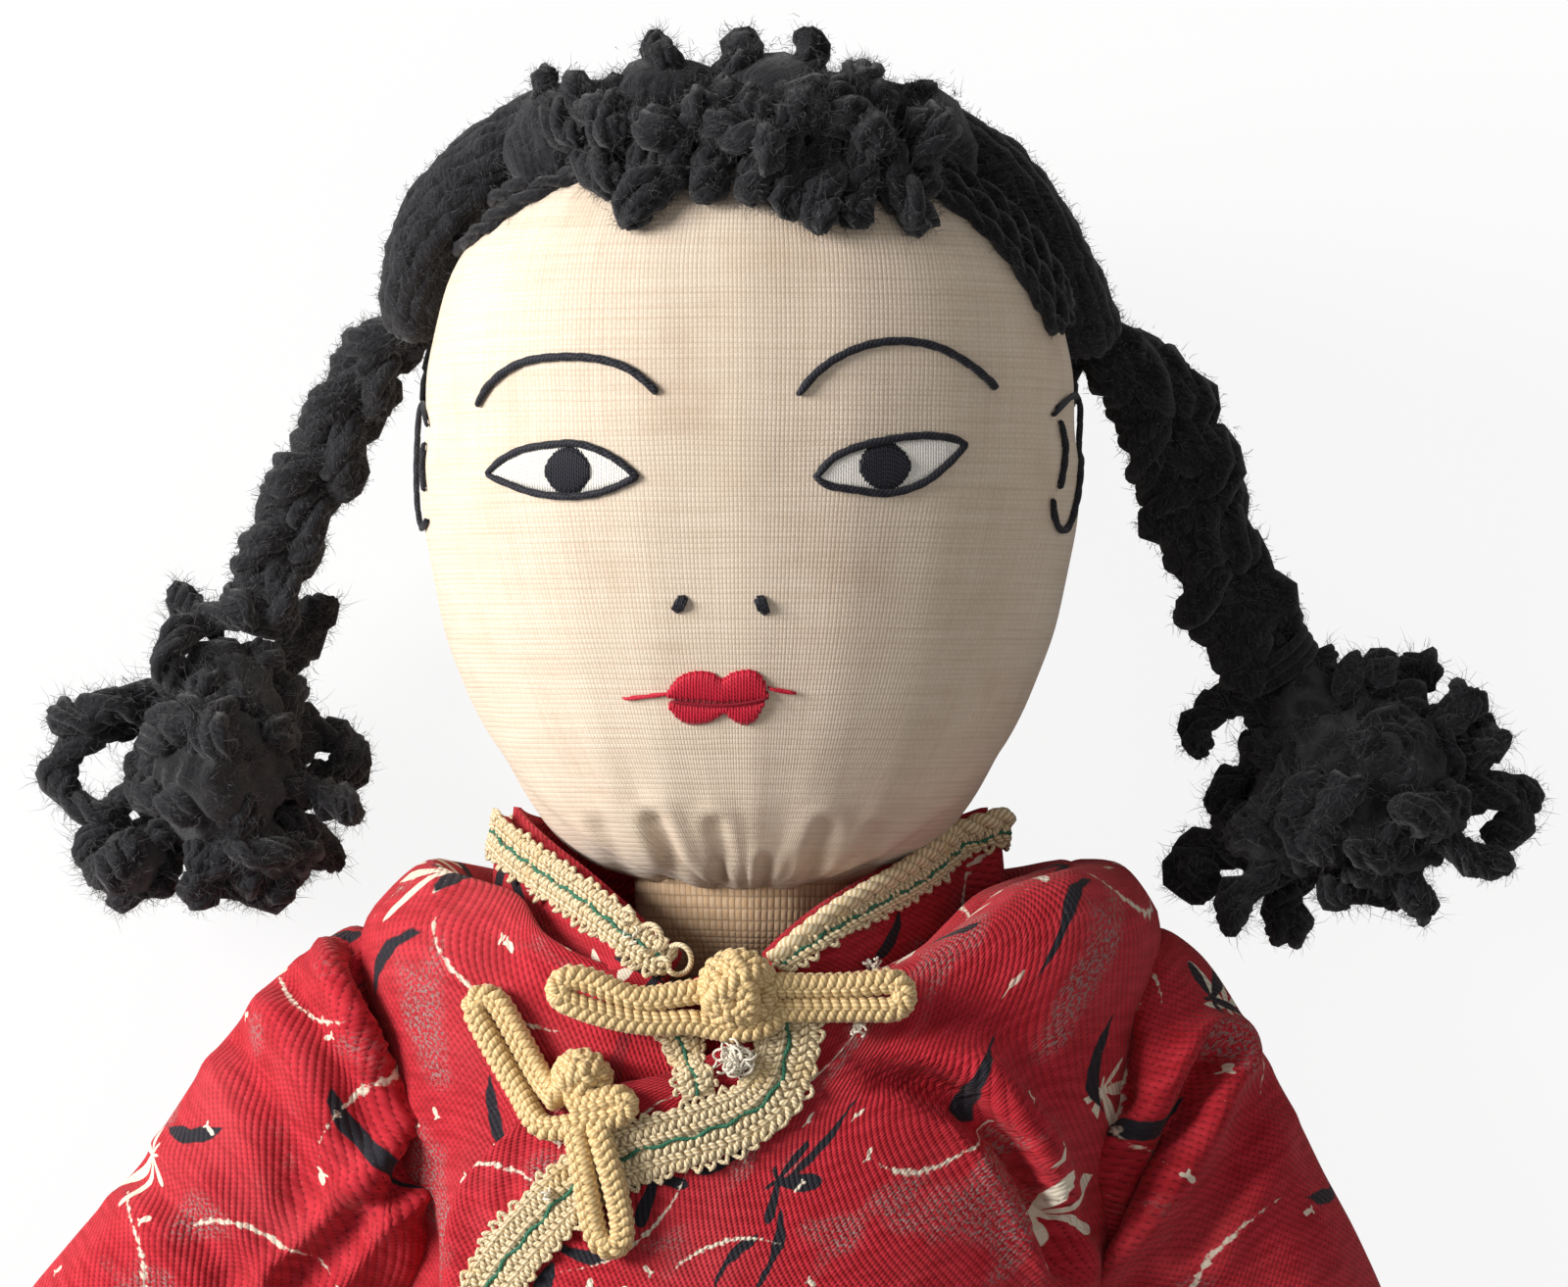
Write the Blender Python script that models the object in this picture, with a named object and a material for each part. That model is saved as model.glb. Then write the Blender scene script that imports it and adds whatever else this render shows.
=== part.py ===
"""A stuffed rag doll that lies on its back, as separate sewn, knotted and stuffed pieces.

+Z points up out of the face, +Y runs from the feet to the crown, and -X is the doll's right hand.
The origin is on the floor under the middle of the jacket's back. All sizes are in metres.
Angles round a stuffed form start at its front, +Z, and turn towards +X.
"""

import math

import bmesh
import bpy
import numpy as np
from mathutils import Matrix, Vector

# Clearances
GAP = 0.0003  # between pieces that touch
OVERRUN = 0.006  # how far a cutter runs past what it cuts
FLAT_CUT = 0.0005  # how deep a soft form is flattened where it rests

# Cloth and cord
CASING_WALL = 0.0006
CLOTH_WALL = 0.0008
TRIM_WALL = 0.0008
TRIM_WIDTH = 0.0052
FROG_CORD = 0.0020
STITCH_HEIGHT = 0.0004
STITCH_WIDTH = 0.0008

# Torso
TORSO_BOTTOM_Y = -0.050
TORSO_TOP_Y = 0.0465
TORSO_HALF_WIDTH = 0.0334
TORSO_HALF_DEPTH = 0.0188
TORSO_SQUARENESS = 2.3
JACKET_SAG_SHARE = 1.08  # how much deeper the jacket's back hangs, to lie flat where it rests

# Neck and collar
NECK_Z = 0.0200
NECK_HINGE_Y = 0.0445
NECK_RADIUS = 0.0112
NECK_SEAM_Y = 0.0455
NECK_SEAT_Y = 0.0370  # the torso's top inside the collar
COLLAR_HALF_WIDTH = 0.0220
COLLAR_HALF_DEPTH = 0.0180
COLLAR_FRONT_Y = 0.0368
COLLAR_SIDE_Y = 0.0522
COLLAR_BACK_Y = 0.0478
COLLAR_OPENING = math.radians(16)  # half the angle between the collar's front ends

# Head
HEAD_HEIGHT = 0.0715
HEAD_HALF_WIDTH = 0.0310
HEAD_HALF_DEPTH = 0.0245
HEAD_LIFT = 0.0068  # how far the face stands in front of the neck
HEAD_SQUARENESS = 2.15

# Hair
HAIR_THICKNESS = 0.0034
HAIR_ROLL_RADIUS = 0.0037
HAIR_ROLL_HALF_WIDTH = 0.0335
HAIR_ROLL_FOOT_Y = 0.0985
HAIR_ROLL_RISE = 0.0170
HAIR_ROLL_FOOT_Z = 0.0260
HAIR_ROLL_TOP_Z = 0.0465
NAPE_Y = 0.0640
BRAID_ROOT_X = 0.0345
BRAID_ROOT_Y = 0.0975
BRAID_ROOT_Z = 0.0240
RIGHT_BRAID_RADIUS = 0.0036
LEFT_BRAID_RADIUS = 0.0041
RIGHT_BRAID_LENGTH = 0.0436  # from the root to the middle of the pom-pom
LEFT_BRAID_LENGTH = 0.0492
RIGHT_BRAID_SLANT = math.radians(-23.5)
LEFT_BRAID_SLANT = math.radians(28)
BRAID_SWAY = 0.0010
BRAID_WAIST_SHARE = 0.80
BRAID_STRANDS = 8  # bulges along a braid
POMPOM_CORE = 0.0115
POMPOM_REACH = 0.0160
POMPOM_Z = 0.0120
POMPOM_TUFTS = 26
POMPOM_BUMP = math.radians(19)  # half the width of one bushy end, from the middle
BINDING_CORD = 0.0012
FRINGE_RADIUS = 0.0026
FRINGE_TUFTS = 6
FRINGE_RISE = 0.0070  # how far the tufts stand above the clump's middle
FRINGE_FALL = 0.0060
FRINGE_LEAN_SHARE = 0.30
FRINGE_SPREAD = math.radians(40)  # half the arc of the roll that the fringe covers

# Arms
SHOULDER_Y = 0.0290
SHOULDER_Z = 0.0180
RIGHT_ARM_SLANT = math.radians(-41)
LEFT_ARM_SLANT = math.radians(30)
SHOULDER_PLUG = 0.0075  # radius of the stuffed end that passes through the armhole
SLEEVE_HEAD = 0.0125
SLEEVE_LENGTH = 0.0800
SLEEVE_HALF_WIDTH = 0.0128
SLEEVE_HALF_DEPTH = 0.0128
CUFF_Z = 0.0098  # the middle of the cuff and the hand above the floor
ARM_HEAD = 0.0090
ARM_LENGTH = 0.0960
ARM_HALF_WIDTH = 0.0086
ARM_HALF_DEPTH = 0.0076
THUMB_RADIUS = 0.0024
THUMB_LENGTH = 0.0090
THUMB_SLANT = math.radians(53)
THUMB_PLACE_SHARE = 0.86
THUMB_SHARES = ((0.0, 1.0), (0.4, 1.0), (0.8, 0.9), (0.95, 0.6), (1.0, 0.25))
SLEEVE_SQUARENESS = 2.15

# Legs
HIP_X = 0.0150
HIP_Y = -0.0600
HIP_Z = 0.0160
LEG_SPLAY = 0.0080  # how much farther out the ankle is than the hip
TROUSER_HALF_WIDTH = 0.0142
TROUSER_RADIUS = 0.0140
TROUSER_LENGTH = 0.1000
TROUSER_HEM_Z = 0.0120
LEG_LENGTH = 0.1160
ANKLE_Z = 0.0098
HEM_Y = -0.0400  # the jacket's lower edge
WAIST_Y = -0.0200  # the trousers' upper edge, under the jacket
SHOE_HALF_WIDTH = 0.0096
SHOE_HALF_HEIGHT = 0.0088
SHOE_LENGTH = 0.0290
SHOE_SOLE = 0.0016
SHOE_FOOT = 0.0030  # from the end of the leg to the ground side of the sole

# Fastenings on the chest
COLLAR_KNOT_RADIUS = 0.0038
COLLAR_KNOT_X = -0.0012
COLLAR_KNOT_Y = 0.0357
CHEST_KNOT_RADIUS = 0.0028
CHEST_KNOT_X = -0.0163
CHEST_KNOT_Y = 0.0268

# Braid trims and knotted cords on the chest
FLAP_TRIM_FROM_Y = 0.0335
FLAP_TRIM_IN_SHARE = 0.35
INNER_TRIM_X = -0.0050
INNER_TRIM_WIDTH = 0.0030
INNER_TRIM_FROM_Y = 0.0335
INNER_TRIM_TO_Y = 0.0270
CORD_PITCH = FROG_CORD + GAP + GAP
COLLAR_LOOP_END = (-0.0187, 0.0366)
COLLAR_BAR_END = (0.0150, 0.0362)
CHEST_LOOP_END = (-0.0262, 0.0345)
CHEST_LOOP_CORNER = (-0.0215, 0.0262)
CHEST_BAR_END = (-0.0124, 0.0115)
KNOT_LOBES_SHARE = 0.06

# Counts of faces
TORSO_ROWS = (12, 20)
HEAD_ROWS = (12, 22)
LIMB_ROWS = (9, 12)
ARM_ROWS = (12, 12)
BRAID_ROWS = (17, 8)
CLOTH_ROWS = (10, 14)
POMPOM_ROWS = (13, 20)
KNOT_ROWS = (9, 16)
FRINGE_ROWS = (33, 8)

PANEL_COLUMNS = (16, 16, 15)  # the jacket's back, right front and left front

# Jacket
PANEL_MARGIN_SHARE = 0.02  # no row of a panel is closer to its hem
SEAM_TURN = math.radians(0.6)  # half the gap between two panels at the side seams
FLAP_TUCK = 0.0050  # how far the under front runs beneath the outer flap
NECKLINE_FROM_Y = 0.0250
COLLAR_TRIM_WIDTH = 0.0030

# Layers outside the torso casing, as heights above it
UNDER_LIFT = GAP
UNDER_TOP = UNDER_LIFT + CLOTH_WALL
OVER_LIFT = UNDER_TOP + 2 * GAP
OVER_TOP = OVER_LIFT + CLOTH_WALL
TRIM_LIFT = OVER_TOP + GAP
TRIM_TOP = TRIM_LIFT + TRIM_WALL
FROG_LIFT = TRIM_TOP + 2 * GAP + FROG_CORD / 2
TORSO_REST = 2 * (CLOTH_WALL + GAP)  # trousers and jacket lie under the torso
TORSO_Z = TORSO_HALF_DEPTH + TORSO_REST - FLAT_CUT

# Profiles: place along the form, half-width and half-depth, as shares of its sizes
TORSO_SHARES = (
    (0.00, 0.60, 0.42),
    (0.03, 0.76, 0.74),
    (0.12, 0.84, 0.90),
    (0.33, 0.86, 0.96),
    (0.55, 0.90, 1.00),
    (0.75, 0.985, 1.00),
    (0.87, 1.00, 0.96),
    (0.935, 0.97, 0.86),
    (0.975, 0.86, 0.66),
    (1.00, 0.66, 0.38),
)
# How much wider the jacket is than the torso at each row above, as a share of the torso
FLARE_SHARES = (0.15, 0.14, 0.12, 0.09, 0.03, 0.0, 0.0, 0.0, 0.0, 0.0)
HEAD_SHARES = (
    (0.00, 0.340, 0.42),
    (0.022, 0.500, 0.56),
    (0.065, 0.630, 0.70),
    (0.130, 0.725, 0.82),
    (0.250, 0.855, 0.92),
    (0.400, 0.965, 0.98),
    (0.600, 1.000, 1.00),
    (0.770, 0.950, 0.94),
    (0.885, 0.790, 0.76),
    (0.960, 0.520, 0.50),
    (1.000, 0.200, 0.20),
)
SLEEVE_SHARES = (
    (0.00, 0.34, 0.40),
    (0.03, 0.72, 0.74),
    (0.08, 0.91, 0.92),
    (0.16, 0.99, 1.00),
    (0.30, 1.03, 0.97),
    (0.58, 0.93, 0.86),
    (0.84, 0.86, 0.80),
    (1.00, 0.93, 0.82),
)
ARM_SHARES = (
    (0.00, 0.80, 0.86),
    (0.12, 1.00, 1.00),
    (0.50, 0.92, 0.96),
    (0.80, 0.76, 0.78),
    (0.84, 0.86, 0.74),
    (0.92, 0.92, 0.68),
    (0.98, 0.60, 0.46),
    (1.00, 0.26, 0.20),
)
# Below the hip: place along the leg, half-width and half-depth as shares of those at the hip
TROUSER_SHARES = ((0.0, 1.0, 1.0), (0.25, 1.0, 0.98), (0.60, 0.87, 0.88), (1.0, 0.97, 0.88))
LEG_SHARES = (
    (0.0, 1.0, 1.0),
    (0.25, 0.88, 0.86),
    (0.60, 0.74, 0.74),
    (0.88, 0.60, 0.62),
    (0.97, 0.56, 0.58),
    (1.0, 0.34, 0.36),
)
SHOE_SHARES = (
    (0.00, 0.45, 0.50),
    (0.06, 0.80, 0.90),
    (0.25, 0.92, 1.00),
    (0.60, 1.00, 0.84),
    (0.88, 0.80, 0.56),
    (1.00, 0.40, 0.30),
)
# The outer flap's edge: height from the hem to the collar, and place across the chest
FLAP_SHARES = (
    (0.00, -0.80),
    (0.40, -0.86),
    (0.52, -0.84),
    (0.62, -0.74),
    (0.68, -0.63),
    (0.73, -0.52),
    (0.78, -0.33),
    (0.82, -0.12),
    (0.86, 0.08),
    (0.90, 0.15),
    (0.95, 0.15),
    (1.00, 0.04),
)

# Face: places and sizes as shares of the head's half-width, across, and of its height, up
BROW_SHARES = {"right": (-0.548, 0.265, 0.636, 0.060, 0.010), "left": (0.440, 0.295, 0.648, 0.066, 0.005)}
EYE_SHARES = {"right": (-0.566, 0.224, 0.537, 0.000), "left": (0.420, 0.225, 0.553, 0.020)}
EYE_RISE_SHARE = 0.041
EYE_DROP_SHARE = -0.029
PUPIL_SHARES = {"right": (-0.546, 0.542), "left": (0.401, 0.550)}
PUPIL_HALF_SHARES = (0.064, 0.030)
NOSTRIL_SHARES = {"right": (-0.212, 0.368), "left": (0.035, 0.367)}
NOSTRIL_HALF_SHARES = (0.020, 0.013)
MOUTH_X_SHARE = -0.088
MOUTH_Y_SHARE = 0.246
LIP_HALF_SHARE = 0.148
LIP_RISE_SHARE = 0.040
LIP_NOTCH_SHARE = 0.22
MOUTH_LINE_HALF_SHARE = 0.265
EAR_HALF_SHARE = 0.088
EAR_Y_SHARE = 0.552
EAR_TURN = math.radians(88)
EAR_HALF_TURN = math.radians(13)


def clear_scene():
    for item in list(bpy.data.objects):
        bpy.data.objects.remove(item, do_unlink=True)


def material(name, colour, roughness, metallic=0.0):
    made = bpy.data.materials.new(name)
    made.use_nodes = True
    shader = made.node_tree.nodes["Principled BSDF"]
    shader.inputs["Base Color"].default_value = (*colour, 1.0)
    shader.inputs["Roughness"].default_value = roughness
    shader.inputs["Metallic"].default_value = metallic
    return made


def link(item, surface=None, parent=None):
    bpy.context.collection.objects.link(item)
    if surface:
        item.data.materials.append(surface)
    if parent:
        item.parent = parent
    return item


def smooth(mesh, angle=math.radians(50)):
    mesh.shade_smooth()
    mesh.set_sharp_from_angle(angle=angle)


def finish_mesh(name, bm, surface, parent=None, place=None):
    """One object from a bmesh, with its faces pointing out."""
    bmesh.ops.recalc_face_normals(bm, faces=bm.faces)
    mesh = bpy.data.meshes.new(name)
    bm.to_mesh(mesh)
    bm.free()
    smooth(mesh)
    item = link(bpy.data.objects.new(name, mesh), surface, parent)
    if place is not None:
        item.matrix_basis = place
    return item


def empty(name, place, turn=0.0, parent=None):
    """A joint's empty, which carries the pieces that move with it."""
    item = bpy.data.objects.new(name, None)
    link(item, parent=parent)
    item.matrix_basis = Matrix.Translation(place) @ Matrix.Rotation(turn, 4, "Z")
    return item


def hide(item):
    """Marks a cutter, which the model leaves out."""
    item.hide_render = True
    item.display_type = "WIRE"
    return item


def boolean(target, tool, operation="DIFFERENCE"):
    change = target.modifiers.new(operation.lower(), "BOOLEAN")
    change.operation = operation
    change.solver = "EXACT"
    change.object = tool
    return target


def rounded_ring(half_width, half_depth, squareness, count):
    """Points of a rounded outline in the XZ plane, from the front towards +X."""
    points = []
    for step in range(count):
        angle = 2 * math.pi * step / count
        side, front = math.sin(angle), math.cos(angle)
        x = half_width * math.copysign(abs(side) ** (2 / squareness), side)
        z = half_depth * math.copysign(abs(front) ** (2 / squareness), front)
        points.append((x, z))
    return points


def smooth_table(shares, count):
    """A table of shares as count rows on a smooth curve through its own rows."""
    rows = np.array(shares, float)
    slopes = np.gradient(rows, axis=0)
    result = []
    for place in np.linspace(0, len(rows) - 1, count):
        row = min(int(place), len(rows) - 2)
        t = place - row
        blend = (2 * t**3 - 3 * t**2 + 1, t**3 - 2 * t**2 + t, 3 * t**2 - 2 * t**3, t**3 - t**2)
        corners = (rows[row], slopes[row], rows[row + 1], slopes[row + 1])
        result.append(sum(share * corner for share, corner in zip(blend, corners)))
    return np.array(result)


class Form:
    """A stuffed shape that swells and tapers along a straight line, with rings across Y.

    A lift grows it evenly, or shrinks it where the lift is negative.
    floor is the lowest z of the unlifted form.
    """

    def __init__(self, shares, start, end, sizes, squareness=2.0, floor=None, bow=0.0, sag=1.0):
        self.table = smooth_table(shares, 61)
        self.shares = shares
        self.start, self.end = Vector(start), Vector(end)
        self.half_width, self.half_depth = sizes
        self.squareness = squareness
        self.floor, self.bow, self.sag = floor, bow, sag

    def row(self, share):
        """Half-width and half-depth at a place along the form."""
        places = self.table[:, 0]
        wide = np.interp(share, places, self.table[:, 1]) * self.half_width
        deep = np.interp(share, places, self.table[:, 2]) * self.half_depth
        return wide, deep

    def centre(self, share, lift=0.0):
        x, y, z = self.start.lerp(self.end, share)
        x += self.bow * math.sin(2 * math.pi * share)
        length = abs(self.end.y - self.start.y)
        middle = (self.start.y + self.end.y) / 2
        return x, middle + (y - middle) * (1 + 2 * lift / length), z

    def rest(self, z0, z, lift):
        """A height, sagged behind the middle, that isn't lower than where the form rests."""
        height = z0 + z * (self.sag if z < 0 else 1)
        return height if self.floor is None else max(height, self.floor - lift)

    def ring(self, share, lift, count):
        wide, deep = self.row(share)
        x0, y, z0 = self.centre(share, lift)
        points = []
        for x, z in rounded_ring(wide + lift, deep + lift, self.squareness, count):
            points.append(Vector((x0 + x, y, self.rest(z0, z, lift))))
        return points

    def share_at(self, y):
        return (y - self.start.y) / (self.end.y - self.start.y)

    def surface(self, angle, share, lift):
        """The point of the surface at an angle from the front, at a place along the form."""
        wide, deep = self.row(share)
        x0, y, z0 = self.centre(share, lift)
        side, front = math.sin(angle), math.cos(angle)
        x = (wide + lift) * math.copysign(abs(side) ** (2 / self.squareness), side)
        z = (deep + lift) * math.copysign(abs(front) ** (2 / self.squareness), front)
        return Vector((x0 + x, y, self.rest(z0, z, lift)))

    def angle_at(self, x, y, lift=0.0):
        """The angle of the point of the front that has this x."""
        wide, _ = self.row(self.share_at(y))
        share = min(abs(x) / (wide + lift), 1.0)
        return math.copysign(math.asin(share ** (self.squareness / 2)), x)

    def front_z(self, x, y, lift):
        return self.surface(self.angle_at(x, y, lift), self.share_at(y), lift).z

    def solid(
        self, name, surface, lift=0.0, rings=14, count=20, past=(0, 0), parent=None, place=None, first=0.0
    ):
        """The closed body from its first share on, with straight ends as far past as asked."""
        shares = [first + (1 - first) * share for share in smooth_table(self.shares, rings)[:, 0]]
        loops = [self.ring(share, lift, count) for share in shares]
        forward = Vector((0, math.copysign(1.0, self.end.y - self.start.y), 0))
        if past[0]:
            loops.insert(0, [point - forward * past[0] for point in loops[0]])
        if past[1]:
            loops.append([point + forward * past[1] for point in loops[-1]])
        return loft(name, loops, surface, parent, place)


def loft(name, loops, surface, parent=None, place=None):
    """A closed body through rings of points, with flat ends."""
    bm = bmesh.new()
    rows = [[bm.verts.new(point) for point in loop] for loop in loops]
    for row in (rows[0], rows[-1]):
        bm.faces.new(row)
    for below, above in zip(rows, rows[1:]):
        for i in range(len(below)):
            j = (i + 1) % len(below)
            bm.faces.new((below[i], below[j], above[j], above[i]))
    return finish_mesh(name, bm, surface, parent, place)


def slab(name, inner, outer, surface, closed=False, parent=None, place=None):
    """A sheet of cloth from two grids of points, joined round their edges."""
    bm = bmesh.new()
    low = [[bm.verts.new(point) for point in row] for row in inner]
    high = [[bm.verts.new(point) for point in row] for row in outer]
    rows, columns = len(low), len(low[0])
    for i in range(rows if closed else rows - 1):
        k = (i + 1) % rows
        for j in range(columns - 1):
            bm.faces.new((low[i][j], low[i][j + 1], low[k][j + 1], low[k][j]))
            bm.faces.new((high[i][j], high[k][j], high[k][j + 1], high[i][j + 1]))
        for j in (0, columns - 1):
            bm.faces.new((low[i][j], low[k][j], high[k][j], high[i][j]))
    if not closed:
        for i in (0, rows - 1):
            for j in range(columns - 1):
                bm.faces.new((low[i][j], low[i][j + 1], high[i][j + 1], high[i][j]))
    return finish_mesh(name, bm, surface, parent, place)


def cord(name, points, diameter, surface, closed=False, parent=None, sides=1):
    """A round cord through points, with filled ends."""
    curve = bpy.data.curves.new(name, "CURVE")
    curve.dimensions = "3D"
    curve.bevel_depth = diameter / 2
    curve.bevel_resolution = sides
    curve.use_fill_caps = True
    spline = curve.splines.new("POLY")
    spline.points.add(len(points) - 1)
    for slot, point in zip(spline.points, points):
        slot.co = (*point, 1.0)
    spline.use_cyclic_u = closed
    return link(bpy.data.objects.new(name, curve), surface, parent)


def ball(name, radius, place, surface=None, parent=None, rings=10, count=16, lobes=0.0):
    """A round body. lobes raises slanting ridges like a knot's strands."""
    bm = bmesh.new()
    bmesh.ops.create_uvsphere(bm, u_segments=count, v_segments=rings, radius=radius)
    for vert in bm.verts:
        turn = math.atan2(vert.co.y, vert.co.x)
        rise = vert.co.z / radius
        ridge = math.cos(4 * turn + 3 * rise) * math.sqrt(max(0.0, 1 - rise * rise))
        vert.co *= 1 + lobes * ridge
    return finish_mesh(name, bm, surface, parent, Matrix.Translation(place))


def box_cutter(name, low, high):
    bm = bmesh.new()
    bmesh.ops.create_cube(bm, size=1.0)
    size = Vector(high) - Vector(low)
    middle = (Vector(high) + Vector(low)) / 2
    bmesh.ops.scale(bm, vec=size, verts=bm.verts)
    bmesh.ops.translate(bm, vec=middle, verts=bm.verts)
    return hide(finish_mesh(name, bm, None))


def tube_cutter(name, half_width, half_depth, y_from, y_to, z, count=28):
    """An upright cutter of rounded outline along Y."""
    outline = rounded_ring(half_width, half_depth, 2.0, count)
    loops = [[Vector((x, y, z + up)) for x, up in outline] for y in (y_from, y_to)]
    return hide(loft(name, loops, None))


def cross_cutter(name, radius, x_from, x_to, y, z, count=20):
    """A round cutter along X."""
    outline = rounded_ring(radius, radius, 2.0, count)
    loops = [[Vector((x, y + across, z + up)) for across, up in outline] for x in (x_from, x_to)]
    return hide(loft(name, loops, None))


COTTON = material("cream_cotton", (0.80, 0.69, 0.55), 0.85)
CANVAS = material("tan_canvas", (0.58, 0.43, 0.27), 0.9)
STUFFING = material("white_stuffing", (0.85, 0.83, 0.78), 1.0)
TWILL = material("red_twill", (0.52, 0.02, 0.03), 0.8)
LINING = material("red_lining", (0.42, 0.02, 0.03), 0.85)
BRAID_TRIM = material("cream_braid", (0.78, 0.66, 0.46), 0.75)
GOLD_CORD = material("gold_cord", (0.70, 0.52, 0.27), 0.6)
WOOL = material("black_wool", (0.02, 0.02, 0.024), 0.95)
BLACK_THREAD = material("black_thread", (0.015, 0.015, 0.02), 0.7)
RED_THREAD = material("red_thread", (0.55, 0.01, 0.03), 0.6)
WHITE_THREAD = material("white_thread", (0.86, 0.80, 0.70), 0.8)
DARK_COTTON = material("dark_cotton", (0.03, 0.035, 0.05), 0.9)
SHOE_CLOTH = material("black_shoe_cloth", (0.02, 0.02, 0.02), 0.8)


def torso_form(flare=0.0):
    """The stuffed torso. flare widens its lower half, as the jacket is cut."""
    rows = [
        (place, wide + flare * more, deep + flare * more)
        for (place, wide, deep), more in zip(TORSO_SHARES, FLARE_SHARES)
    ]
    return Form(
        rows,
        (0, TORSO_BOTTOM_Y, TORSO_Z),
        (0, TORSO_TOP_Y, TORSO_Z),
        (TORSO_HALF_WIDTH, TORSO_HALF_DEPTH),
        TORSO_SQUARENESS,
        floor=UNDER_TOP if flare else TORSO_REST,
        sag=JACKET_SAG_SHARE if flare else 1.0,
    )


def head_form():
    """The head, which leans forward from the neck seam to the middle of the face."""
    return Form(
        HEAD_SHARES,
        (0, NECK_SEAM_Y + GAP, NECK_Z),
        (0, NECK_SEAM_Y + GAP + HEAD_HEIGHT, NECK_Z + 2 * HEAD_LIFT),
        (HEAD_HALF_WIDTH, HEAD_HALF_DEPTH),
        HEAD_SQUARENESS,
        floor=HAIR_THICKNESS + GAP,
    )


def hip_cutter(lift):
    """What the legs sweep through: a round below the hip axis, and all in front of it."""
    radius = TROUSER_RADIUS + lift
    reach = 2 * HIP_X + OVERRUN
    turns = [math.pi * step / 16 for step in range(17)]
    outline = [(radius * math.cos(turn), -radius * math.sin(turn)) for turn in turns]
    outline += [(-radius, 2 * TORSO_HALF_DEPTH), (radius, 2 * TORSO_HALF_DEPTH)]
    loops = [[Vector((x, HIP_Y + y, HIP_Z + z)) for y, z in outline] for x in (-reach, reach)]
    return hide(loft("hip_cutter", loops, None))


def neck_ball_cutter(lift):
    radius = NECK_RADIUS + lift
    return hide(ball("neck_ball_cutter", radius, (0, NECK_HINGE_Y, NECK_Z), count=20, rings=12))


def neck_seat_cutter(lift):
    """Clears the inside of the collar down to the torso's seat for the neck."""
    wide, deep = COLLAR_HALF_WIDTH - GAP + lift, COLLAR_HALF_DEPTH - GAP + lift
    top = TORSO_TOP_Y + OVERRUN
    return tube_cutter("neck_seat_cutter", wide, deep, NECK_SEAT_Y - lift, top, NECK_Z)


def cut_torso(piece, inset):
    """Seats the neck and the legs in a torso piece that lies this far inside the casing."""
    boolean(piece, neck_seat_cutter(inset))
    return boolean(piece, hip_cutter(2 * GAP + inset))


def build_torso():
    form = torso_form()
    hollow = form.solid("torso_hollow_cutter", None, -CASING_WALL, *TORSO_ROWS)
    hide(cut_torso(hollow, CASING_WALL))
    casing = cut_torso(form.solid("torso_casing", CANVAS, 0, *TORSO_ROWS), 0)
    boolean(casing, hollow)
    boolean(casing, neck_ball_cutter(GAP))
    inset = CASING_WALL + 3 * GAP
    stuffing = form.solid("torso_stuffing", STUFFING, -inset, *LIMB_ROWS)
    boolean(cut_torso(stuffing, inset), neck_ball_cutter(GAP))


def build_trouser_seat():
    """The top of the trousers, closed round the torso's lower end."""
    form = torso_form()
    seat = form.solid("trouser_seat", DARK_COTTON, UNDER_TOP, *TORSO_ROWS)
    hollow = form.solid("seat_hollow_cutter", None, UNDER_LIFT, *TORSO_ROWS, (0, OVERRUN))
    boolean(seat, hide(hollow))
    reach = TORSO_HALF_WIDTH + OVERRUN
    high = (reach, TORSO_TOP_Y + OVERRUN, TORSO_Z + reach)
    boolean(seat, box_cutter("waist_cutter", (-reach, WAIST_Y, -OVERRUN), high))
    boolean(seat, hip_cutter(2 * GAP))


def flap_edge(y):
    """How far across the chest the outer flap reaches, at a height y."""
    places = [share * (NECK_SEAT_Y - HEM_Y) + HEM_Y for share, _ in FLAP_SHARES]
    values = [share * TORSO_HALF_WIDTH for _, share in FLAP_SHARES]
    return float(np.interp(y, places, values))


def jacket_panel(name, lift, first_turn, last_turn, columns, cutters):
    """One cloth panel round the torso, between two turns that are each given at a height."""
    form = torso_form(1.0)
    hem = form.share_at(HEM_Y)
    places = smooth_table(form.shares, 2 * TORSO_ROWS[0] - 1)[:, 0]
    shares = [hem, *(place for place in places if place > hem + PANEL_MARGIN_SHARE)]
    grids = []
    for height in (lift, lift + CLOTH_WALL):
        grid = []
        for share in shares:
            y = form.centre(share)[1]
            turns = np.linspace(first_turn(form, y), last_turn(form, y), columns)
            grid.append([form.surface(turn, share, height) for turn in turns])
        grids.append(grid)
    piece = slab(name, *grids, TWILL)
    for cutter in cutters:
        boolean(piece, cutter)
    return piece


def build_jacket():
    """A back and two overlapping fronts, each one panel of cloth that is cut for neck and arms."""
    side = math.pi / 2 - SEAM_TURN
    wide, tall = COLLAR_HALF_WIDTH - GAP, COLLAR_HALF_DEPTH - GAP
    high = TORSO_TOP_Y + OVERRUN
    neck = tube_cutter("neckline_cutter", wide, tall, NECKLINE_FROM_Y, high, NECK_Z)
    arms = [armhole_cutter("right", -1), armhole_cutter("left", 1)]

    def right(form, y):
        return -side

    def left(form, y):
        return side

    def under(form, y):
        return min(form.angle_at(flap_edge(y) + FLAP_TUCK, y), side)

    def over(form, y):
        return form.angle_at(flap_edge(y), y)

    def round_the_back(form, y):
        return 3 * math.pi / 2 - SEAM_TURN

    def back_seam(form, y):
        return math.pi / 2 + SEAM_TURN

    columns = PANEL_COLUMNS
    jacket_panel("jacket_back", UNDER_LIFT, back_seam, round_the_back, columns[0], (*arms, neck))
    jacket_panel("jacket_right_front", UNDER_LIFT, right, under, columns[1], (arms[0], neck))
    jacket_panel("jacket_left_front", OVER_LIFT, over, left, columns[2], (arms[1], neck))


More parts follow.
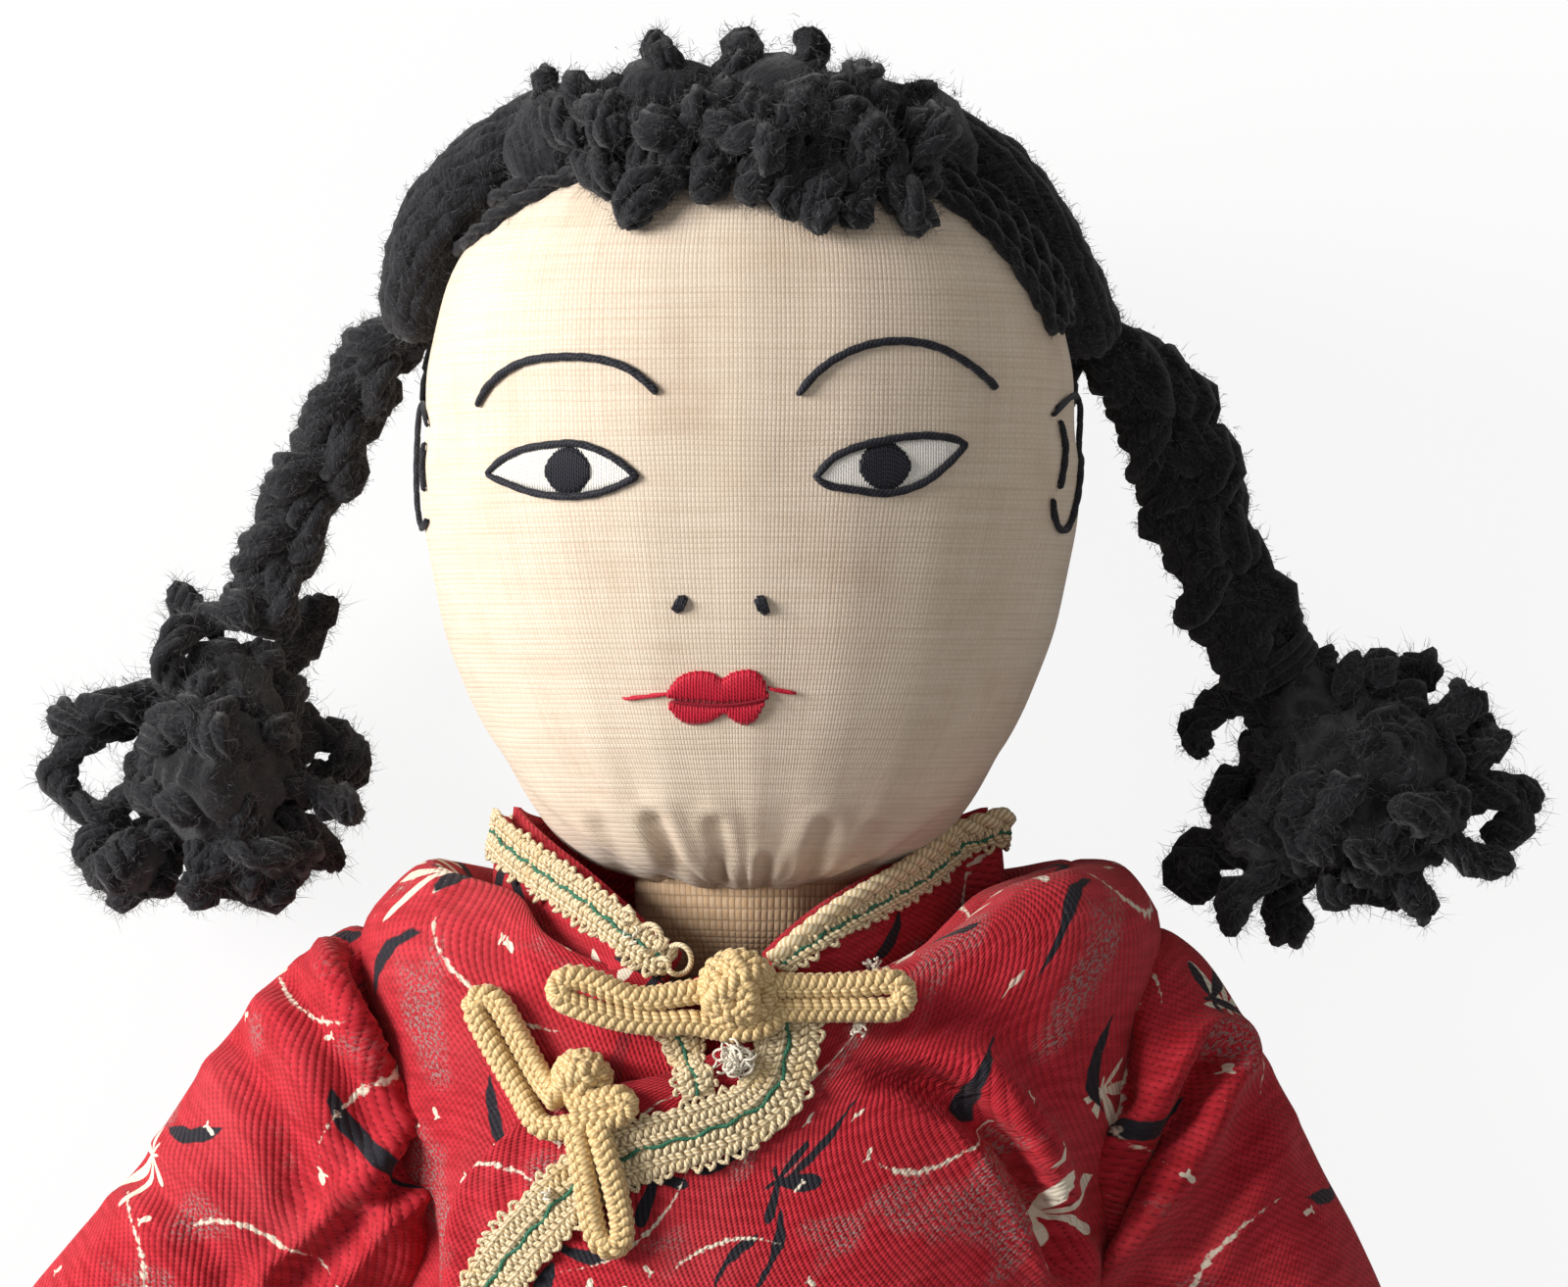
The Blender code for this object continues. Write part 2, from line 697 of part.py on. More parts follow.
def armhole_cutter(side, sign):
    start, end = sign * (TORSO_HALF_WIDTH - OVERRUN), sign * (TORSO_HALF_WIDTH + OVERRUN)
    radius = SHOULDER_PLUG + CLOTH_WALL + 2 * GAP
    return cross_cutter(side + "_armhole_cutter", radius, start, end, SHOULDER_Y, SHOULDER_Z)


def collar_top(angle):
    """The height of the collar's upper edge, at an angle from the front."""
    if abs(angle) <= math.pi / 2:
        return COLLAR_FRONT_Y + (COLLAR_SIDE_Y - COLLAR_FRONT_Y) * abs(math.sin(angle))
    share = (abs(angle) - math.pi / 2) / (math.pi / 2)
    return COLLAR_SIDE_Y + (COLLAR_BACK_Y - COLLAR_SIDE_Y) * math.sin(share * math.pi / 2) ** 2


def collar_point(angle, y, lift):
    wide, deep = COLLAR_HALF_WIDTH + lift, COLLAR_HALF_DEPTH + lift
    return Vector((wide * math.sin(angle), y, NECK_Z + deep * math.cos(angle)))


def collar_band(name, lift, wall, low, high, opening, surface, columns=29):
    """A standing band round the neck, open at the front, between two heights at each angle."""
    grids = []
    for layer in (lift, lift + wall):
        grid = []
        for angle in np.linspace(opening, 2 * math.pi - opening, columns):
            turned = angle if angle <= math.pi else angle - 2 * math.pi
            heights = (low(turned), high(turned))
            grid.append([collar_point(angle, y, layer) for y in heights])
        grids.append(grid)
    return slab(name, grids[0], grids[1], surface)


def build_collar():
    """The standing collar, its lining and the braid sewn round its upper edge."""
    jacket = hide(torso_form().solid("jacket_top_cutter", None, OVER_TOP + GAP, *TORSO_ROWS))
    foot = NECK_SEAT_Y - 2 * OVER_TOP

    def low(angle):
        return min(foot, collar_top(angle) - TRIM_WIDTH)

    collar = collar_band("collar", 0, CLOTH_WALL, low, collar_top, COLLAR_OPENING, TWILL)
    boolean(collar, jacket)
    trim = collar_band(
        "collar_trim",
        CLOTH_WALL + GAP,
        TRIM_WALL,
        lambda angle: collar_top(angle) - COLLAR_TRIM_WIDTH,
        collar_top,
        COLLAR_OPENING,
        BRAID_TRIM,
    )
    boolean(trim, jacket)


def build_neck():
    """The canvas neck, rounded at its foot, where it is sewn into the torso."""
    joint = empty("neck_joint", (0, NECK_HINGE_Y, NECK_Z))
    neck_body("neck_stuffing", CASING_WALL + GAP, GAP, STUFFING, joint)
    casing = neck_body("neck_casing", 0, 0, CANVAS, joint)
    boolean(casing, hide(neck_body("neck_hollow_cutter", CASING_WALL, -OVERRUN, None, joint)))
    return joint


def neck_body(name, inset, below, surface, joint):
    """A round foot and a straight top, this far inside the neck and below its seam."""
    radius = NECK_RADIUS - inset
    turns = [math.radians(80) * (1 - step / 5) for step in range(6)]
    outline = [(radius * math.cos(turn), -radius * math.sin(turn)) for turn in turns]
    outline.append((radius, NECK_SEAM_Y - NECK_HINGE_Y - below))
    loops = []
    for wide, y in outline:
        loops.append([Vector((x, y, z)) for x, z in rounded_ring(wide, wide, 2.0, 16)])
    return loft(name, loops, surface, joint)


def build_head(neck):
    """The stuffed head, which turns on the neck's seam."""
    seam = (0, NECK_SEAM_Y - NECK_HINGE_Y, 0)
    joint = empty("head_joint", seam, parent=neck)
    place = Matrix.Translation((0, -NECK_SEAM_Y, -NECK_Z))
    form = head_form()
    casing = form.solid("head_casing", COTTON, 0, *HEAD_ROWS, parent=joint, place=place)
    hollow = form.solid("head_hollow_cutter", None, -CASING_WALL, *HEAD_ROWS, (OVERRUN, 0))
    hollow.parent, hollow.matrix_basis = joint, place
    boolean(casing, hide(hollow))
    form.solid("head_stuffing", STUFFING, -CASING_WALL - 4 * GAP, *LIMB_ROWS, parent=joint, place=place)
    return joint, place


def face_place(x_share, y_share):
    """A place on the face as an arc from its middle and a height, from shares of its size."""
    form = head_form()
    y = form.start.y + y_share * HEAD_HEIGHT
    return Vector((form.angle_at(x_share * HEAD_HALF_WIDTH, y) * HEAD_HALF_WIDTH, y))


def on_face(place, lift):
    form = head_form()
    return form.surface(place.x / HEAD_HALF_WIDTH, form.share_at(place.y), lift)


def stitch_line(name, places, surface, head, closed=False, lift=GAP):
    """A raised line of stitches through places on the head."""
    inner, outer = [], []
    count = len(places)
    for i, place in enumerate(places):
        before = places[i - 1] if i or closed else place
        after = places[(i + 1) % count] if i < count - 1 or closed else place
        across = (after - before).orthogonal().normalized() * STITCH_WIDTH / 2
        sides = (place - across, place + across)
        inner.append([on_face(side, lift) for side in sides])
        outer.append([on_face(side, lift + STITCH_HEIGHT) for side in sides])
    return slab(name, inner, outer, surface, closed, *head)


def stitch_patch(name, places, surface, head, lift=GAP):
    """A raised patch of satin stitch inside an outline on the head."""
    loops = [[on_face(place, up) for place in places] for up in (lift, lift + STITCH_HEIGHT)]
    return loft(name, loops, surface, *head)


def arch(centre, half_length, foot, rise, tilt, count=11):
    """Places along an arched line, in shares of the face."""
    steps = [2 * i / (count - 1) - 1 for i in range(count)]
    return [(centre + half_length * u, foot + tilt * u + rise * (1 - u * u)) for u in steps]


def on_places(shares):
    return [face_place(x, y) for x, y in shares]


def oval(centre, foot, wide, tall, count=12):
    """Places round an oval, in shares of the face."""
    turns = [2 * math.pi * i / count for i in range(count)]
    return [(centre + wide * math.cos(turn), foot + tall * math.sin(turn)) for turn in turns]


def lips(count=28):
    """Places round the lips, with a notch in the middle of each edge."""
    places = []
    for i in range(count):
        turn = 2 * math.pi * i / count
        along, up = math.cos(turn), math.sin(turn)
        notch = 1 - LIP_NOTCH_SHARE * math.exp(-((along / LIP_NOTCH_SHARE) ** 2))
        full = math.copysign(abs(up) ** 0.6, up) * notch
        places.append((MOUTH_X_SHARE + LIP_HALF_SHARE * along, MOUTH_Y_SHARE + LIP_RISE_SHARE * full))
    return places


def build_face(head):
    over_stitches = 2 * GAP + STITCH_HEIGHT
    for side in ("right", "left"):
        stitch_line(side + "_brow", on_places(arch(*BROW_SHARES[side])), BLACK_THREAD, head)
        centre, half, foot, tilt = EYE_SHARES[side]
        over = arch(centre, half, foot, EYE_RISE_SHARE, tilt, 10)
        under = arch(centre, half, foot, EYE_DROP_SHARE, tilt, 10)
        outline = on_places(over + under[-2:0:-1])
        stitch_line(side + "_eye_outline", outline, BLACK_THREAD, head, closed=True)
        pupil = oval(*PUPIL_SHARES[side], *PUPIL_HALF_SHARES)
        stitch_patch(side + "_pupil", on_places(pupil), BLACK_THREAD, head, over_stitches)
        nostril = oval(*NOSTRIL_SHARES[side], *NOSTRIL_HALF_SHARES, 8)
        stitch_patch(side + "_nostril", on_places(nostril), BLACK_THREAD, head)
        build_ear(side, head)
    stitch_patch("lips", on_places(lips()), RED_THREAD, head)
    line = arch(MOUTH_X_SHARE, MOUTH_LINE_HALF_SHARE, MOUTH_Y_SHARE, 0.0, 0.0, 13)
    stitch_line("mouth_line", on_places(line), RED_THREAD, head, lift=over_stitches)


def build_ear(side, head):
    """The outline of an ear, embroidered round the side of the head."""
    form = head_form()
    sign = -1 if side == "right" else 1
    places = []
    for i in range(14):
        turn = 2 * math.pi * i / 14
        arc = sign * (EAR_TURN + EAR_HALF_TURN * math.cos(turn)) * HEAD_HALF_WIDTH
        y = form.start.y + HEAD_HEIGHT * (EAR_Y_SHARE + EAR_HALF_SHARE * math.sin(turn))
        places.append(Vector((arc, y)))
    stitch_line(side + "_ear_outline", places, BLACK_THREAD, head, closed=True)


def sweep(name, points, radii, surface, sides=8, parent=None, place=None):
    """A round body along a line of points, with a radius at each."""
    points = [Vector(point) for point in points]
    loops, across = [], Vector((0.1, 0.2, 1.0))
    for i, point in enumerate(points):
        along = (points[min(i + 1, len(points) - 1)] - points[max(i - 1, 0)]).normalized()
        across = (across - along * across.dot(along)).normalized()
        beside = along.cross(across)
        turns = [2 * math.pi * k / sides for k in range(sides)]
        ring = [across * math.cos(turn) + beside * math.sin(turn) for turn in turns]
        loops.append([point + radii[i] * spoke for spoke in ring])
    return loft(name, loops, surface, parent, place)


def roll_point(turn):
    """A point of the hair roll's middle line, at an angle from the crown towards +X."""
    side, up = math.sin(turn), math.cos(turn)
    x = HAIR_ROLL_HALF_WIDTH * math.copysign(abs(side) ** 0.8, side)
    rise = max(up, 0) ** 0.8
    z = HAIR_ROLL_FOOT_Z + (HAIR_ROLL_TOP_Z - HAIR_ROLL_FOOT_Z) * rise
    return Vector((x, HAIR_ROLL_FOOT_Y + HAIR_ROLL_RISE * rise, z))


def hair_roll_body(name, lift, surface, head):
    """The roll, or a fatter and longer one that clears its place in the cap."""
    points = [roll_point(math.radians(90) * (i / 8 - 1)) for i in range(17)]
    if lift:
        down = Vector((0, -OVERRUN, 0))
        points = [points[0] + down, *points, points[-1] + down]
    radii = [HAIR_ROLL_RADIUS + lift] * len(points)
    return sweep(name, points, radii, surface, 8, *head)


def build_hair(head):
    """A cap of yarn over the back of the head and a thick roll round the face."""
    form = head_form()
    cap = form.solid("hair_cap", WOOL, GAP + HAIR_THICKNESS, *HEAD_ROWS, parent=head[0], place=head[1])
    inside = hide(form.solid("scalp_cutter", None, GAP, *HEAD_ROWS, parent=head[0], place=head[1]))
    boolean(cap, inside)
    boolean(cap, hairline_cutter(head))
    roll = hair_roll_body("hair_roll", 0, WOOL, head)
    boolean(roll, inside)
    boolean(cap, hide(hair_roll_body("roll_cutter", GAP, None, head)))
    for sign, radius in ((-1, RIGHT_BRAID_RADIUS), (1, LEFT_BRAID_RADIUS)):
        root = (sign * BRAID_ROOT_X, BRAID_ROOT_Y, BRAID_ROOT_Z)
        cutter = ball("braid_root_cutter", radius + GAP, (0, 0, 0), rings=12, count=20)
        cutter.parent, cutter.matrix_basis = head[0], head[1] @ Matrix.Translation(root)
        for piece in (cap, roll):
            boolean(piece, hide(cutter))


def hairline_cutter(head):
    """Clears the face, the ears and the neck: all that is in front of the hairline."""
    reach = HEAD_HALF_WIDTH + HAIR_THICKNESS + OVERRUN
    top = NECK_SEAM_Y + HEAD_HEIGHT + HAIR_THICKNESS + OVERRUN
    front = HAIR_ROLL_TOP_Z + HEAD_HALF_DEPTH
    back = BRAID_ROOT_Z - LEFT_BRAID_RADIUS - 2 * GAP
    outline = (
        (NECK_SEAM_Y - OVERRUN, -OVERRUN),
        (NAPE_Y, -OVERRUN),
        (NAPE_Y, back),
        (BRAID_ROOT_Y + LEFT_BRAID_RADIUS, back),
        (BRAID_ROOT_Y + 2 * LEFT_BRAID_RADIUS, HAIR_ROLL_FOOT_Z),
        (HAIR_ROLL_FOOT_Y + HAIR_ROLL_RISE, HAIR_ROLL_TOP_Z),
        (top, HAIR_ROLL_TOP_Z),
        (top, front),
        (NECK_SEAM_Y - OVERRUN, front),
    )
    loops = [[Vector((x, y, z)) for y, z in outline] for x in (-reach, reach)]
    return hide(loft("hairline_cutter", loops, None, *head))


def build_fringe(head):
    """A bushy clump of cut yarn that stands up from the roll and falls forward over it."""
    reach = HAIR_ROLL_RADIUS + FRINGE_RADIUS + 3 * GAP
    forward = Vector((0, FRINGE_LEAN_SHARE, 1)).normalized()
    stations, sides = FRINGE_ROWS
    loops = []
    for i in range(stations):
        share = i / (stations - 1)
        turn = FRINGE_SPREAD * (2 * share - 1)
        outward = Vector((math.sin(turn), 1, 0)).normalized()
        phase = 2 * math.pi * FRINGE_TUFTS * share
        taper = math.sin(math.pi * (share * (stations - 1) + 1) / (stations + 1)) ** 0.35
        up = FRINGE_RADIUS + FRINGE_RISE * (0.5 - 0.5 * math.cos(phase))
        down = FRINGE_RADIUS + FRINGE_FALL * (0.5 + 0.5 * math.cos(phase))
        middle = roll_point(turn) + forward * reach
        ring = []
        for k in range(sides):
            angle = 2 * math.pi * k / sides
            tall = (up if math.cos(angle) > 0 else down) * math.cos(angle)
            thick = FRINGE_RADIUS * math.sin(angle)
            ring.append(middle + taper * (outward * tall + Vector((0, 0, thick))))
        loops.append(ring)
    loft("hair_fringe", loops, WOOL, *head)


def build_braid(side, head_joint):
    """A braid that hangs from the end of the roll and carries a pom-pom."""
    sign = -1 if side == "right" else 1
    radius = RIGHT_BRAID_RADIUS if side == "right" else LEFT_BRAID_RADIUS
    length = RIGHT_BRAID_LENGTH if side == "right" else LEFT_BRAID_LENGTH
    slant = RIGHT_BRAID_SLANT if side == "right" else LEFT_BRAID_SLANT
    root = (sign * BRAID_ROOT_X, BRAID_ROOT_Y - NECK_SEAM_Y, BRAID_ROOT_Z - NECK_Z)
    joint = empty(side + "_braid_joint", root, slant, head_joint)
    fall = POMPOM_Z - BRAID_ROOT_Z
    share = 1 - (POMPOM_CORE + GAP) / length
    rows = [(0.0, 0.5, 0.5), (0.04, 0.86, 0.86)]
    for i in range(1, 9):
        bulge = 1.0 if i % 2 else BRAID_WAIST_SHARE
        rows.append((i / 9, bulge, bulge))
    rows.append((1.0, BRAID_WAIST_SHARE, BRAID_WAIST_SHARE))
    end = (0, -length * share, fall * share)
    braid = Form(rows, (0, radius * 0.86, 0), end, (radius, radius), bow=sign * BRAID_SWAY)
    braid.solid(side + "_braid", WOOL, 0, *BRAID_ROWS, parent=joint)
    binding_place = Vector(end) * (1 - 0.5 * BINDING_CORD / length)
    ring_radius = radius * BRAID_WAIST_SHARE + GAP + BINDING_CORD / 2
    ring = []
    for k in range(14):
        turn = 2 * math.pi * k / 14
        spoke = Vector((math.cos(turn), 0, math.sin(turn))) * (ring_radius + GAP)
        ring.append(binding_place + Vector((0, BINDING_CORD, 0)) + spoke)
    cord(side + "_braid_binding", ring, BINDING_CORD, WOOL, True, joint)
    build_pompom(side, joint, Vector((0, -length, fall)))


def build_pompom(side, joint, middle):
    """A ball of yarn whose bushy ends swell out all round, flat where it rests."""
    pompom = bmesh.new()
    bmesh.ops.create_uvsphere(pompom, u_segments=POMPOM_ROWS[1], v_segments=POMPOM_ROWS[0], radius=1.0)
    bumps = pompom_bumps(middle)
    for vert in pompom.verts:
        swell = max(math.exp(-(vert.co.normalized().angle(bump) / POMPOM_BUMP) ** 2) for bump in bumps)
        vert.co *= POMPOM_CORE + (POMPOM_REACH - POMPOM_CORE) * swell
    body = finish_mesh(side + "_pompom", pompom, WOOL, joint, Matrix.Translation(middle))
    reach = 2 * POMPOM_REACH
    low = middle + Vector((-reach, -reach, -reach - POMPOM_Z))
    high = middle + Vector((reach, reach, -POMPOM_Z))
    floor = box_cutter(side + "_pompom_floor_cutter", low, high)
    floor.parent = joint
    boolean(body, floor)


def pompom_bumps(middle):
    """Even directions round a pom-pom, but for the one that its braid comes from."""
    bumps = []
    for i in range(POMPOM_TUFTS):
        up = 1 - 2 * (i + 0.5) / POMPOM_TUFTS
        turn = i * math.pi * (3 - math.sqrt(5))
        flat = math.sqrt(1 - up * up)
        bump = Vector((flat * math.cos(turn), flat * math.sin(turn), up))
        if bump.angle(-middle) > 3 * POMPOM_BUMP:
            bumps.append(bump)
    return bumps


def arm_side_cutter(name, sign, outside):
    """Clears all that lies nearer the middle than a plane beside the torso."""
    reach = SLEEVE_HEAD + 2 * SLEEVE_HALF_WIDTH
    ends = sorted((sign * (outside - reach), sign * outside))
    low = (ends[0], SHOULDER_Y - 2 * reach, -OVERRUN)
    high = (ends[1], SHOULDER_Y + 2 * reach, SHOULDER_Z + reach)
    return box_cutter(name, low, high)


def shoulder_round(name, sign, radius, outside):
    """A round along the shoulder's axis, from the torso's side out through the sleeve's."""
    ends = sorted((sign * (TORSO_HALF_WIDTH + GAP), sign * outside))
    return cross_cutter(name, radius, *ends, SHOULDER_Y, SHOULDER_Z)


def build_arm(side):
    """A stuffed arm and its sleeve. Both turn in the jacket's armhole, about the shoulder."""
    sign = -1 if side == "right" else 1
    slant = RIGHT_ARM_SLANT if side == "right" else LEFT_ARM_SLANT
    outside = TORSO_HALF_WIDTH + (UNDER_TOP if side == "right" else OVER_TOP) + GAP
    joint = empty(side + "_arm_joint", (sign * TORSO_HALF_WIDTH, SHOULDER_Y, SHOULDER_Z))
    slanted = empty(side + "_arm_slant", (0, 0, 0), slant, joint)
    fall = CUFF_Z - SHOULDER_Z
    build_sleeve(side, sign, outside, slanted, fall)
    arm_form = Form(
        ARM_SHARES,
        (0, ARM_HEAD, 0),
        (0, -ARM_LENGTH, fall),
        (ARM_HALF_WIDTH, ARM_HALF_DEPTH),
    )
    arm = arm_form.solid(side + "_arm", COTTON, 0, *ARM_ROWS, parent=slanted)
    inside = outside + CLOTH_WALL + GAP
    boolean(arm, arm_side_cutter(side + "_arm_side_cutter", sign, inside))
    boolean(arm, shoulder_round(side + "_arm_plug", sign, SHOULDER_PLUG, inside + GAP), "UNION")
    build_thumb(side, sign, arm, slanted, fall)


def build_sleeve(side, sign, outside, slanted, fall):
    """A sleeve that is closed beside the torso but for a round neck, sewn into the armhole."""
    form = Form(
        SLEEVE_SHARES,
        (0, SLEEVE_HEAD, 0),
        (0, -SLEEVE_LENGTH, fall),
        (SLEEVE_HALF_WIDTH, SLEEVE_HALF_DEPTH),
        SLEEVE_SQUARENESS,
        floor=-SHOULDER_Z,
    )
    sleeve = form.solid(side + "_sleeve", TWILL, 0, *CLOTH_ROWS, parent=slanted)
    hollow = form.solid(side + "_sleeve_cutter", None, -CLOTH_WALL, *CLOTH_ROWS, (0, OVERRUN), slanted)
    inside = outside + CLOTH_WALL
    boolean(hollow, arm_side_cutter(side + "_hollow_side_cutter", sign, inside))
    boolean(sleeve, hide(hollow))
    boolean(sleeve, arm_side_cutter(side + "_sleeve_side_cutter", sign, outside))
    radius = SHOULDER_PLUG + GAP
    neck = shoulder_round(side + "_sleeve_neck", sign, radius + CLOTH_WALL, outside + CLOTH_WALL / 2)
    boolean(sleeve, neck, "UNION")
    ends = sorted((sign * (TORSO_HALF_WIDTH - OVERRUN), sign * (inside + OVERRUN / 2)))
    boolean(sleeve, cross_cutter(side + "_sleeve_neck_cutter", radius, *ends, SHOULDER_Y, SHOULDER_Z))


def build_thumb(side, sign, arm, slanted, fall):
    wrist = THUMB_PLACE_SHARE
    start = Vector((-sign * ARM_HALF_WIDTH / 2, -ARM_LENGTH * wrist, fall * wrist))
    turn = sign * THUMB_SLANT
    direction = Vector((-math.sin(turn), -math.cos(turn), 0))
    points = [start + direction * THUMB_LENGTH * place for place, _ in THUMB_SHARES]
    radii = [THUMB_RADIUS * wide for _, wide in THUMB_SHARES]
    thumb = hide(sweep(side + "_thumb", points, radii, None, 8, slanted))
    boolean(arm, thumb, "UNION")


def hip_rows(radius, length, shares):
    """A profile that starts with a half round about the hip and goes on down the leg."""
    whole = radius + length
    rows = []
    for step in range(4):
        turn = math.radians(78 - 22 * step)
        rows.append((radius * (1 - math.sin(turn)) / whole, math.cos(turn) ** 0.4, math.cos(turn)))
    rows += [((radius + place * length) / whole, wide, deep) for place, wide, deep in shares]
    return rows


def build_leg(side):
    """A stuffed leg in its trouser leg, with a cloth shoe. All of it turns about the hip."""
    sign = -1 if side == "right" else 1
    joint = empty(side + "_leg_joint", (sign * HIP_X, HIP_Y, HIP_Z))
    hem = sign * LEG_SPLAY * TROUSER_LENGTH / LEG_LENGTH
    rise = HIP_Z - TROUSER_HEM_Z
    trouser_form = Form(
        hip_rows(TROUSER_RADIUS, TROUSER_LENGTH, TROUSER_SHARES),
        (-hem * TROUSER_RADIUS / TROUSER_LENGTH, TROUSER_RADIUS, rise * TROUSER_RADIUS / TROUSER_LENGTH),
        (hem, -TROUSER_LENGTH, -rise),
        (TROUSER_HALF_WIDTH, TROUSER_RADIUS),
        floor=-HIP_Z,
    )
    trouser = trouser_form.solid(side + "_trouser_leg", DARK_COTTON, 0, *CLOTH_ROWS, parent=joint)
    inside = trouser_form.solid(side + "_trouser_cutter", None, -CLOTH_WALL, *CLOTH_ROWS, (0, OVERRUN), joint)
    boolean(trouser, hide(inside))
    inset = CLOTH_WALL + 2 * GAP
    rise = HIP_Z - ANKLE_Z
    leg_form = Form(
        hip_rows(TROUSER_RADIUS, LEG_LENGTH + inset, LEG_SHARES),
        (-sign * LEG_SPLAY * TROUSER_RADIUS / LEG_LENGTH, TROUSER_RADIUS, rise * TROUSER_RADIUS / LEG_LENGTH),
        (sign * LEG_SPLAY, -LEG_LENGTH - inset, -rise),
        (TROUSER_HALF_WIDTH, TROUSER_RADIUS),
    )
    leg_form.solid(side + "_leg", COTTON, -inset, *CLOTH_ROWS, parent=joint)
    build_shoe(side, sign, joint, leg_form, GAP - inset)


def build_shoe(side, sign, joint, leg_form, lift):
    """A cloth shoe with its toe up, a separate sole, and an opening that fits the leg."""
    turned = Matrix.Translation((sign * LEG_SPLAY, SHOE_HALF_HEIGHT - SHOE_FOOT - LEG_LENGTH, -HIP_Z))
    turned = turned @ Matrix.Rotation(math.radians(90), 4, "X")
    form = Form(SHOE_SHARES, (0, 0, 0), (0, SHOE_LENGTH, 0), (SHOE_HALF_WIDTH, SHOE_HALF_HEIGHT), 2.2)
    upper = form.solid(side + "_shoe", SHOE_CLOTH, 0, *LIMB_ROWS, parent=joint, place=turned)
    sole = form.solid(side + "_shoe_sole", SHOE_CLOTH, 0, *LIMB_ROWS, parent=joint, place=turned)
    reach = SHOE_LENGTH + OVERRUN
    split = SHOE_HALF_HEIGHT - SHOE_SOLE
    below = box_cutter(side + "_sole_cutter", (-reach, -reach, split - GAP), (reach, reach, reach))
    above = box_cutter(side + "_upper_cutter", (-reach, -reach, -reach), (reach, reach, split))
    for cutter in (below, above):
        cutter.parent, cutter.matrix_basis = joint, turned
    boolean(upper, below)
    boolean(sole, above)
    opening = leg_form.solid(side + "_ankle_cutter", None, lift, *CLOTH_ROWS, parent=joint)
    boolean(upper, hide(opening))


def chest_z(x, y, lift):
    """The height of the jacket's front, or of the collar where that stands farther out."""
    form = torso_form(1.0)
    height = form.front_z(x, min(y, NECK_SEAT_Y), lift)
    wide, deep = COLLAR_HALF_WIDTH + lift, COLLAR_HALF_DEPTH + lift
    if y > COLLAR_FRONT_Y - TRIM_WIDTH and abs(x) < wide:
        height = max(height, NECK_Z + deep * math.sqrt(1 - (x / wide) ** 2))
    return height


def strip(name, line, width, lift, surface):
    """A flat braid sewn on the chest along a line of (x, y) places."""
    line = [Vector(place) for place in line]
    form = torso_form(1.0)
    grids = []
    for layer in (lift, lift + TRIM_WALL):
        grid = []
        for i, place in enumerate(line):
            along = line[min(i + 1, len(line) - 1)] - line[max(i - 1, 0)]
            across = along.orthogonal().normalized() * width / 2
            sides = (place - across, place, place + across)
            grid.append([Vector((x, y, form.front_z(x, y, layer))) for x, y in sides])
        grids.append(grid)
    return slab(name, grids[0], grids[1], surface)


def build_trims():
    """The braid along the flap's edge, and the short end of the under front's braid."""
    heights = np.linspace(FLAP_TRIM_FROM_Y, HEM_Y, 24)
    line = [(flap_edge(y) + TRIM_WIDTH * FLAP_TRIM_IN_SHARE, y) for y in heights]
    strip("flap_trim", line, TRIM_WIDTH, TRIM_LIFT, BRAID_TRIM)
    heights = np.linspace(INNER_TRIM_FROM_Y, INNER_TRIM_TO_Y, 7)
    strip("inner_trim", [(INNER_TRIM_X, y) for y in heights], INNER_TRIM_WIDTH, OVER_LIFT, BRAID_TRIM)


def loop_places(route, knot, ring_radius):
    """A doubled cord that opens into a loop round a knot, as one closed line."""
    knot = Vector(knot)
    left, right = doubled(route)
    start, end = left[-1] - knot, right[-1] - knot
    first, last = math.atan2(start.y, start.x), math.atan2(end.y, end.x)
    while last > first:
        last -= 2 * math.pi
    steps = 14
    turns = [first + (last - first) * i / steps for i in range(1, steps)]
    around = [knot + ring_radius * Vector((math.cos(turn), math.sin(turn))) for turn in turns]
    return left + around + right[::-1] + round_end(left[0], right[0])


def doubled(route):
    """Two lines beside each other along a route."""
    route = [Vector(place) for place in route]
    left, right = [], []
    for i, place in enumerate(route):
        along = (route[min(i + 1, len(route) - 1)] - route[max(i - 1, 0)]).normalized()
        across = Vector((-along.y, along.x)) * CORD_PITCH / 2
        left.append(place + across)
        right.append(place - across)
    return left, right


def round_end(left, right):
    """The half turn that joins two lines past their first points, from right to left."""
    middle, arm = (left + right) / 2, (right - left) / 2
    return [middle + Matrix.Rotation(-math.pi * i / 4, 2) @ arm for i in range(1, 4)]


def eased_route(start, corner, end, count=7):
    """A route that bends at a corner, as a smooth curve through its ends."""
    places = []
    for i in range(count):
        t = i / (count - 1)
        weights = ((1 - t) ** 2, 2 * t * (1 - t), t * t)
        places.append(sum((Vector(p) * w for p, w in zip((start, corner, end), weights)), Vector((0, 0))))
    return places


def frog_lift(x, y):
    """How high a cord lies on the chest: over the flap's braid, the flap, or the front under it."""
    edge = flap_edge(y)
    beside = abs(x - edge - TRIM_WIDTH * FLAP_TRIM_IN_SHARE)
    if beside < TRIM_WIDTH + FROG_CORD:
        return FROG_LIFT
    return (OVER_TOP if x > edge else UNDER_TOP) + GAP + FROG_CORD / 2


def laid(places, over_braid):
    """Places on the chest as points of a cord that lies on it, eased over each step."""
    lifts = [FROG_LIFT if over_braid else frog_lift(place.x, place.y) for place in places]
    points = []
    for i, place in enumerate(places):
        near = lifts[max(i - 1, 0) : i + 2]
        lift = max(lifts[i], sum(near) / len(near))
        points.append(Vector((place.x, place.y, chest_z(place.x, place.y, lift))))
    return points


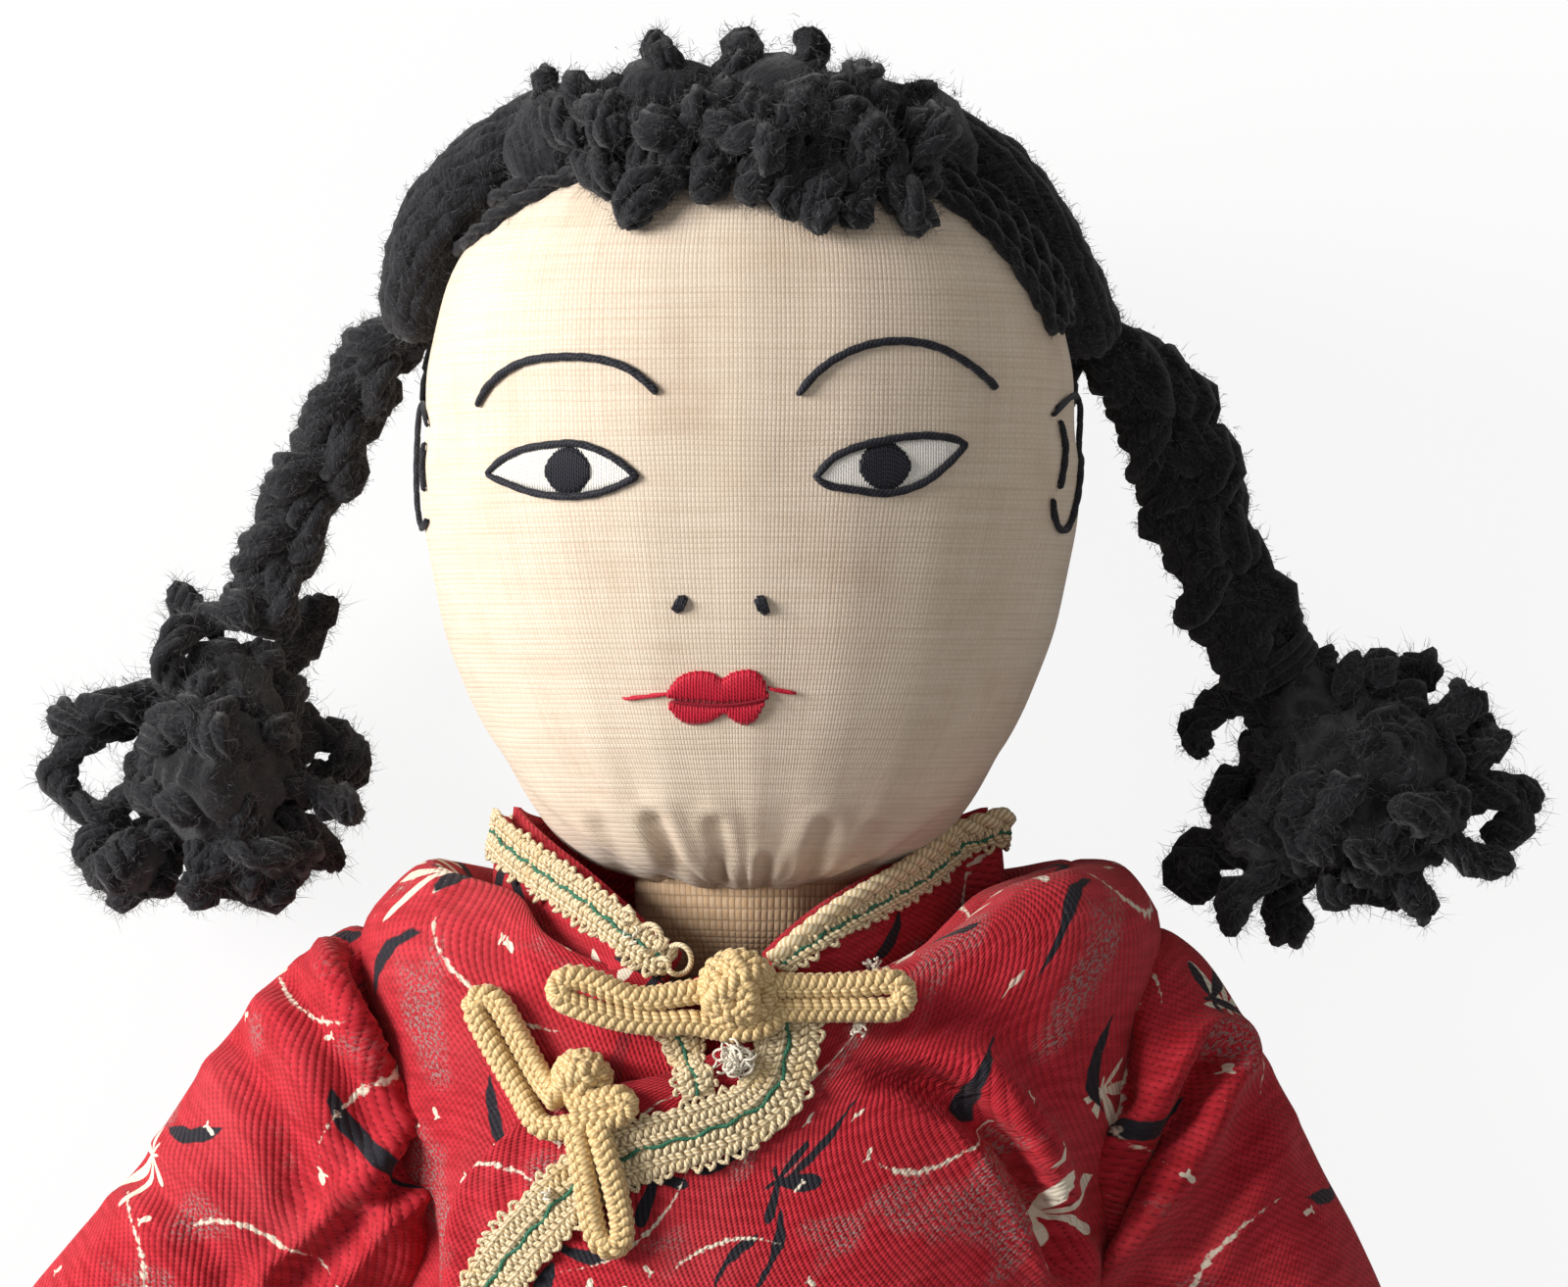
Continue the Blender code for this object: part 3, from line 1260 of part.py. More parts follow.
def build_frogs():
    """Two knotted fastenings: a loop, a knot that it goes round, and a bar."""
    collar_knot = Vector((COLLAR_KNOT_X, COLLAR_KNOT_Y))
    chest_knot = Vector((CHEST_KNOT_X, CHEST_KNOT_Y))
    straight = (Vector(COLLAR_LOOP_END) + collar_knot) / 2
    collar_route = (COLLAR_LOOP_END, straight, COLLAR_BAR_END)
    chest_route = (CHEST_LOOP_END, CHEST_LOOP_CORNER, CHEST_BAR_END)
    build_frog("collar", collar_knot, COLLAR_KNOT_RADIUS, collar_route, True)
    build_frog("chest", chest_knot, CHEST_KNOT_RADIUS, chest_route, False)


def build_frog(name, knot, radius, route, over_braid):
    loop_end, corner, bar_end = (Vector(place) for place in route)
    ring = radius + FROG_CORD / 2 + GAP
    toward = (corner - knot).normalized()
    places = loop_places(eased_route(loop_end, corner, knot + toward * ring), knot, ring)
    cord(name + "_frog_loop", laid(places, over_braid), FROG_CORD, GOLD_CORD, True)
    toward = (bar_end - knot).normalized()
    start = knot + toward * (ring + FROG_CORD + GAP)
    left, right = doubled(eased_route(bar_end, (bar_end + start) / 2, start))
    bar = right[::-1] + round_end(left[0], right[0]) + left
    cord(name + "_frog_bar", laid(bar, over_braid), FROG_CORD, GOLD_CORD)
    lift = FROG_LIFT if over_braid else frog_lift(*knot)
    lift = max(lift + radius / 2, UNDER_TOP + 2 * GAP + radius)
    place = (*knot, chest_z(*knot, 0) + lift)
    ball(name + "_knot", radius, place, GOLD_CORD, None, *KNOT_ROWS, KNOT_LOBES_SHARE)


def build():
    clear_scene()
    build_torso()
    build_jacket()
    build_trouser_seat()
    build_collar()
    build_trims()
    build_frogs()
    neck = build_neck()
    head = build_head(neck)
    build_face(head)
    build_hair(head)
    build_fringe(head)
    for side in ("right", "left"):
        build_braid(side, head[0])
        build_arm(side)
        build_leg(side)


build()
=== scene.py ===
# %% [markdown]
# # A stuffed rag doll, dressed piece by piece
# The imported model gives every solid in metres, lying on its back with the face up.
# We load it as a fixed frame and keep its box.
# The noise that roughens the wool is seeded from the clock unless we give it a seed of our own.

import math
import random

import bpy
import numpy as np
from mathutils import Matrix, Vector, noise
from mathutils.bvhtree import BVHTree


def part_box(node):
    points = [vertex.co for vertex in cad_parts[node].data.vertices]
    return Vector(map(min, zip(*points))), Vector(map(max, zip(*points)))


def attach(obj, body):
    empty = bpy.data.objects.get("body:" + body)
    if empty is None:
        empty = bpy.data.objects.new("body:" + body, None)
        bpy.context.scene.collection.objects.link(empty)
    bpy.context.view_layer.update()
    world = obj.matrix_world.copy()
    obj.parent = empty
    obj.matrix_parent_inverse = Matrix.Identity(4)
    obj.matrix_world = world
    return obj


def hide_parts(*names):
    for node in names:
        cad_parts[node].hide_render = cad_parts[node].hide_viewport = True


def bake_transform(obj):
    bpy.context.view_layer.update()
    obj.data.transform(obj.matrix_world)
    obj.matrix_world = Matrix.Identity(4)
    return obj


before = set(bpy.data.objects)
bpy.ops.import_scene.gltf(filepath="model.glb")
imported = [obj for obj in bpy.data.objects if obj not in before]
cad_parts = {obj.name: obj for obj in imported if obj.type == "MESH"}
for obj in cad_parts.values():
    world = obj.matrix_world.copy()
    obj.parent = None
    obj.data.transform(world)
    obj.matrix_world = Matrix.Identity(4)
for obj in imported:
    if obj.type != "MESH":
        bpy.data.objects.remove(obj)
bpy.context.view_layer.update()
NOISE_SEED = 7
noise.seed_set(NOISE_SEED)

# %% [markdown]
# ## The camera, and how a pixel finds its place on the doll
# The photograph looks straight down at the face. The weave gives the scale: 0.092 mm a pixel at
# the height of the face. A long lens from 70 cm gives the same framing, and a ray through a pixel
# then says where a stitch or a cord lies on the cloth below it.

# %% Camera
PIXEL = 0.000092
PHOTO_WIDTH, PHOTO_HEIGHT = 1600, 1313
CAMERA_X, CAMERA_Y = 0.0032, 0.0684
FACE_Z = 0.027
CAMERA_DISTANCE = 0.70
camera_data = bpy.data.cameras.new("camera")
camera_data.sensor_width = 36
camera_data.lens = 36 * CAMERA_DISTANCE / (PHOTO_WIDTH * PIXEL)
camera = bpy.data.objects.new("camera", camera_data)
bpy.context.collection.objects.link(camera)
camera.location = (CAMERA_X, CAMERA_Y, FACE_Z + CAMERA_DISTANCE)
bpy.context.scene.camera = camera
bpy.context.scene.view_settings.view_transform = "Standard"
print("lens", round(camera_data.lens, 1), "mm")

# %% From pixels to places, and back
def sight(px, py):
    """Where the camera is, and the direction in which it sees a pixel."""
    across, up = (px - PHOTO_WIDTH / 2) * PIXEL, (PHOTO_HEIGHT / 2 - py) * PIXEL
    return Vector(camera.location), Vector((across, up, -CAMERA_DISTANCE)).normalized()


def spot(px, py, ground, lift=0.0, otherwise=FACE_Z):
    """The place and the normal of the ground under a pixel."""
    start, along = sight(px, py)
    place, normal, _, _ = ground.ray_cast(start, along)
    if place is None:
        return start + along * (start.z - otherwise + lift) / -along.z, Vector((0, 0, 1))
    return place + normal * lift, normal


def pixels(points):
    """Where points of the doll show in the photograph."""
    away = (FACE_Z + CAMERA_DISTANCE - points[:, 2]) / CAMERA_DISTANCE
    across = PHOTO_WIDTH / 2 + (points[:, 0] - CAMERA_X) / (PIXEL * away)
    down = PHOTO_HEIGHT / 2 - (points[:, 1] - CAMERA_Y) / (PIXEL * away)
    return np.stack([across, down], 1)


def surface(*items):
    """A tree of the faces of some objects, to cast rays on."""
    points, faces = [], []
    for item in items:
        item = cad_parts[item] if isinstance(item, str) else item
        base = len(points)
        points += [vertex.co.copy() for vertex in item.data.vertices]
        faces += [[base + i for i in face.vertices] for face in item.data.polygons]
    return BVHTree.FromPolygons(points, faces)


print("the middle pixel looks at", tuple(spot(800, 656, surface("head_casing"))[0]))

# %% [markdown]
# ## Soft studio light on a plain pale floor
# In the photograph the light falls from the left: the left cheek is nearly white and the right
# sleeve is dark. One large soft lamp on the left does that, a weak one on the right keeps the
# shadows open, and the world adds an even level. The floor is lit as any floor is, and for the
# camera it is mixed with plain white, so it keeps the doll's shadow faintly.

# %% Lamps
def lamp(name, place, size, power, colour=(1, 1, 1)):
    data = bpy.data.lights.new(name, "AREA")
    data.energy, data.size, data.color = power, size, colour
    made = bpy.data.objects.new(name, data)
    bpy.context.collection.objects.link(made)
    made.location = place
    aim = Vector((0, 0.05, 0.02)) - Vector(place)
    made.rotation_euler = aim.to_track_quat("-Z", "Y").to_euler()


lamp("window", (-0.78, 0.26, 0.46), 0.42, 14.5, (1.0, 0.985, 0.965))
lamp("fill", (0.45, -0.1, 0.80), 0.6, 0.9, (1.0, 0.94, 0.88))
world = bpy.data.worlds.new("studio")
bpy.context.scene.world = world
world.use_nodes = True
world_tree = world.node_tree
world_light = world_tree.nodes["Background"]
world_light.inputs["Color"].default_value = (1, 1, 1, 1)
world_light.inputs["Strength"].default_value = 0.25
seen = world_tree.nodes.new("ShaderNodeLightPath")
backdrop = world_tree.nodes.new("ShaderNodeBackground")
either = world_tree.nodes.new("ShaderNodeMixShader")
world_tree.links.new(seen.outputs["Is Camera Ray"], either.inputs[0])
world_tree.links.new(world_light.outputs[0], either.inputs[1])
world_tree.links.new(backdrop.outputs[0], either.inputs[2])
backdrop.inputs["Color"].default_value = (1, 1, 1, 1)
world_tree.links.new(either.outputs[0], world_tree.nodes["World Output"].inputs["Surface"])
print("two lamps and a world")

# %% Helpers for selecting, and the floor
def deselect():
    for item in list(bpy.context.selected_objects):
        item.select_set(False)


def pick(item):
    deselect()
    item.select_set(True)
    bpy.context.view_layer.objects.active = item


def apply(item, kind, **settings):
    """Adds one modifier and applies it."""
    pick(item)
    modifier = item.modifiers.new(kind.title(), kind)
    for key, value in settings.items():
        setattr(modifier, key, value)
    bpy.ops.object.modifier_apply(modifier=modifier.name)


deselect()
bpy.ops.mesh.primitive_plane_add(size=3, location=(0, 0, 0))
floor = bpy.context.object
floor.name = "floor"
floor.data.transform(Matrix.Translation((0, 0, -0.0004)))
floor_look = bpy.data.materials.new("pale_floor")
floor_look.use_nodes = True
floor_tree = floor_look.node_tree
floor_shader = floor_tree.nodes["Principled BSDF"]
floor_shader.inputs["Base Color"].default_value = (0.86, 0.86, 0.86, 1)
floor_shader.inputs["Roughness"].default_value = 0.9
white = floor_tree.nodes.new("ShaderNodeEmission")
path = floor_tree.nodes.new("ShaderNodeLightPath")
share = floor_tree.nodes.new("ShaderNodeMath")
share.operation = "MULTIPLY"
share.inputs[1].default_value = 0.90
mix = floor_tree.nodes.new("ShaderNodeMixShader")
floor_tree.links.new(path.outputs["Is Camera Ray"], share.inputs[0])
floor_tree.links.new(share.outputs[0], mix.inputs[0])
floor_tree.links.new(floor_shader.outputs[0], mix.inputs[1])
floor_tree.links.new(white.outputs[0], mix.inputs[2])
floor_tree.links.new(mix.outputs[0], floor_tree.nodes["Material Output"].inputs["Surface"])
floor.data.materials.append(floor_look)
print("floor laid")

# %% [markdown]
# ## Finishes
# Each finish is a small net of nodes. Cloth reads the piece's own UV map, which is in metres, so
# a thread has its real pitch wherever the cloth turns. A few helpers keep the nets short.

# %% Helpers for node nets
def node(tree, kind, *inputs, out=0, **settings):
    """A node with its settings; inputs are values or sockets, in order."""
    made = tree.nodes.new(kind)
    for key, value in settings.items():
        setattr(made, key, value)
    for i, value in enumerate(inputs):
        if isinstance(value, bpy.types.NodeSocket):
            tree.links.new(value, made.inputs[i])
        elif value is not None:
            made.inputs[i].default_value = value
    return made.outputs[out]


def calc(tree, work, *inputs):
    return node(tree, "ShaderNodeMath", *inputs, operation=work)


def times(tree, *inputs):
    return calc(tree, "MULTIPLY", *inputs)


def plus(tree, *inputs):
    return calc(tree, "ADD", *inputs)


def axes(tree, value):
    """The shares of a place along X, Y and Z."""
    split = tree.nodes.new("ShaderNodeSeparateXYZ")
    tree.links.new(value, split.inputs[0])
    return split.outputs


def grain(tree, place, scale, detail=3.0, roughness=0.5):
    """Cloudy values from 0 to 1 at a scale in waves a metre."""
    return node(tree, "ShaderNodeTexNoise", place, None, scale, detail, roughness, out=0)


def stretched(tree, place, by):
    return node(tree, "ShaderNodeVectorMath", place, by, operation="MULTIPLY")


def ramp(tree, value, low, high):
    """0 below low, 1 above high, smooth between."""
    return node(tree, "ShaderNodeMapRange", value, low, high, 0.0, 1.0,
        interpolation_type="SMOOTHSTEP")


def mixed(tree, share, first, second):
    made = tree.nodes.new("ShaderNodeMix")
    made.data_type = "RGBA"
    for i, value in ((0, share), (6, first), (7, second)):
        if isinstance(value, bpy.types.NodeSocket):
            tree.links.new(value, made.inputs[i])
        else:
            made.inputs[i].default_value = value if i == 0 else (*value, 1)
    return made.outputs[2]


def bumped(tree, height, distance, strength):
    made = tree.nodes.new("ShaderNodeBump")
    made.inputs["Strength"].default_value = strength
    made.inputs["Distance"].default_value = distance
    tree.links.new(height, made.inputs["Height"])
    return made.outputs[0]


def started(name, roughness, sheen=0.0, tint=(1, 1, 1)):
    """A new material, its tree and its shader."""
    made = bpy.data.materials.new(name)
    made.use_nodes = True
    shader = made.node_tree.nodes["Principled BSDF"]
    shader.inputs["Roughness"].default_value = roughness
    shader.inputs["Specular IOR Level"].default_value = 0.2
    shader.inputs["Sheen Weight"].default_value = sheen
    shader.inputs["Sheen Roughness"].default_value = 0.4
    shader.inputs["Sheen Tint"].default_value = (*tint, 1)
    return made, made.node_tree, shader


def wire(tree, shader, colour, normal=None):
    tree.links.new(colour, shader.inputs["Base Color"])
    if normal is not None:
        tree.links.new(normal, shader.inputs["Normal"])


print("helpers for nodes ready")

# %% [markdown]
# ### Plain weave
# The face is fine plain cotton: two sets of threads that cross over and under, about 22 to a
# centimetre. The product of two sine waves gives one bump at each crossing, and its sign says
# which thread is on top there. Slubs, a few brown specks and faint stains make it old.

# %% Plain weave for the head, and a coarser canvas for the neck
# gap sets how strongly painted shade darkens the gaps between the threads.
def plain_weave(name, pale, dark, pitch, depth, gap, stain):
    made, tree, shader = started(name, 0.9, 0.15)
    place = node(tree, "ShaderNodeTexCoord", out=2)
    wave = node(tree, "ShaderNodeVectorMath", grain(tree, place, 90, 1), (pitch * 0.9,) * 3,
        operation="MULTIPLY")
    drawn = node(tree, "ShaderNodeVectorMath", place, wave, operation="ADD")
    threads = stretched(tree, drawn, (math.pi / pitch, math.pi / pitch, 0))
    split = axes(tree, threads)
    crossing = times(tree, calc(tree, "SINE", split[0]), calc(tree, "SINE", split[1]))
    height = calc(tree, "POWER", calc(tree, "ABSOLUTE", crossing), 0.5)
    rows = grain(tree, stretched(tree, place, (60, 1 / pitch, 1)), 1.0, 2, 0.6)
    ribs = grain(tree, stretched(tree, place, (1 / pitch, 60, 1)), 1.0, 2, 0.6)
    slubs = plus(tree, times(tree, rows, 0.6), times(tree, ribs, 0.4))
    body = mixed(tree, ramp(tree, slubs, 0.22, 0.74), dark, pale)
    over = ramp(tree, crossing, -0.2, 0.2)
    body = mixed(tree, times(tree, over, 0.06), body, (1, 0.97, 0.9))
    # Painted shade: the colour darkens where the weave sinks between its threads.
    gap_shade = calc(tree, "SUBTRACT", 1.0, ramp(tree, height, 0.05, 0.62))
    body = mixed(tree, times(tree, gap_shade, gap), body, tuple(c * 0.42 for c in dark))
    clouds = ramp(tree, grain(tree, place, 75, 5, 0.6), 0.45, 0.75)
    body = mixed(tree, times(tree, clouds, stain), body, (0.46, 0.30, 0.19))
    specks = ramp(tree, grain(tree, place, 620, 1, 0.4), 0.80, 0.86)
    body = mixed(tree, times(tree, specks, 0.35), body, (0.25, 0.13, 0.07))
    lumps = plus(tree, height, times(tree, slubs, 0.8))
    wire(tree, shader, body, bumped(tree, lumps, depth, 0.8))
    return made


# The next to last number of each weave is the strength of its painted gap shade.
FACE_CLOTH = plain_weave("face_cotton", (0.76, 0.640, 0.515), (0.63, 0.500, 0.375), 0.00046,
    0.00006, 0.20, 0.30)
LIMB_CLOTH = plain_weave("limb_cotton", (0.76, 0.65, 0.52), (0.62, 0.49, 0.36), 0.00046, 0.00009,
    0.5, 0.12)
CANVAS = plain_weave("neck_canvas", (0.60, 0.42, 0.26), (0.43, 0.28, 0.16), 0.00054, 0.00012, 0.55,
    0.20)
print("weaves:", FACE_CLOTH.name, LIMB_CLOTH.name, CANVAS.name)

# %% [markdown]
# ### Red cotton twill, printed
# Twill shows fine diagonal lines. The print is a generic one in the colours and at the scale of
# the real cloth: brushy cream sprays, black brush strokes, grey speckle and thin cream lines.
# Each motif is drawn round the points of a Voronoi scatter, each turned by its own angle.

# %% Twill and print
def turned_cells(tree, place, pitch, offset):
    """Places within scattered cells, each turned its own way, and each cell's own colour."""
    moved = node(tree, "ShaderNodeVectorMath", stretched(tree, place, (1 / pitch,) * 3), offset,
        operation="ADD")
    cells = tree.nodes.new("ShaderNodeTexVoronoi")
    cells.voronoi_dimensions = "2D"
    cells.inputs["Scale"].default_value = 1.0
    cells.inputs["Randomness"].default_value = 1.0
    tree.links.new(moved, cells.inputs["Vector"])
    local = node(tree, "ShaderNodeVectorMath", moved, cells.outputs["Position"],
        operation="SUBTRACT")
    parts = tree.nodes.new("ShaderNodeSeparateColor")
    tree.links.new(cells.outputs["Color"], parts.inputs[0])
    angle = times(tree, parts.outputs[0], 2 * math.pi)
    turned = tree.nodes.new("ShaderNodeVectorRotate")
    turned.rotation_type = "Z_AXIS"
    tree.links.new(local, turned.inputs["Vector"])
    tree.links.new(angle, turned.inputs["Angle"])
    split = axes(tree, turned.outputs[0])
    return split[0], split[1], parts.outputs[1]


def spray(tree, x, y, petals, reach, rough):
    """A brushy spray: petals of uneven length round a point."""
    radius = calc(tree, "SQRT", plus(tree, times(tree, x, x), times(tree, y, y)))
    turn = calc(tree, "ARCTAN2", y, x)
    petal = calc(tree, "ABSOLUTE", calc(tree, "COSINE", times(tree, turn, petals / 2)))
    lean = calc(tree, "MULTIPLY_ADD", calc(tree, "COSINE", turn), 0.42, 0.58)
    length = times(tree, calc(tree, "MULTIPLY_ADD", calc(tree, "POWER", petal, 3.0), reach, 0.045),
        lean)
    edge = plus(tree, calc(tree, "SUBTRACT", length, radius),
        calc(tree, "MULTIPLY_ADD", rough, 0.16, -0.08))
    return ramp(tree, edge, -0.008, 0.012)


def stroke(tree, x, y, half, wide, bend, rough):
    """A brush stroke that is thick in its middle and bends a little."""
    curved = calc(tree, "MULTIPLY_ADD", times(tree, x, x), bend, y)
    taper = calc(tree, "SUBTRACT", 1.0, calc(tree, "POWER",
        calc(tree, "ABSOLUTE", calc(tree, "DIVIDE", x, half)), 2.0))
    width = times(tree, taper, wide)
    edge = calc(tree, "SUBTRACT", width, calc(tree, "ABSOLUTE", curved))
    return ramp(tree, plus(tree, edge, calc(tree, "MULTIPLY_ADD", rough, 0.10, -0.05)), -0.006,
        0.010)


def twill(name, printed):
    made, tree, shader = started(name, 0.85, 0.12, (1, 0.6, 0.55))
    place = node(tree, "ShaderNodeTexCoord", out=2)
    wave = grain(tree, place, 140, 2)
    split = axes(tree, place)
    pitch = 0.00070
    slant = plus(tree, split[0], times(tree, split[1], 0.75))
    phase = plus(tree, times(tree, slant, math.pi / pitch), times(tree, wave, 1.4))
    line = calc(tree, "ABSOLUTE", calc(tree, "SINE", phase))
    cross = calc(tree, "ABSOLUTE", calc(tree, "SINE",
        times(tree, calc(tree, "SUBTRACT", split[1], split[0]), math.pi / 0.0006)))
    slub = grain(tree, stretched(tree, place, (300, 1400, 1)), 1.0, 2)
    height = plus(tree, line, plus(tree, times(tree, cross, 0.35), times(tree, slub, 0.5)))
    colour = mixed(tree, ramp(tree, slub, 0.3, 0.7), (0.36, 0.010, 0.018), (0.50, 0.022, 0.036))
    # Painted shade: the hollows between the twill lines are darkened.
    hollow_shade = times(tree, ramp(tree, line, 0.60, 0.10), ramp(tree, cross, 0.95, 0.35))
    colour = mixed(tree, times(tree, hollow_shade, 0.85), colour, (0.17, 0.005, 0.010))
    faded = ramp(tree, grain(tree, place, 55, 4, 0.6), 0.42, 0.72)
    colour = mixed(tree, times(tree, faded, 0.16), colour, (0.62, 0.12, 0.13))
    if printed:
        rough = grain(tree, place, 1500, 3, 0.6)
        soft = grain(tree, place, 420, 2, 0.5)
        cream, black, grey = (0.74, 0.66, 0.53), (0.018, 0.018, 0.024), (0.26, 0.20, 0.19)
        x, y, kind = turned_cells(tree, place, 0.0165, (3.1, 1.7, 0))
        dots = ramp(tree, grain(tree, place, 3300, 2, 0.7), 0.50, 0.56)
        cloud = times(tree, ramp(tree, grain(tree, place, 95, 2), 0.56, 0.66), dots)
        colour = mixed(tree, times(tree, cloud, 0.85), colour, grey)
        leaf = times(tree, spray(tree, x, y, 7, 0.36, soft), ramp(tree, kind, 0.45, 0.46))
        colour = mixed(tree, leaf, colour, cream)
        x2, y2, kind2 = turned_cells(tree, place, 0.0120, (7.3, 5.2, 0))
        brush = times(tree, stroke(tree, x2, y2, 0.34, 0.060, 0.9, soft),
            ramp(tree, kind2, 0.52, 0.53))
        colour = mixed(tree, brush, colour, black)
        x3, y3, kind3 = turned_cells(tree, place, 0.0190, (1.3, 8.4, 0))
        dark_spray = times(tree, spray(tree, x3, y3, 5, 0.26, soft), ramp(tree, kind3, 0.62, 0.63))
        colour = mixed(tree, dark_spray, colour, black)
        x4, y4, kind4 = turned_cells(tree, place, 0.0140, (4.4, 2.6, 0))
        hair_line = times(tree, stroke(tree, x4, y4, 0.48, 0.016, -0.8, rough),
            ramp(tree, kind4, 0.40, 0.41))
        colour = mixed(tree, times(tree, hair_line, 0.9), colour, cream)
        x5, y5, kind5 = turned_cells(tree, place, 0.0052, (9.4, 3.6, 0))
        fleck = times(tree, spray(tree, x5, y5, 3, 0.16, rough), ramp(tree, kind5, 0.80, 0.81))
        colour = mixed(tree, times(tree, fleck, 0.9), colour, cream)
    worn = ramp(tree, grain(tree, place, 5200, 2, 0.7), 0.66, 0.74)
    colour = mixed(tree, times(tree, worn, 0.35), colour, (0.72, 0.45, 0.40))
    wire(tree, shader, colour, bumped(tree, height, 0.00012, 0.9))
    return made


PRINTED_TWILL = twill("printed_red_twill", True)
PLAIN_TWILL = twill("plain_red_twill", False)
print("twills:", PRINTED_TWILL.name, PLAIN_TWILL.name)

# %% [markdown]
# ### Threads, cords and wool
# Embroidery cotton, braid and wool have fine fibres along them. Their UV map runs round the
# thread once and along it in metres, so the ply lines wind about each thread.

# %% Thread and wool finishes
PLY_PITCH, PLY_DEPTH = 0.0012, 0.00005


def thread(name, pale, dark, roughness, sheen, spots=0.0, spot_colour=(0, 0, 0)):
    """Twisted thread: plies wind about it, over fine fuzz, and spots make some of it browner; dark
    is painted shade in the ply grooves.
    """
    made, tree, shader = started(name, roughness, sheen)
    place = node(tree, "ShaderNodeTexCoord", out=2)
    here = node(tree, "ShaderNodeTexCoord", out=3)
    split = axes(tree, place)
    wound = plus(tree, times(tree, split[0], 2 * math.pi),
        times(tree, split[1], 2 * math.pi / PLY_PITCH))
    fibre = calc(tree, "MULTIPLY_ADD", calc(tree, "SINE", times(tree, wound, 3)), 0.5, 0.5)
    fuzz = grain(tree, here, 5200, 3, 0.7)
    tone = plus(tree, times(tree, fibre, 0.45), times(tree, fuzz, 0.55))
    # Painted shade: the colour darkens in the grooves between the plies, mixed with random fuzz
    # tone.
    colour = mixed(tree, ramp(tree, tone, 0.25, 0.75), dark, pale)
    if spots:
        patch = ramp(tree, grain(tree, here, 260, 4, 0.6), 0.5, 0.75)
        colour = mixed(tree, times(tree, patch, spots), colour, spot_colour)
    wire(tree, shader, colour, bumped(tree, tone, PLY_DEPTH, 0.6))
    return made


def wool(name, pale, dark, sheen):
    """Soft wool: fine fibres that wind along the yarn, and no clear plies; dark is painted shade
    where the fibres sink.
    """
    made, tree, shader = started(name, 1.0, sheen)
    place = node(tree, "ShaderNodeTexCoord", out=2)
    here = node(tree, "ShaderNodeTexCoord", out=3)
    split = axes(tree, place)
    angle = times(tree, calc(tree, "MULTIPLY_ADD", split[1], 160.0, split[0]), 2 * math.pi)
    joined = tree.nodes.new("ShaderNodeCombineXYZ")
    for i, value in enumerate((calc(tree, "COSINE", angle), calc(tree, "SINE", angle),
            times(tree, split[1], 260.0))):
        tree.links.new(value, joined.inputs[i])
    fibre = grain(tree, joined.outputs[0], 3.2, 4, 0.7)
    fluff = grain(tree, here, 2600, 4, 0.75)
    tone = plus(tree, times(tree, fibre, 0.6), times(tree, fluff, 0.4))
    # Painted shade: the colour darkens where the fibre relief sinks, mixed with random fluff tone.
    colour = mixed(tree, ramp(tree, tone, 0.36, 0.66), dark, pale)
    wire(tree, shader, colour, bumped(tree, tone, 0.0003, 0.9))
    return made


# The dark colour of each thread is painted shade for its ply grooves.
BLACK_THREAD = thread("black_embroidery", (0.030, 0.031, 0.040), (0.006, 0.006, 0.010), 0.65, 0.1)
RED_THREAD = thread("red_embroidery", (0.60, 0.020, 0.050), (0.36, 0.008, 0.022), 0.55, 0.15)
# A dark red thread stands for the painted shade where the lips meet.
LIP_SHADE_THREAD = thread("lip_shade_thread", (0.30, 0.010, 0.025), (0.16, 0.004, 0.012), 0.6,
    0.1)
TRIM_THREAD = thread("cream_trim", (0.79, 0.69, 0.50), (0.46, 0.33, 0.16), 0.75, 0.2, spots=0.55,
    spot_colour=(0.55, 0.38, 0.15))
GREEN_THREAD = thread("green_trim", (0.05, 0.20, 0.12), (0.015, 0.08, 0.045), 0.7, 0.1)
GOLD_CORD = thread("gold_frog_cord", (0.78, 0.60, 0.33), (0.52, 0.34, 0.14), 0.5, 0.25, spots=0.4,
    spot_colour=(0.66, 0.44, 0.17))
WHITE_THREAD = thread("white_sewing_thread", (0.85, 0.80, 0.70), (0.62, 0.55, 0.44), 0.7, 0.1)
WOOL = wool("black_wool_yarn", (0.034, 0.034, 0.039), (0.003, 0.003, 0.004), 0.20)
# The fuzz is the same black wool, painted several times lighter as a painted sheen on its fine
# fibres.
WOOL_FIBRE_SHEEN = wool("black_wool_fibre_sheen", (0.125, 0.122, 0.128), (0.030, 0.029, 0.032), 0.3)
# These weaves also darken their thread gaps with painted shade (the next to last number).
DARK_COTTON = plain_weave("dark_trouser_cotton", (0.030, 0.034, 0.055), (0.012, 0.014, 0.026),
    0.0006, 0.00012, 0.5, 0.04)
SHOE_CLOTH = plain_weave("black_shoe_cloth", (0.022, 0.021, 0.022), (0.008, 0.008, 0.009), 0.0005,
    0.0001, 0.5, 0.02)
SOLE_CLOTH = plain_weave("quilted_sole_cloth", (0.66, 0.60, 0.49), (0.48, 0.41, 0.31), 0.0006,
    0.00012, 0.5, 0.25)
print("threads and wool ready")

# %% [markdown]
# ## Making cloth forms
# A cloth tube starts as a grid, is laid onto its solid by rays from all round, and is then
# relaxed and subdivided, so that the solid's facets vanish as they would under stuffing. The UV
# map keeps metres. Small swells come from waves of noise, and the folds that the photograph shows
# are pressed in along the line that they follow there. A cloth simulation would fold the cloth
# where it liked, so code moves the points instead.

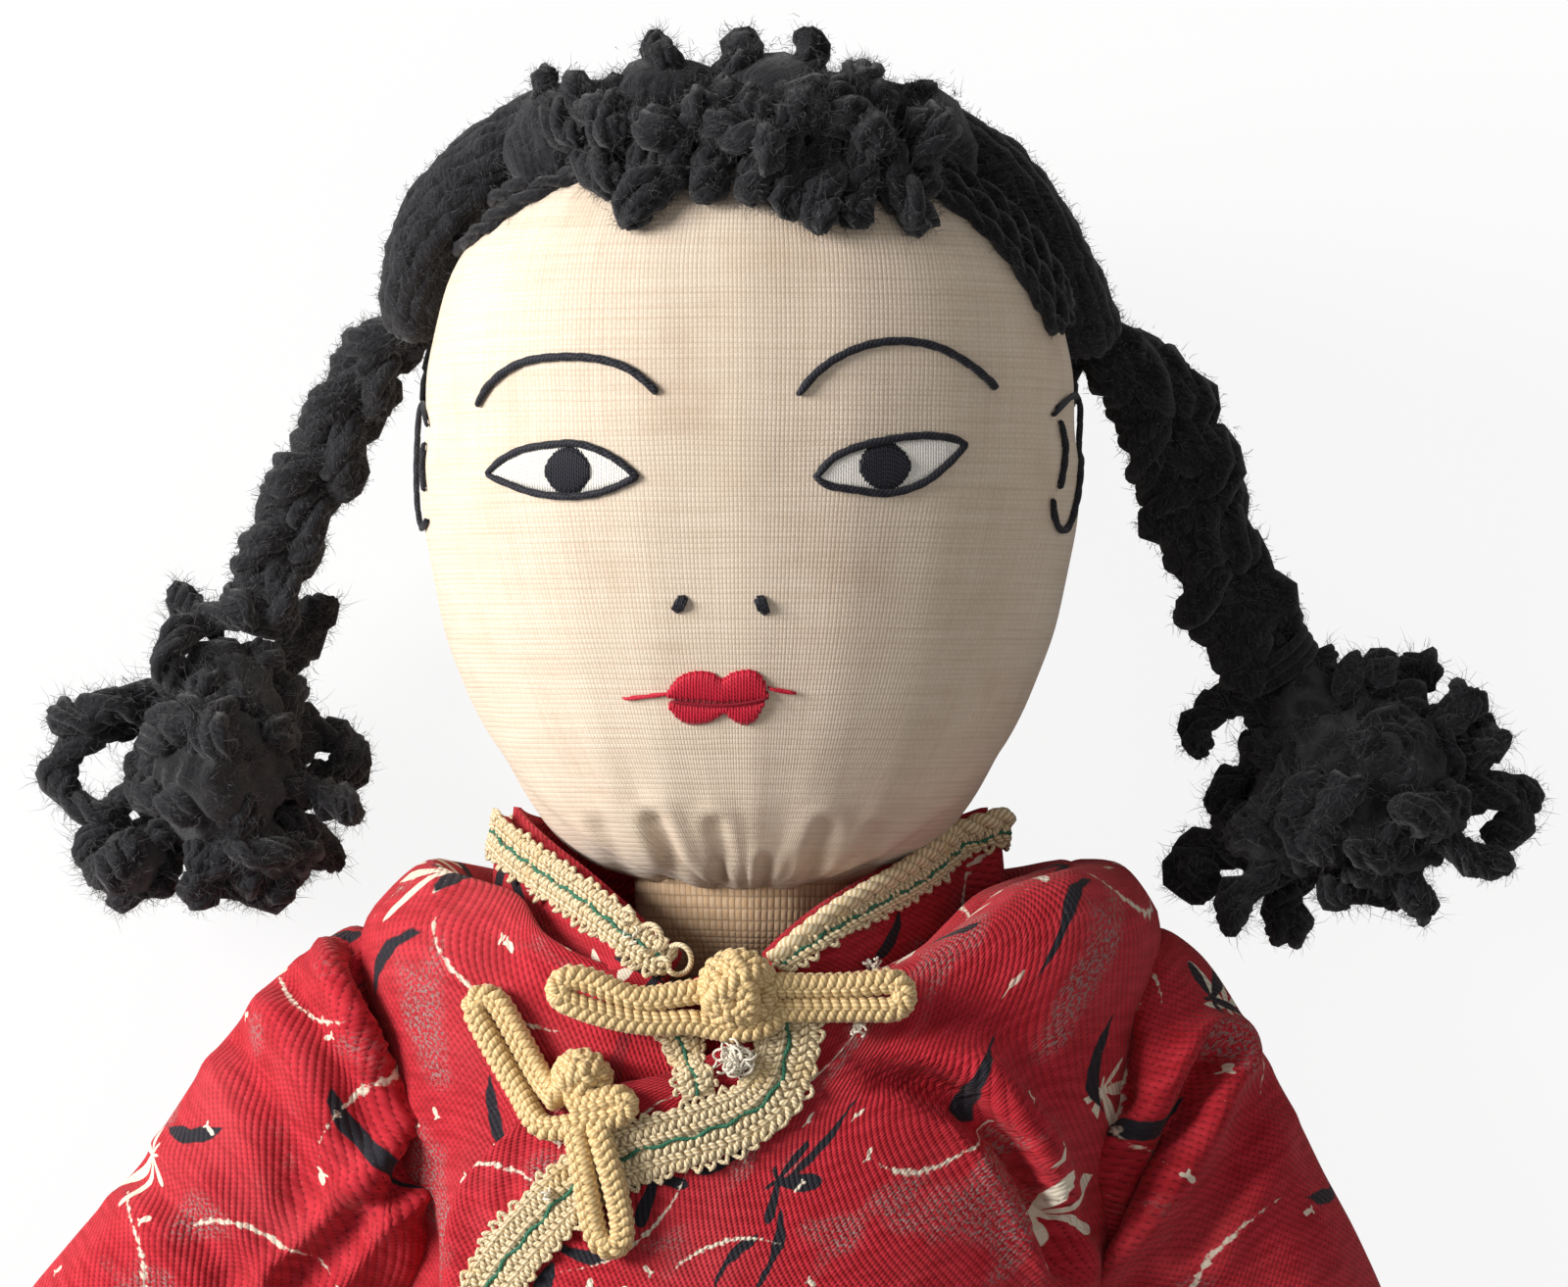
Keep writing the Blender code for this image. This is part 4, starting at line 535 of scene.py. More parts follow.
# %% Grid, skin and fold helpers
def laid_grid(name, columns, rows, place, size, closed=False):
    """A grid primitive whose points go to place(across, along), both from 0 to 1."""
    deselect()
    bpy.ops.mesh.primitive_grid_add(x_subdivisions=columns, y_subdivisions=rows, size=1)
    made = bpy.context.object
    made.name = name
    mesh = made.data
    shares = [(vertex.co.x + 0.5, vertex.co.y + 0.5) for vertex in mesh.vertices]
    for loop, slot in zip(mesh.loops, mesh.uv_layers[0].data):
        across, along = shares[loop.vertex_index]
        slot.uv = (across * size[0], along * size[1])
    for vertex, (across, along) in zip(mesh.vertices, shares):
        vertex.co = place(across, along)
    if closed:
        pick(made)
        bpy.ops.object.mode_set(mode="EDIT")
        bpy.ops.mesh.select_all(action="SELECT")
        bpy.ops.mesh.remove_doubles(threshold=1e-6)
        bpy.ops.object.mode_set(mode="OBJECT")
    return made


def face_out(item):
    pick(item)
    bpy.ops.object.mode_set(mode="EDIT")
    bpy.ops.mesh.select_all(action="SELECT")
    bpy.ops.mesh.normals_make_consistent(inside=False)
    bpy.ops.object.mode_set(mode="OBJECT")


def skin(name, nodes, start, end, columns, rows, reach=0.024):
    """A cloth tube with shut ends, drawn onto some nodes ring by ring, its seam at the back."""
    ground = surface(*nodes)
    start, end = Vector(start), Vector(end)
    along = (end - start).normalized()
    front = (Vector((0, 0, 1)) - along * along.z).normalized()
    side = along.cross(front)

    def place(across, up):
        centre = start.lerp(end, up)
        if up < 1e-6 or up > 1 - 1e-6:
            return centre
        turn = (across - 0.5) * 2 * math.pi
        out = front * math.cos(turn) + side * math.sin(turn)
        hit = ground.ray_cast(centre + out * reach, -out, reach)[0]
        if hit is None:
            hit = ground.find_nearest(centre + out * 0.002)[0]
        return hit

    thick = (place(0.5, 0.5) - start.lerp(end, 0.5)).length
    size = (2 * math.pi * thick * 0.95, (end - start).length)
    made = laid_grid(name, columns, rows, place, size, True)
    face_out(made)
    return made


def points_of(item):
    flat = np.zeros(len(item.data.vertices) * 3)
    item.data.vertices.foreach_get("co", flat)
    return flat.reshape(-1, 3)


def normals_of(item):
    flat = np.zeros(len(item.data.vertices) * 3)
    item.data.vertices.foreach_get("normal", flat)
    return flat.reshape(-1, 3)


def move_to(item, points):
    item.data.vertices.foreach_set("co", np.asarray(points, np.float32).ravel())
    item.data.update()


def run_along(points):
    """How far along a line each of its points lies."""
    return np.concatenate([[0], np.cumsum(np.linalg.norm(np.diff(points, axis=0), axis=1))])


def even(values):
    """Evens out values along their first axis once, with both ends held."""
    values[1:-1] = (values[:-2] + 2 * values[1:-1] + values[2:]) / 4


def away_from(points, line):
    """How far 2-D points are from a line through some others."""
    line = np.array(line, float)
    best = np.full(len(points), 1e9)
    for a, b in zip(line, line[1:]):
        run = b - a
        share = np.clip(((points - a) @ run) / (run @ run), 0, 1)
        best = np.minimum(best, np.linalg.norm(points - a - share[:, None] * run, axis=1))
    return best


def fold(item, line, depth, width, ridge=0.5, fade=1.0):
    """Presses a fold into the front of a piece, along a line in pixels.

    It deepens over its first fade pixels, and a ridge stands up beside it.
    """
    points, out = points_of(item), normals_of(item)
    seen_at = pixels(points)
    away = away_from(seen_at, line)
    depth = depth * np.clip(np.linalg.norm(seen_at - np.array(line[0]), axis=1) / fade, 0, 1) ** 1.5
    press = -np.exp(-((away / width) ** 2)) + ridge * np.exp(-(((away - 2.0 * width) / width) ** 2))
    facing = np.clip(out[:, 2] * 2.5, 0, 1)
    move_to(item, points + out * (press * facing * depth)[:, None])


def ripple(item, height, waves, stretch=(1, 1, 1), seed=0.0):
    """Soft uneven swells all over a piece; waves is how many there are to a metre."""
    points, out = points_of(item), normals_of(item)
    swell = [noise.noise(Vector((p[0] * stretch[0] * waves + seed, p[1] * stretch[1] * waves,
        p[2] * stretch[2] * waves))) for p in points]
    move_to(item, points + out * (np.array(swell) * height)[:, None])


def keep_above_floor(item, low=0.0):
    points = points_of(item)
    points[:, 2] = np.maximum(points[:, 2], low)
    move_to(item, points)


def finish_piece(item, look, slot, body=None, nodes=(), smooth=True):
    """Gives a piece its finish, its body and the nodes that it stands for."""
    item.data.materials.clear()
    item.data.materials.append(look)
    if smooth:
        item.data.shade_smooth()
    if nodes:
        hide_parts(*nodes)
    if body:
        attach(item, body)
    print(item.name, len(item.data.polygons), "faces")
    return item


# %% [markdown]
# ## The head
# A stuffed egg of cotton, gathered at the chin and sewn to the neck. It starts as a sphere with
# its poles at the crown and the chin, drawn tight onto the head's solid and relaxed. Round the
# chin the cloth is gathered into folds that fan out upward, so the radius there gets waves.

# %% Head
def drawn_sphere(name, target, segments, rings, relax=6, ease=None):
    low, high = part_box(target)
    middle, half = (low + high) / 2, (high - low) / 2
    deselect()
    bpy.ops.mesh.primitive_uv_sphere_add(segments=segments, ring_count=rings, radius=1)
    made = bpy.context.object
    made.name = name
    grow = Matrix.Diagonal((*half, 1))
    made.data.transform(Matrix.Translation(middle) @ grow @ Matrix.Rotation(-math.pi / 2, 4, "X"))
    apply(made, "SHRINKWRAP", target=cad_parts[target], wrap_method="NEAREST_SURFACEPOINT")
    apply(made, "SMOOTH", factor=0.5, iterations=relax)
    apply(made, "SHRINKWRAP", target=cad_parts[target], wrap_method="NEAREST_SURFACEPOINT")
    apply(made, "SMOOTH", factor=0.5, iterations=3)
    if ease is None:
        return made
    points = points_of(made)
    start, end = points.min(0), points.max(0)
    move_to(made, np.array(low) - ease + (points - start) / (end - start)
        * (np.array(high) - np.array(low) + 2 * ease))
    return made


def wrap_uv(item, centre, round_size):
    """A UV map in metres: round the Y axis from the front, and along it."""
    mesh = item.data
    layer = mesh.uv_layers[0] if mesh.uv_layers else mesh.uv_layers.new(name="UVMap")
    for face in mesh.polygons:
        turns = [math.atan2(mesh.vertices[i].co.x - centre[0], mesh.vertices[i].co.z - centre[1])
            for i in face.vertices]
        if max(turns) - min(turns) > math.pi:
            turns = [turn + 2 * math.pi if turn < 0 else turn for turn in turns]
        for turn, loop, i in zip(turns, face.loop_indices, face.vertices):
            layer.data[loop].uv = (turn * round_size, mesh.vertices[i].co.y)


head = drawn_sphere("head", "head_casing", 80, 56, ease=0.00035)
apply(head, "SUBSURF", levels=1, render_levels=1)
CHIN_Y, HEAD_Z = 0.0458, 0.0268
points = points_of(head)
turn = np.arctan2(points[:, 0], points[:, 2] - HEAD_Z)
rise = points[:, 1] - CHIN_Y
fan = np.exp(-np.maximum(rise, 0) / 0.0050) * np.clip(rise / 0.0012 + 0.35, 0.2, 1)
waves = np.abs(np.sin(turn * 9.5 + 0.6 * np.sin(turn * 3.1) + 0.35)) ** 0.7 - 0.6
waves += 0.35 * np.sin(turn * 23 + 1.3)
out = np.stack([np.sin(turn), np.zeros_like(turn), np.cos(turn)], 1)
move_to(head, points + out * (waves * fan * 0.00085)[:, None])
for line, depth, width in (
    (((690, 905), (682, 870), (668, 838)), 0.00060, 9),
    (((735, 905), (738, 872), (730, 842)), 0.00050, 8),
    (((826, 905), (832, 872), (842, 846)), 0.00055, 9),
    (((880, 897), (884, 868), (893, 848)), 0.00035, 8),
    (((640, 897), (628, 868), (612, 842)), 0.00035, 8),
    (((780, 905), (782, 880)), 0.00035, 7),
):
    fold(head, line, depth, width)
ripple(head, 0.0002, 70)
keep_above_floor(head, 0.0)
points = points_of(head)
CROWN = 0.1145
points[:, 1] = np.where(points[:, 1] > CROWN, CROWN + (points[:, 1] - CROWN) * 0.40, points[:, 1])
move_to(head, points)
wrap_uv(head, (0, HEAD_Z), 0.0305)
finish_piece(head, FACE_CLOTH, "cream_cotton", "head", ("head_casing", "head_stuffing"))
on_head = surface(head)

# %% [markdown]
# ## The neck
# A tube of coarser tan canvas shows between the chin and the collar. It is skinned from the
# neck's solid and has a few flat creases across it.

# %% Neck
low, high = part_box("neck_casing")
neck = skin("neck", ("neck_casing",), (0, low.y + 0.0001, 0.0200), (0, high.y - 0.0001, 0.0200), 72,
    22)
apply(neck, "SMOOTH", factor=0.5, iterations=2)
points = points_of(neck)
points[:, 1] += 0.0034 * np.clip((points[:, 1] - (high.y - 0.0040)) / 0.0030, 0, 1)
move_to(neck, points)
ripple(neck, 0.00022, 190, (0.5, 2.2, 0.5), 3.0)
finish_piece(neck, CANVAS, "tan_canvas", "neck", ("neck_casing", "neck_stuffing"))

# %% [markdown]
# ## The jacket
# The back and the under front are one tube of cloth round the torso. The left front is a second
# sheet that laps over it and ends along a slanting curve. Both are measured from the solids: the
# share by which the jacket stands out from the stuffed torso is read with rays, and gaps at the
# armholes and the neck are bridged from their neighbours.

# %% Where the collar is sewn to the jacket
def line_through(places, step, closed=False):
    """Evenly spaced points on a smooth line through some places."""
    places = np.array([tuple(p) for p in places], float)
    count = len(places)
    result = []
    last = count if closed else count - 1
    for i in range(last):
        four = [places[(i + k) % count] if closed else places[min(max(i + k, 0), count - 1)]
            for k in (-1, 0, 1, 2)]
        for t in np.linspace(0, 1, 12, endpoint=False):
            a, b, c, d = four
            result.append(0.5 * (2 * b + (c - a) * t + (2 * a - 5 * b + 4 * c - d) * t**2
                + (3 * b - a - 3 * c + d) * t**3))
    result.append(places[0] if closed else places[-1])
    result = np.array(result)
    runs = run_along(result)
    wanted = np.linspace(0, runs[-1], max(3, int(round(runs[-1] / step)) + 1))
    return np.stack([np.interp(wanted, runs, result[:, k]) for k in range(result.shape[1])], 1)


def at_height(px, py, z):
    start, along = sight(px, py)
    return start + along * (start.z - z) / -along.z


NECK_AXIS_Z, COLLAR_WIDE, COLLAR_FRONT, COLLAR_BACK = 0.0200, 0.0234, 0.0205, 0.0168
OPENING = math.radians(16)
NECKLINE_RISE = 30
COLLAR_EDGES = {
    -1: (
        ((686, 984), (660, 962), (627, 930), (590, 897), (553, 868), (527, 845), (513, 829)),
        ((672, 1026), (632, 1008), (587, 990), (550, 979), (525, 968), (511, 952), (509, 925)),
    ),
    1: (
        ((788, 986), (812, 962), (845, 934), (880, 911), (915, 890), (950, 865), (976, 843)),
        ((806, 1026), (840, 1019), (880, 1009), (915, 997), (945, 984), (964, 966), (976, 925)),
    ),
}


def along_edge(edge, share):
    smooth = line_through(edge, 2)
    at = np.clip(share, 0, 1) * (len(smooth) - 1.001)
    return smooth[int(at)] * (1 - at % 1) + smooth[int(at) + 1] * (at % 1)


def seam_point(turn, lift=0.0):
    """The seam between jacket and collar, all round the neck."""
    turn = (turn + math.pi) % (2 * math.pi) - math.pi
    if abs(turn) >= math.pi / 2:
        back = (abs(turn) - math.pi / 2) / (math.pi / 2)
        wide, deep = COLLAR_WIDE + lift, COLLAR_BACK + lift
        return Vector((wide * math.sin(turn), 0.0430 - 0.0024 * back,
            NECK_AXIS_Z + deep * math.cos(turn)))
    across = turn / (2 * OPENING) + 0.5
    if 0 < across < 1:
        ends = [np.array(COLLAR_EDGES[way][1][0], float) for way in (-1, 1)]
        px, py = ends[0] * (1 - across) + ends[1] * across
        py -= NECKLINE_RISE * math.sin(math.pi * across)
    else:
        px, py = along_edge(COLLAR_EDGES[1 if turn > 0 else -1][1],
            (abs(turn) - OPENING) / (math.pi / 2 - OPENING))
    return at_height(px, py, NECK_AXIS_Z + (COLLAR_FRONT + 0.0010 + lift) * math.cos(turn))


print("the seam starts at", tuple(round(v, 4) for v in seam_point(OPENING)))

# %% Jacket sheets
HEM_Y, TORSO_AXIS_Z = -0.0400, 0.0205
FRONT_RIM_Y, SIDE_RIM_Y = 0.0366, 0.0462
SHOULDER_BEND, SHOULDER_SHARE = 0.0085, 0.86
JACKET_FLAT, FLAP_FLAT = (0.190, 0.090), (0.080, 0.086)
CLOTH_THICKNESS, ON_FLOOR = 0.0007, 0.0001
on_torso = surface("torso_casing")


def reach_at(ground, turn, y, default):
    out = Vector((math.sin(turn), 0, math.cos(turn)))
    start = Vector((0, y, TORSO_AXIS_Z)) + out * 0.06
    hit = ground.ray_cast(start, -out, 0.06)[0]
    return default if hit is None else (hit - Vector((0, y, TORSO_AXIS_Z))).length


def top_y(turn):
    """How far up the jacket's cloth goes at a turn: lower at the front, under the collar."""
    side = abs(math.sin(turn / 2)) if abs(turn) < math.pi / 2 else 1.0
    return FRONT_RIM_Y + (SIDE_RIM_Y - FRONT_RIM_Y) * min(1.0, (side / 0.52) ** 2)


def jacket_reach(*nodes):
    """A table of how far the jacket stands from the axis, by turn and height."""
    ground = surface(*nodes)
    turns = np.linspace(-math.pi, math.pi, 145)
    heights = np.linspace(HEM_Y + 0.0002, 0.0464, 72)
    table = np.zeros((len(heights), len(turns)))
    for i, y in enumerate(heights):
        casing = np.array([reach_at(on_torso, t,
            min(max(y, -0.042), 0.0366 if abs(t) < 0.9 else 0.0460), 0.02) for t in turns])
        jacket = np.array([reach_at(ground, t, y, 0.0) for t in turns])
        good = jacket > casing + 0.0004
        more = np.interp(turns, turns[good], (jacket
            / casing)[good]) if good.any() else np.full(len(turns), 1.06)
        table[i] = casing * more
    for _ in range(3):
        even(table.T)
        even(table)
    return turns, heights, table


def reader(tables):
    turns, heights, table = tables

    def read(turn, y):
        turn = (turn + math.pi) % (2 * math.pi) - math.pi
        column = np.clip((turn + math.pi) / (2 * math.pi) * (len(turns) - 1), 0, len(turns) - 1.001)
        row = np.clip((y - heights[0]) / (heights[-1] - heights[0]) * (len(heights) - 1), 0,
            len(heights) - 1.001)
        i, j = int(row), int(column)
        a, b = row - i, column - j
        near = table[i, j] * (1 - b) + table[i, j + 1] * b
        far = table[i + 1, j] * (1 - b) + table[i + 1, j + 1] * b
        return near * (1 - a) + far * a

    return read


under_reach = reader(jacket_reach("jacket_back", "jacket_right_front"))
over_reach = reader(jacket_reach("jacket_left_front"))


def torso_place(read, turn, y, lift=0.0):
    far = read(turn, y) + lift
    return Vector((far * math.sin(turn), y, max(TORSO_AXIS_Z + far * math.cos(turn), 0.0009)))


def shouldered(read, turn, along, low_y, lift):
    """A place on the jacket: up the tube, then over the shoulder to the collar's seam."""
    rim, bend, knee = top_y(turn), SHOULDER_BEND, SHOULDER_SHARE
    if along <= knee:
        return torso_place(read, turn, low_y + (rim - bend - low_y) * along / knee, lift)
    share = (along - knee) / (1 - knee)
    start = torso_place(read, turn, rim - bend, lift)
    corner = torso_place(read, turn, rim, lift)
    corner.z = min(corner.z, start.z)
    end = seam_point(turn, lift)
    return start * (1 - share) ** 3 + corner * 3 * share * (1 - share) + end * share**3


def body_sheet(across, along):
    return shouldered(under_reach, (across - 0.5) * 2 * math.pi, along, HEM_Y, 0.0)


jacket = laid_grid("jacket_body", 100, 66, body_sheet, JACKET_FLAT, True)
face_out(jacket)
apply(jacket, "SMOOTH", factor=0.5, iterations=2)
apply(jacket, "SUBSURF", levels=1, render_levels=1)
print("jacket body laid on the torso")

# %% The flap that laps over
FLAP_EDGE = ((777, 1018), (776, 1050), (774, 1072), (766, 1092), (733, 1122), (672, 1142),
    (604, 1172), (543, 1220), (498, 1275), (470, 1320), (455, 1400), (448, 1500), (448, 1600),
    (452, 1700), (462, 1850))
CHEST_Z = 0.0400
edge_line = [at_height(px, py, CHEST_Z) for px, py in reversed(FLAP_EDGE)]
edge_heights = [place.y for place in edge_line]
edge_places = [place.x for place in edge_line]


def edge_turn(y):
    """The turn at which the flap's edge lies, from how far across the chest it is."""
    x = float(np.interp(y, edge_heights, edge_places))
    turns = np.linspace(-1.45, 1.45, 60)
    return float(np.interp(x, [over_reach(t, y) * math.sin(t) for t in turns], turns))


def flap_sheet(across, along):
    y = HEM_Y - 0.0006 + (FRONT_RIM_Y - HEM_Y) * along
    turn = edge_turn(y) + (1.75 - edge_turn(y)) * across ** 1.1
    return shouldered(over_reach, turn, along, HEM_Y - 0.0006, 0.0004)


flap = laid_grid("jacket_flap", 64, 68, flap_sheet, FLAP_FLAT)
face_out(flap)
middle = min(flap.data.vertices, key=lambda v: abs(v.co.x - 0.008) + abs(v.co.y))
if middle.normal.z < 0:
    flap.data.flip_normals()
apply(flap, "SMOOTH", factor=0.5, iterations=2)
apply(flap, "SUBSURF", levels=1, render_levels=1)
print("flap laid over it")

# %% [markdown]
# The photograph shows deep folds from the arms into the chest, most of all on the doll's left.
# They are pressed in along their lines. The yoke stands out over each armhole, and the cloth gets
# its thickness afterwards.

# %% Folds and thickness of the jacket
YOKE_OUT, YOKE_UP = 0.0036, 0.0030
for piece in (jacket, flap):
    for line, depth, width in (
        (((843, 1047), (872, 1080), (900, 1096), (930, 1104), (975, 1122), (1020, 1158),
        (1052, 1205), (1085, 1290)), 0.0026, 12),
        (((905, 1058), (955, 1070), (1008, 1098), (1058, 1155), (1086, 1220)), -0.0017, 18),
        (((448, 1150), (440, 1190), (430, 1240), (432, 1313)), 0.0016, 16),
        (((440, 1100), (475, 1130), (505, 1140)), 0.0005, 10),
        (((560, 1125), (530, 1180), (515, 1225)), 0.0004, 9),
    ):
        fold(piece, line, depth, width, fade=110)
    points = points_of(piece)
    yoke = np.clip((np.abs(points[:, 0]) - 0.0150) / 0.0110, 0,
        1) * np.clip((points[:, 1] - 0.0270) / 0.0130, 0, 1)
    points[:, 0] += np.sign(points[:, 0]) * YOKE_OUT * yoke
    points[:, 1] += YOKE_UP * yoke
    move_to(piece, points)
    ripple(piece, 0.00050, 62, (1, 0.6, 1), 5.0)
    ripple(piece, 0.00016, 210, (1, 1, 1), 9.0)
    apply(piece, "SOLIDIFY", thickness=CLOTH_THICKNESS, offset=-1)
    keep_above_floor(piece, ON_FLOOR)
finish_piece(jacket, PRINTED_TWILL, "red_twill", "torso", ("jacket_back", "jacket_right_front"))
finish_piece(flap, PRINTED_TWILL, "red_twill", "torso", ("jacket_left_front",))

# %% The stuffed torso and the seat of the trousers
BODY_Z, BODY_REACH = 0.02, 0.028
torso = drawn_sphere("torso_body", "torso_casing", 48, 32)
points, out = points_of(torso), normals_of(torso)
move_to(torso, points - out * (0.0016 * np.clip(out[:, 2] + 0.3, 0, 1))[:, None])
wrap_uv(torso, (0, BODY_Z), BODY_REACH)
finish_piece(torso, LIMB_CLOTH, "cream_cotton", "torso", ("torso_casing", "torso_stuffing"))
seat = drawn_sphere("trouser_seat_cloth", "trouser_seat", 48, 32)
wrap_uv(seat, (0, BODY_Z), BODY_REACH)
finish_piece(seat, DARK_COTTON, "dark_cotton", "torso", ("trouser_seat",))

# %% [markdown]
# ## Sleeves and arms
# The sleeves are wide, set in with gathers, and stuffed by the arm inside. Each is skinned from
# its solid, then folded where the photograph shows folds. The arms end in mitten hands with
# stitched fingers.

# %% Sleeves
CUFF_Z, SLEEVE_LENGTH, SLEEVE_FOLD_DEPTH = 0.0098, 0.0796, 1.9
SHOULDERS = {"right": (Vector((-0.0334, 0.0290, 0.0180)), math.radians(-41)),
    "left": (Vector((0.0334, 0.0290, 0.0180)), math.radians(30))}
SLEEVE_FOLDS = {
    "right": (
        (((352, 948), (382, 1010), (408, 1068), (440, 1125), (448, 1150)), 0.0011, 13),
        (((395, 1222), (420, 1192), (448, 1160)), 0.0013, 13),
        (((300, 1010), (345, 1080), (375, 1150)), 0.0006, 16),
        (((365, 1240), (330, 1290), (300, 1313)), 0.0008, 15),
        (((240, 1060), (290, 1150), (310, 1220)), 0.0005, 18),
        (((405, 1040), (425, 1085)), 0.0006, 8),
        (((120, 1180), (190, 1240), (230, 1300)), 0.0005, 18),
    ),
    "left": (
        (((1240, 1075), (1205, 1140), (1160, 1200), (1120, 1262), (1098, 1300)), 0.0017, 14),
        (((1060, 1000), (1075, 1080), (1085, 1150), (1090, 1230)), 0.0006, 14),
        (((1115, 985), (1140, 1060), (1145, 1120)), 0.0005, 15),
        (((1290, 1120), (1262, 1190), (1215, 1265)), 0.0006, 18),
        (((985, 935), (1020, 985), (1045, 1050)), 0.0005, 14),
    ),
}
for side, (shoulder, slant) in SHOULDERS.items():
    sign = -1 if side == "right" else 1
    down = Vector((math.sin(slant), -math.cos(slant), 0))
    start = shoulder - down * 0.0118
    end = shoulder + down * SLEEVE_LENGTH
    end.z = CUFF_Z
    sleeve = skin(side + "_sleeve_cloth", (side + "_sleeve",), start, end, 80, 76, reach=0.022)
    apply(sleeve, "SMOOTH", factor=0.5, iterations=5)
    apply(sleeve, "SUBSURF", levels=1, render_levels=1)
    points, out = points_of(sleeve), normals_of(sleeve)
    run = (points - np.array(shoulder)) @ np.array(down)
    top = np.clip((0.030 - run) / 0.030, 0, 1)
    top = top * top * (3 - 2 * top)
    inner = np.array((down.y, -down.x, 0)) * (1 if down.y * -sign > 0 else -1)
    spoke = points - np.array(shoulder) - run[:, None] * np.array(down)
    far = np.linalg.norm(spoke, axis=1) + 1e-9
    sure = np.clip(far / 0.008, 0, 1)
    inward = np.clip(spoke @ inner / far, 0, 1) * sure
    corner = 2 * inward * np.clip(spoke[:, 2] / far, 0, 1)
    outward = spoke / far[:, None]
    points += outward * (0.0012 * top * sure)[:, None]
    points += inner * (top * (0.0062 * inward + 0.0034 * corner))[:, None]
    points[:, 2] += 0.0036 * top * corner
    move_to(sleeve, points)
    apply(sleeve, "SMOOTH", factor=0.5, iterations=6)
    for line, depth, width in SLEEVE_FOLDS[side]:
        fold(sleeve, line, depth * SLEEVE_FOLD_DEPTH, width, 0.6)
    ripple(sleeve, 0.0009, 48, (1, 1, 1), 2.0 + sign)
    ripple(sleeve, 0.0003, 150, (1.4, 0.7, 1), 4.0 + sign)
    points, out = points_of(sleeve), normals_of(sleeve)
    run = (points - np.array(shoulder)) @ np.array(down)
    turn = np.arctan2((points - np.array(shoulder)) @ np.array(down.cross(Vector((0, 0, 1)))),
        points[:, 2] - 0.016)
    gather = np.exp(-((run - 0.073) / 0.004) ** 2)
    move_to(sleeve, points + out * (np.sin(turn * 14 + np.sin(turn * 3)) * 0.00035 * gather)[:,
        None])
    keep_above_floor(sleeve, ON_FLOOR)
    finish_piece(sleeve, PRINTED_TWILL, "red_twill", None, (side + "_sleeve",))
    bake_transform(sleeve)

# %% Arms
FINGER_GAPS, ARM_LENGTH = (-0.0036, -0.0002, 0.0032), 0.0962
for side, (shoulder, slant) in SHOULDERS.items():
    sign = -1 if side == "right" else 1
    down = Vector((math.sin(slant), -math.cos(slant), 0))
    start = shoulder - down * 0.0080
    end = shoulder + down * ARM_LENGTH
    end.z = CUFF_Z
    arm = skin(side + "_arm_body", (side + "_arm",), start, end, 40, 70, reach=0.016)
    apply(arm, "SMOOTH", factor=0.5, iterations=3)
    apply(arm, "SUBSURF", levels=1, render_levels=1)
    ripple(arm, 0.0003, 110, (1, 1, 1), 7.0)
    points, out = points_of(arm), normals_of(arm)
    run = (points - np.array(shoulder)) @ np.array(down)
    across = (points - np.array(shoulder)) @ np.array(down.cross(Vector((0, 0, 1))))
    for place in FINGER_GAPS:
        groove = np.exp(-(((across - place) / 0.00045) ** 2)) * np.clip((run - 0.0855) / 0.002, 0,
            1)
        points = points - out * (groove * 0.0007)[:, None]
    move_to(arm, points)
    finish_piece(arm, LIMB_CLOTH, "cream_cotton", side + "_arm", (side + "_arm",))

# %% [markdown]
# ## Legs, trousers and shoes
# The photograph ends at the chest. Below it, plain dark trousers and cloth shoes follow dolls of
# this kind. The trousers crease behind the knee and at the hem.

# %% Legs and trousers
HIP_Z = 0.016
for side, sign in (("right", -1), ("left", 1)):
    hip = Vector((sign * 0.0150, -0.0600, 0.0160))
    low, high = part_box(side + "_trouser_leg")
    start, end = Vector((hip.x, high.y - 0.0002, HIP_Z)), Vector((hip.x + sign * 0.0069,
        low.y + 0.0002, 0.0120))
    leg_cloth = skin(side + "_trouser_cloth", (side + "_trouser_leg",), start, end, 60, 64,
        reach=0.022)
    apply(leg_cloth, "SMOOTH", factor=0.5, iterations=5)
    apply(leg_cloth, "SUBSURF", levels=1, render_levels=1)
    ripple(leg_cloth, 0.0011, 45, (1, 0.8, 1), 3.0 + sign)
    ripple(leg_cloth, 0.0005, 120, (0.6, 1.6, 1), 6.0 + sign)
    points, out = points_of(leg_cloth), normals_of(leg_cloth)
    for place, depth in ((-0.098, 0.0009), (-0.104, 0.0007), (-0.091, 0.0005), (-0.1495, 0.0006),
            (-0.070, 0.0006)):
        wave = points[:, 1] - place + 0.002 * np.sin(points[:, 0] * 260 * sign)
        points = points - out * (np.exp(-((wave / 0.0013) ** 2)) * depth)[:, None]
    seam = np.exp(-(((points[:, 0] - (hip.x + sign * 0.0135)) / 0.0005) ** 2)) * 0.0002
    points = points - out * seam[:, None]
    move_to(leg_cloth, points)
    keep_above_floor(leg_cloth, ON_FLOOR)
    finish_piece(leg_cloth, DARK_COTTON, "dark_cotton", None, (side + "_trouser_leg",))
    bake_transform(leg_cloth)
    low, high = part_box(side + "_leg")
    start, end = Vector((hip.x, high.y - 0.0002, HIP_Z)), Vector((hip.x + sign * 0.0080,
        low.y + 0.0002, 0.0098))
    leg = skin(side + "_leg_body", (side + "_leg",), start, end, 36, 50, reach=0.02)
    apply(leg, "SMOOTH", factor=0.5, iterations=3)
    finish_piece(leg, LIMB_CLOTH, "cream_cotton", side + "_leg", (side + "_leg",))

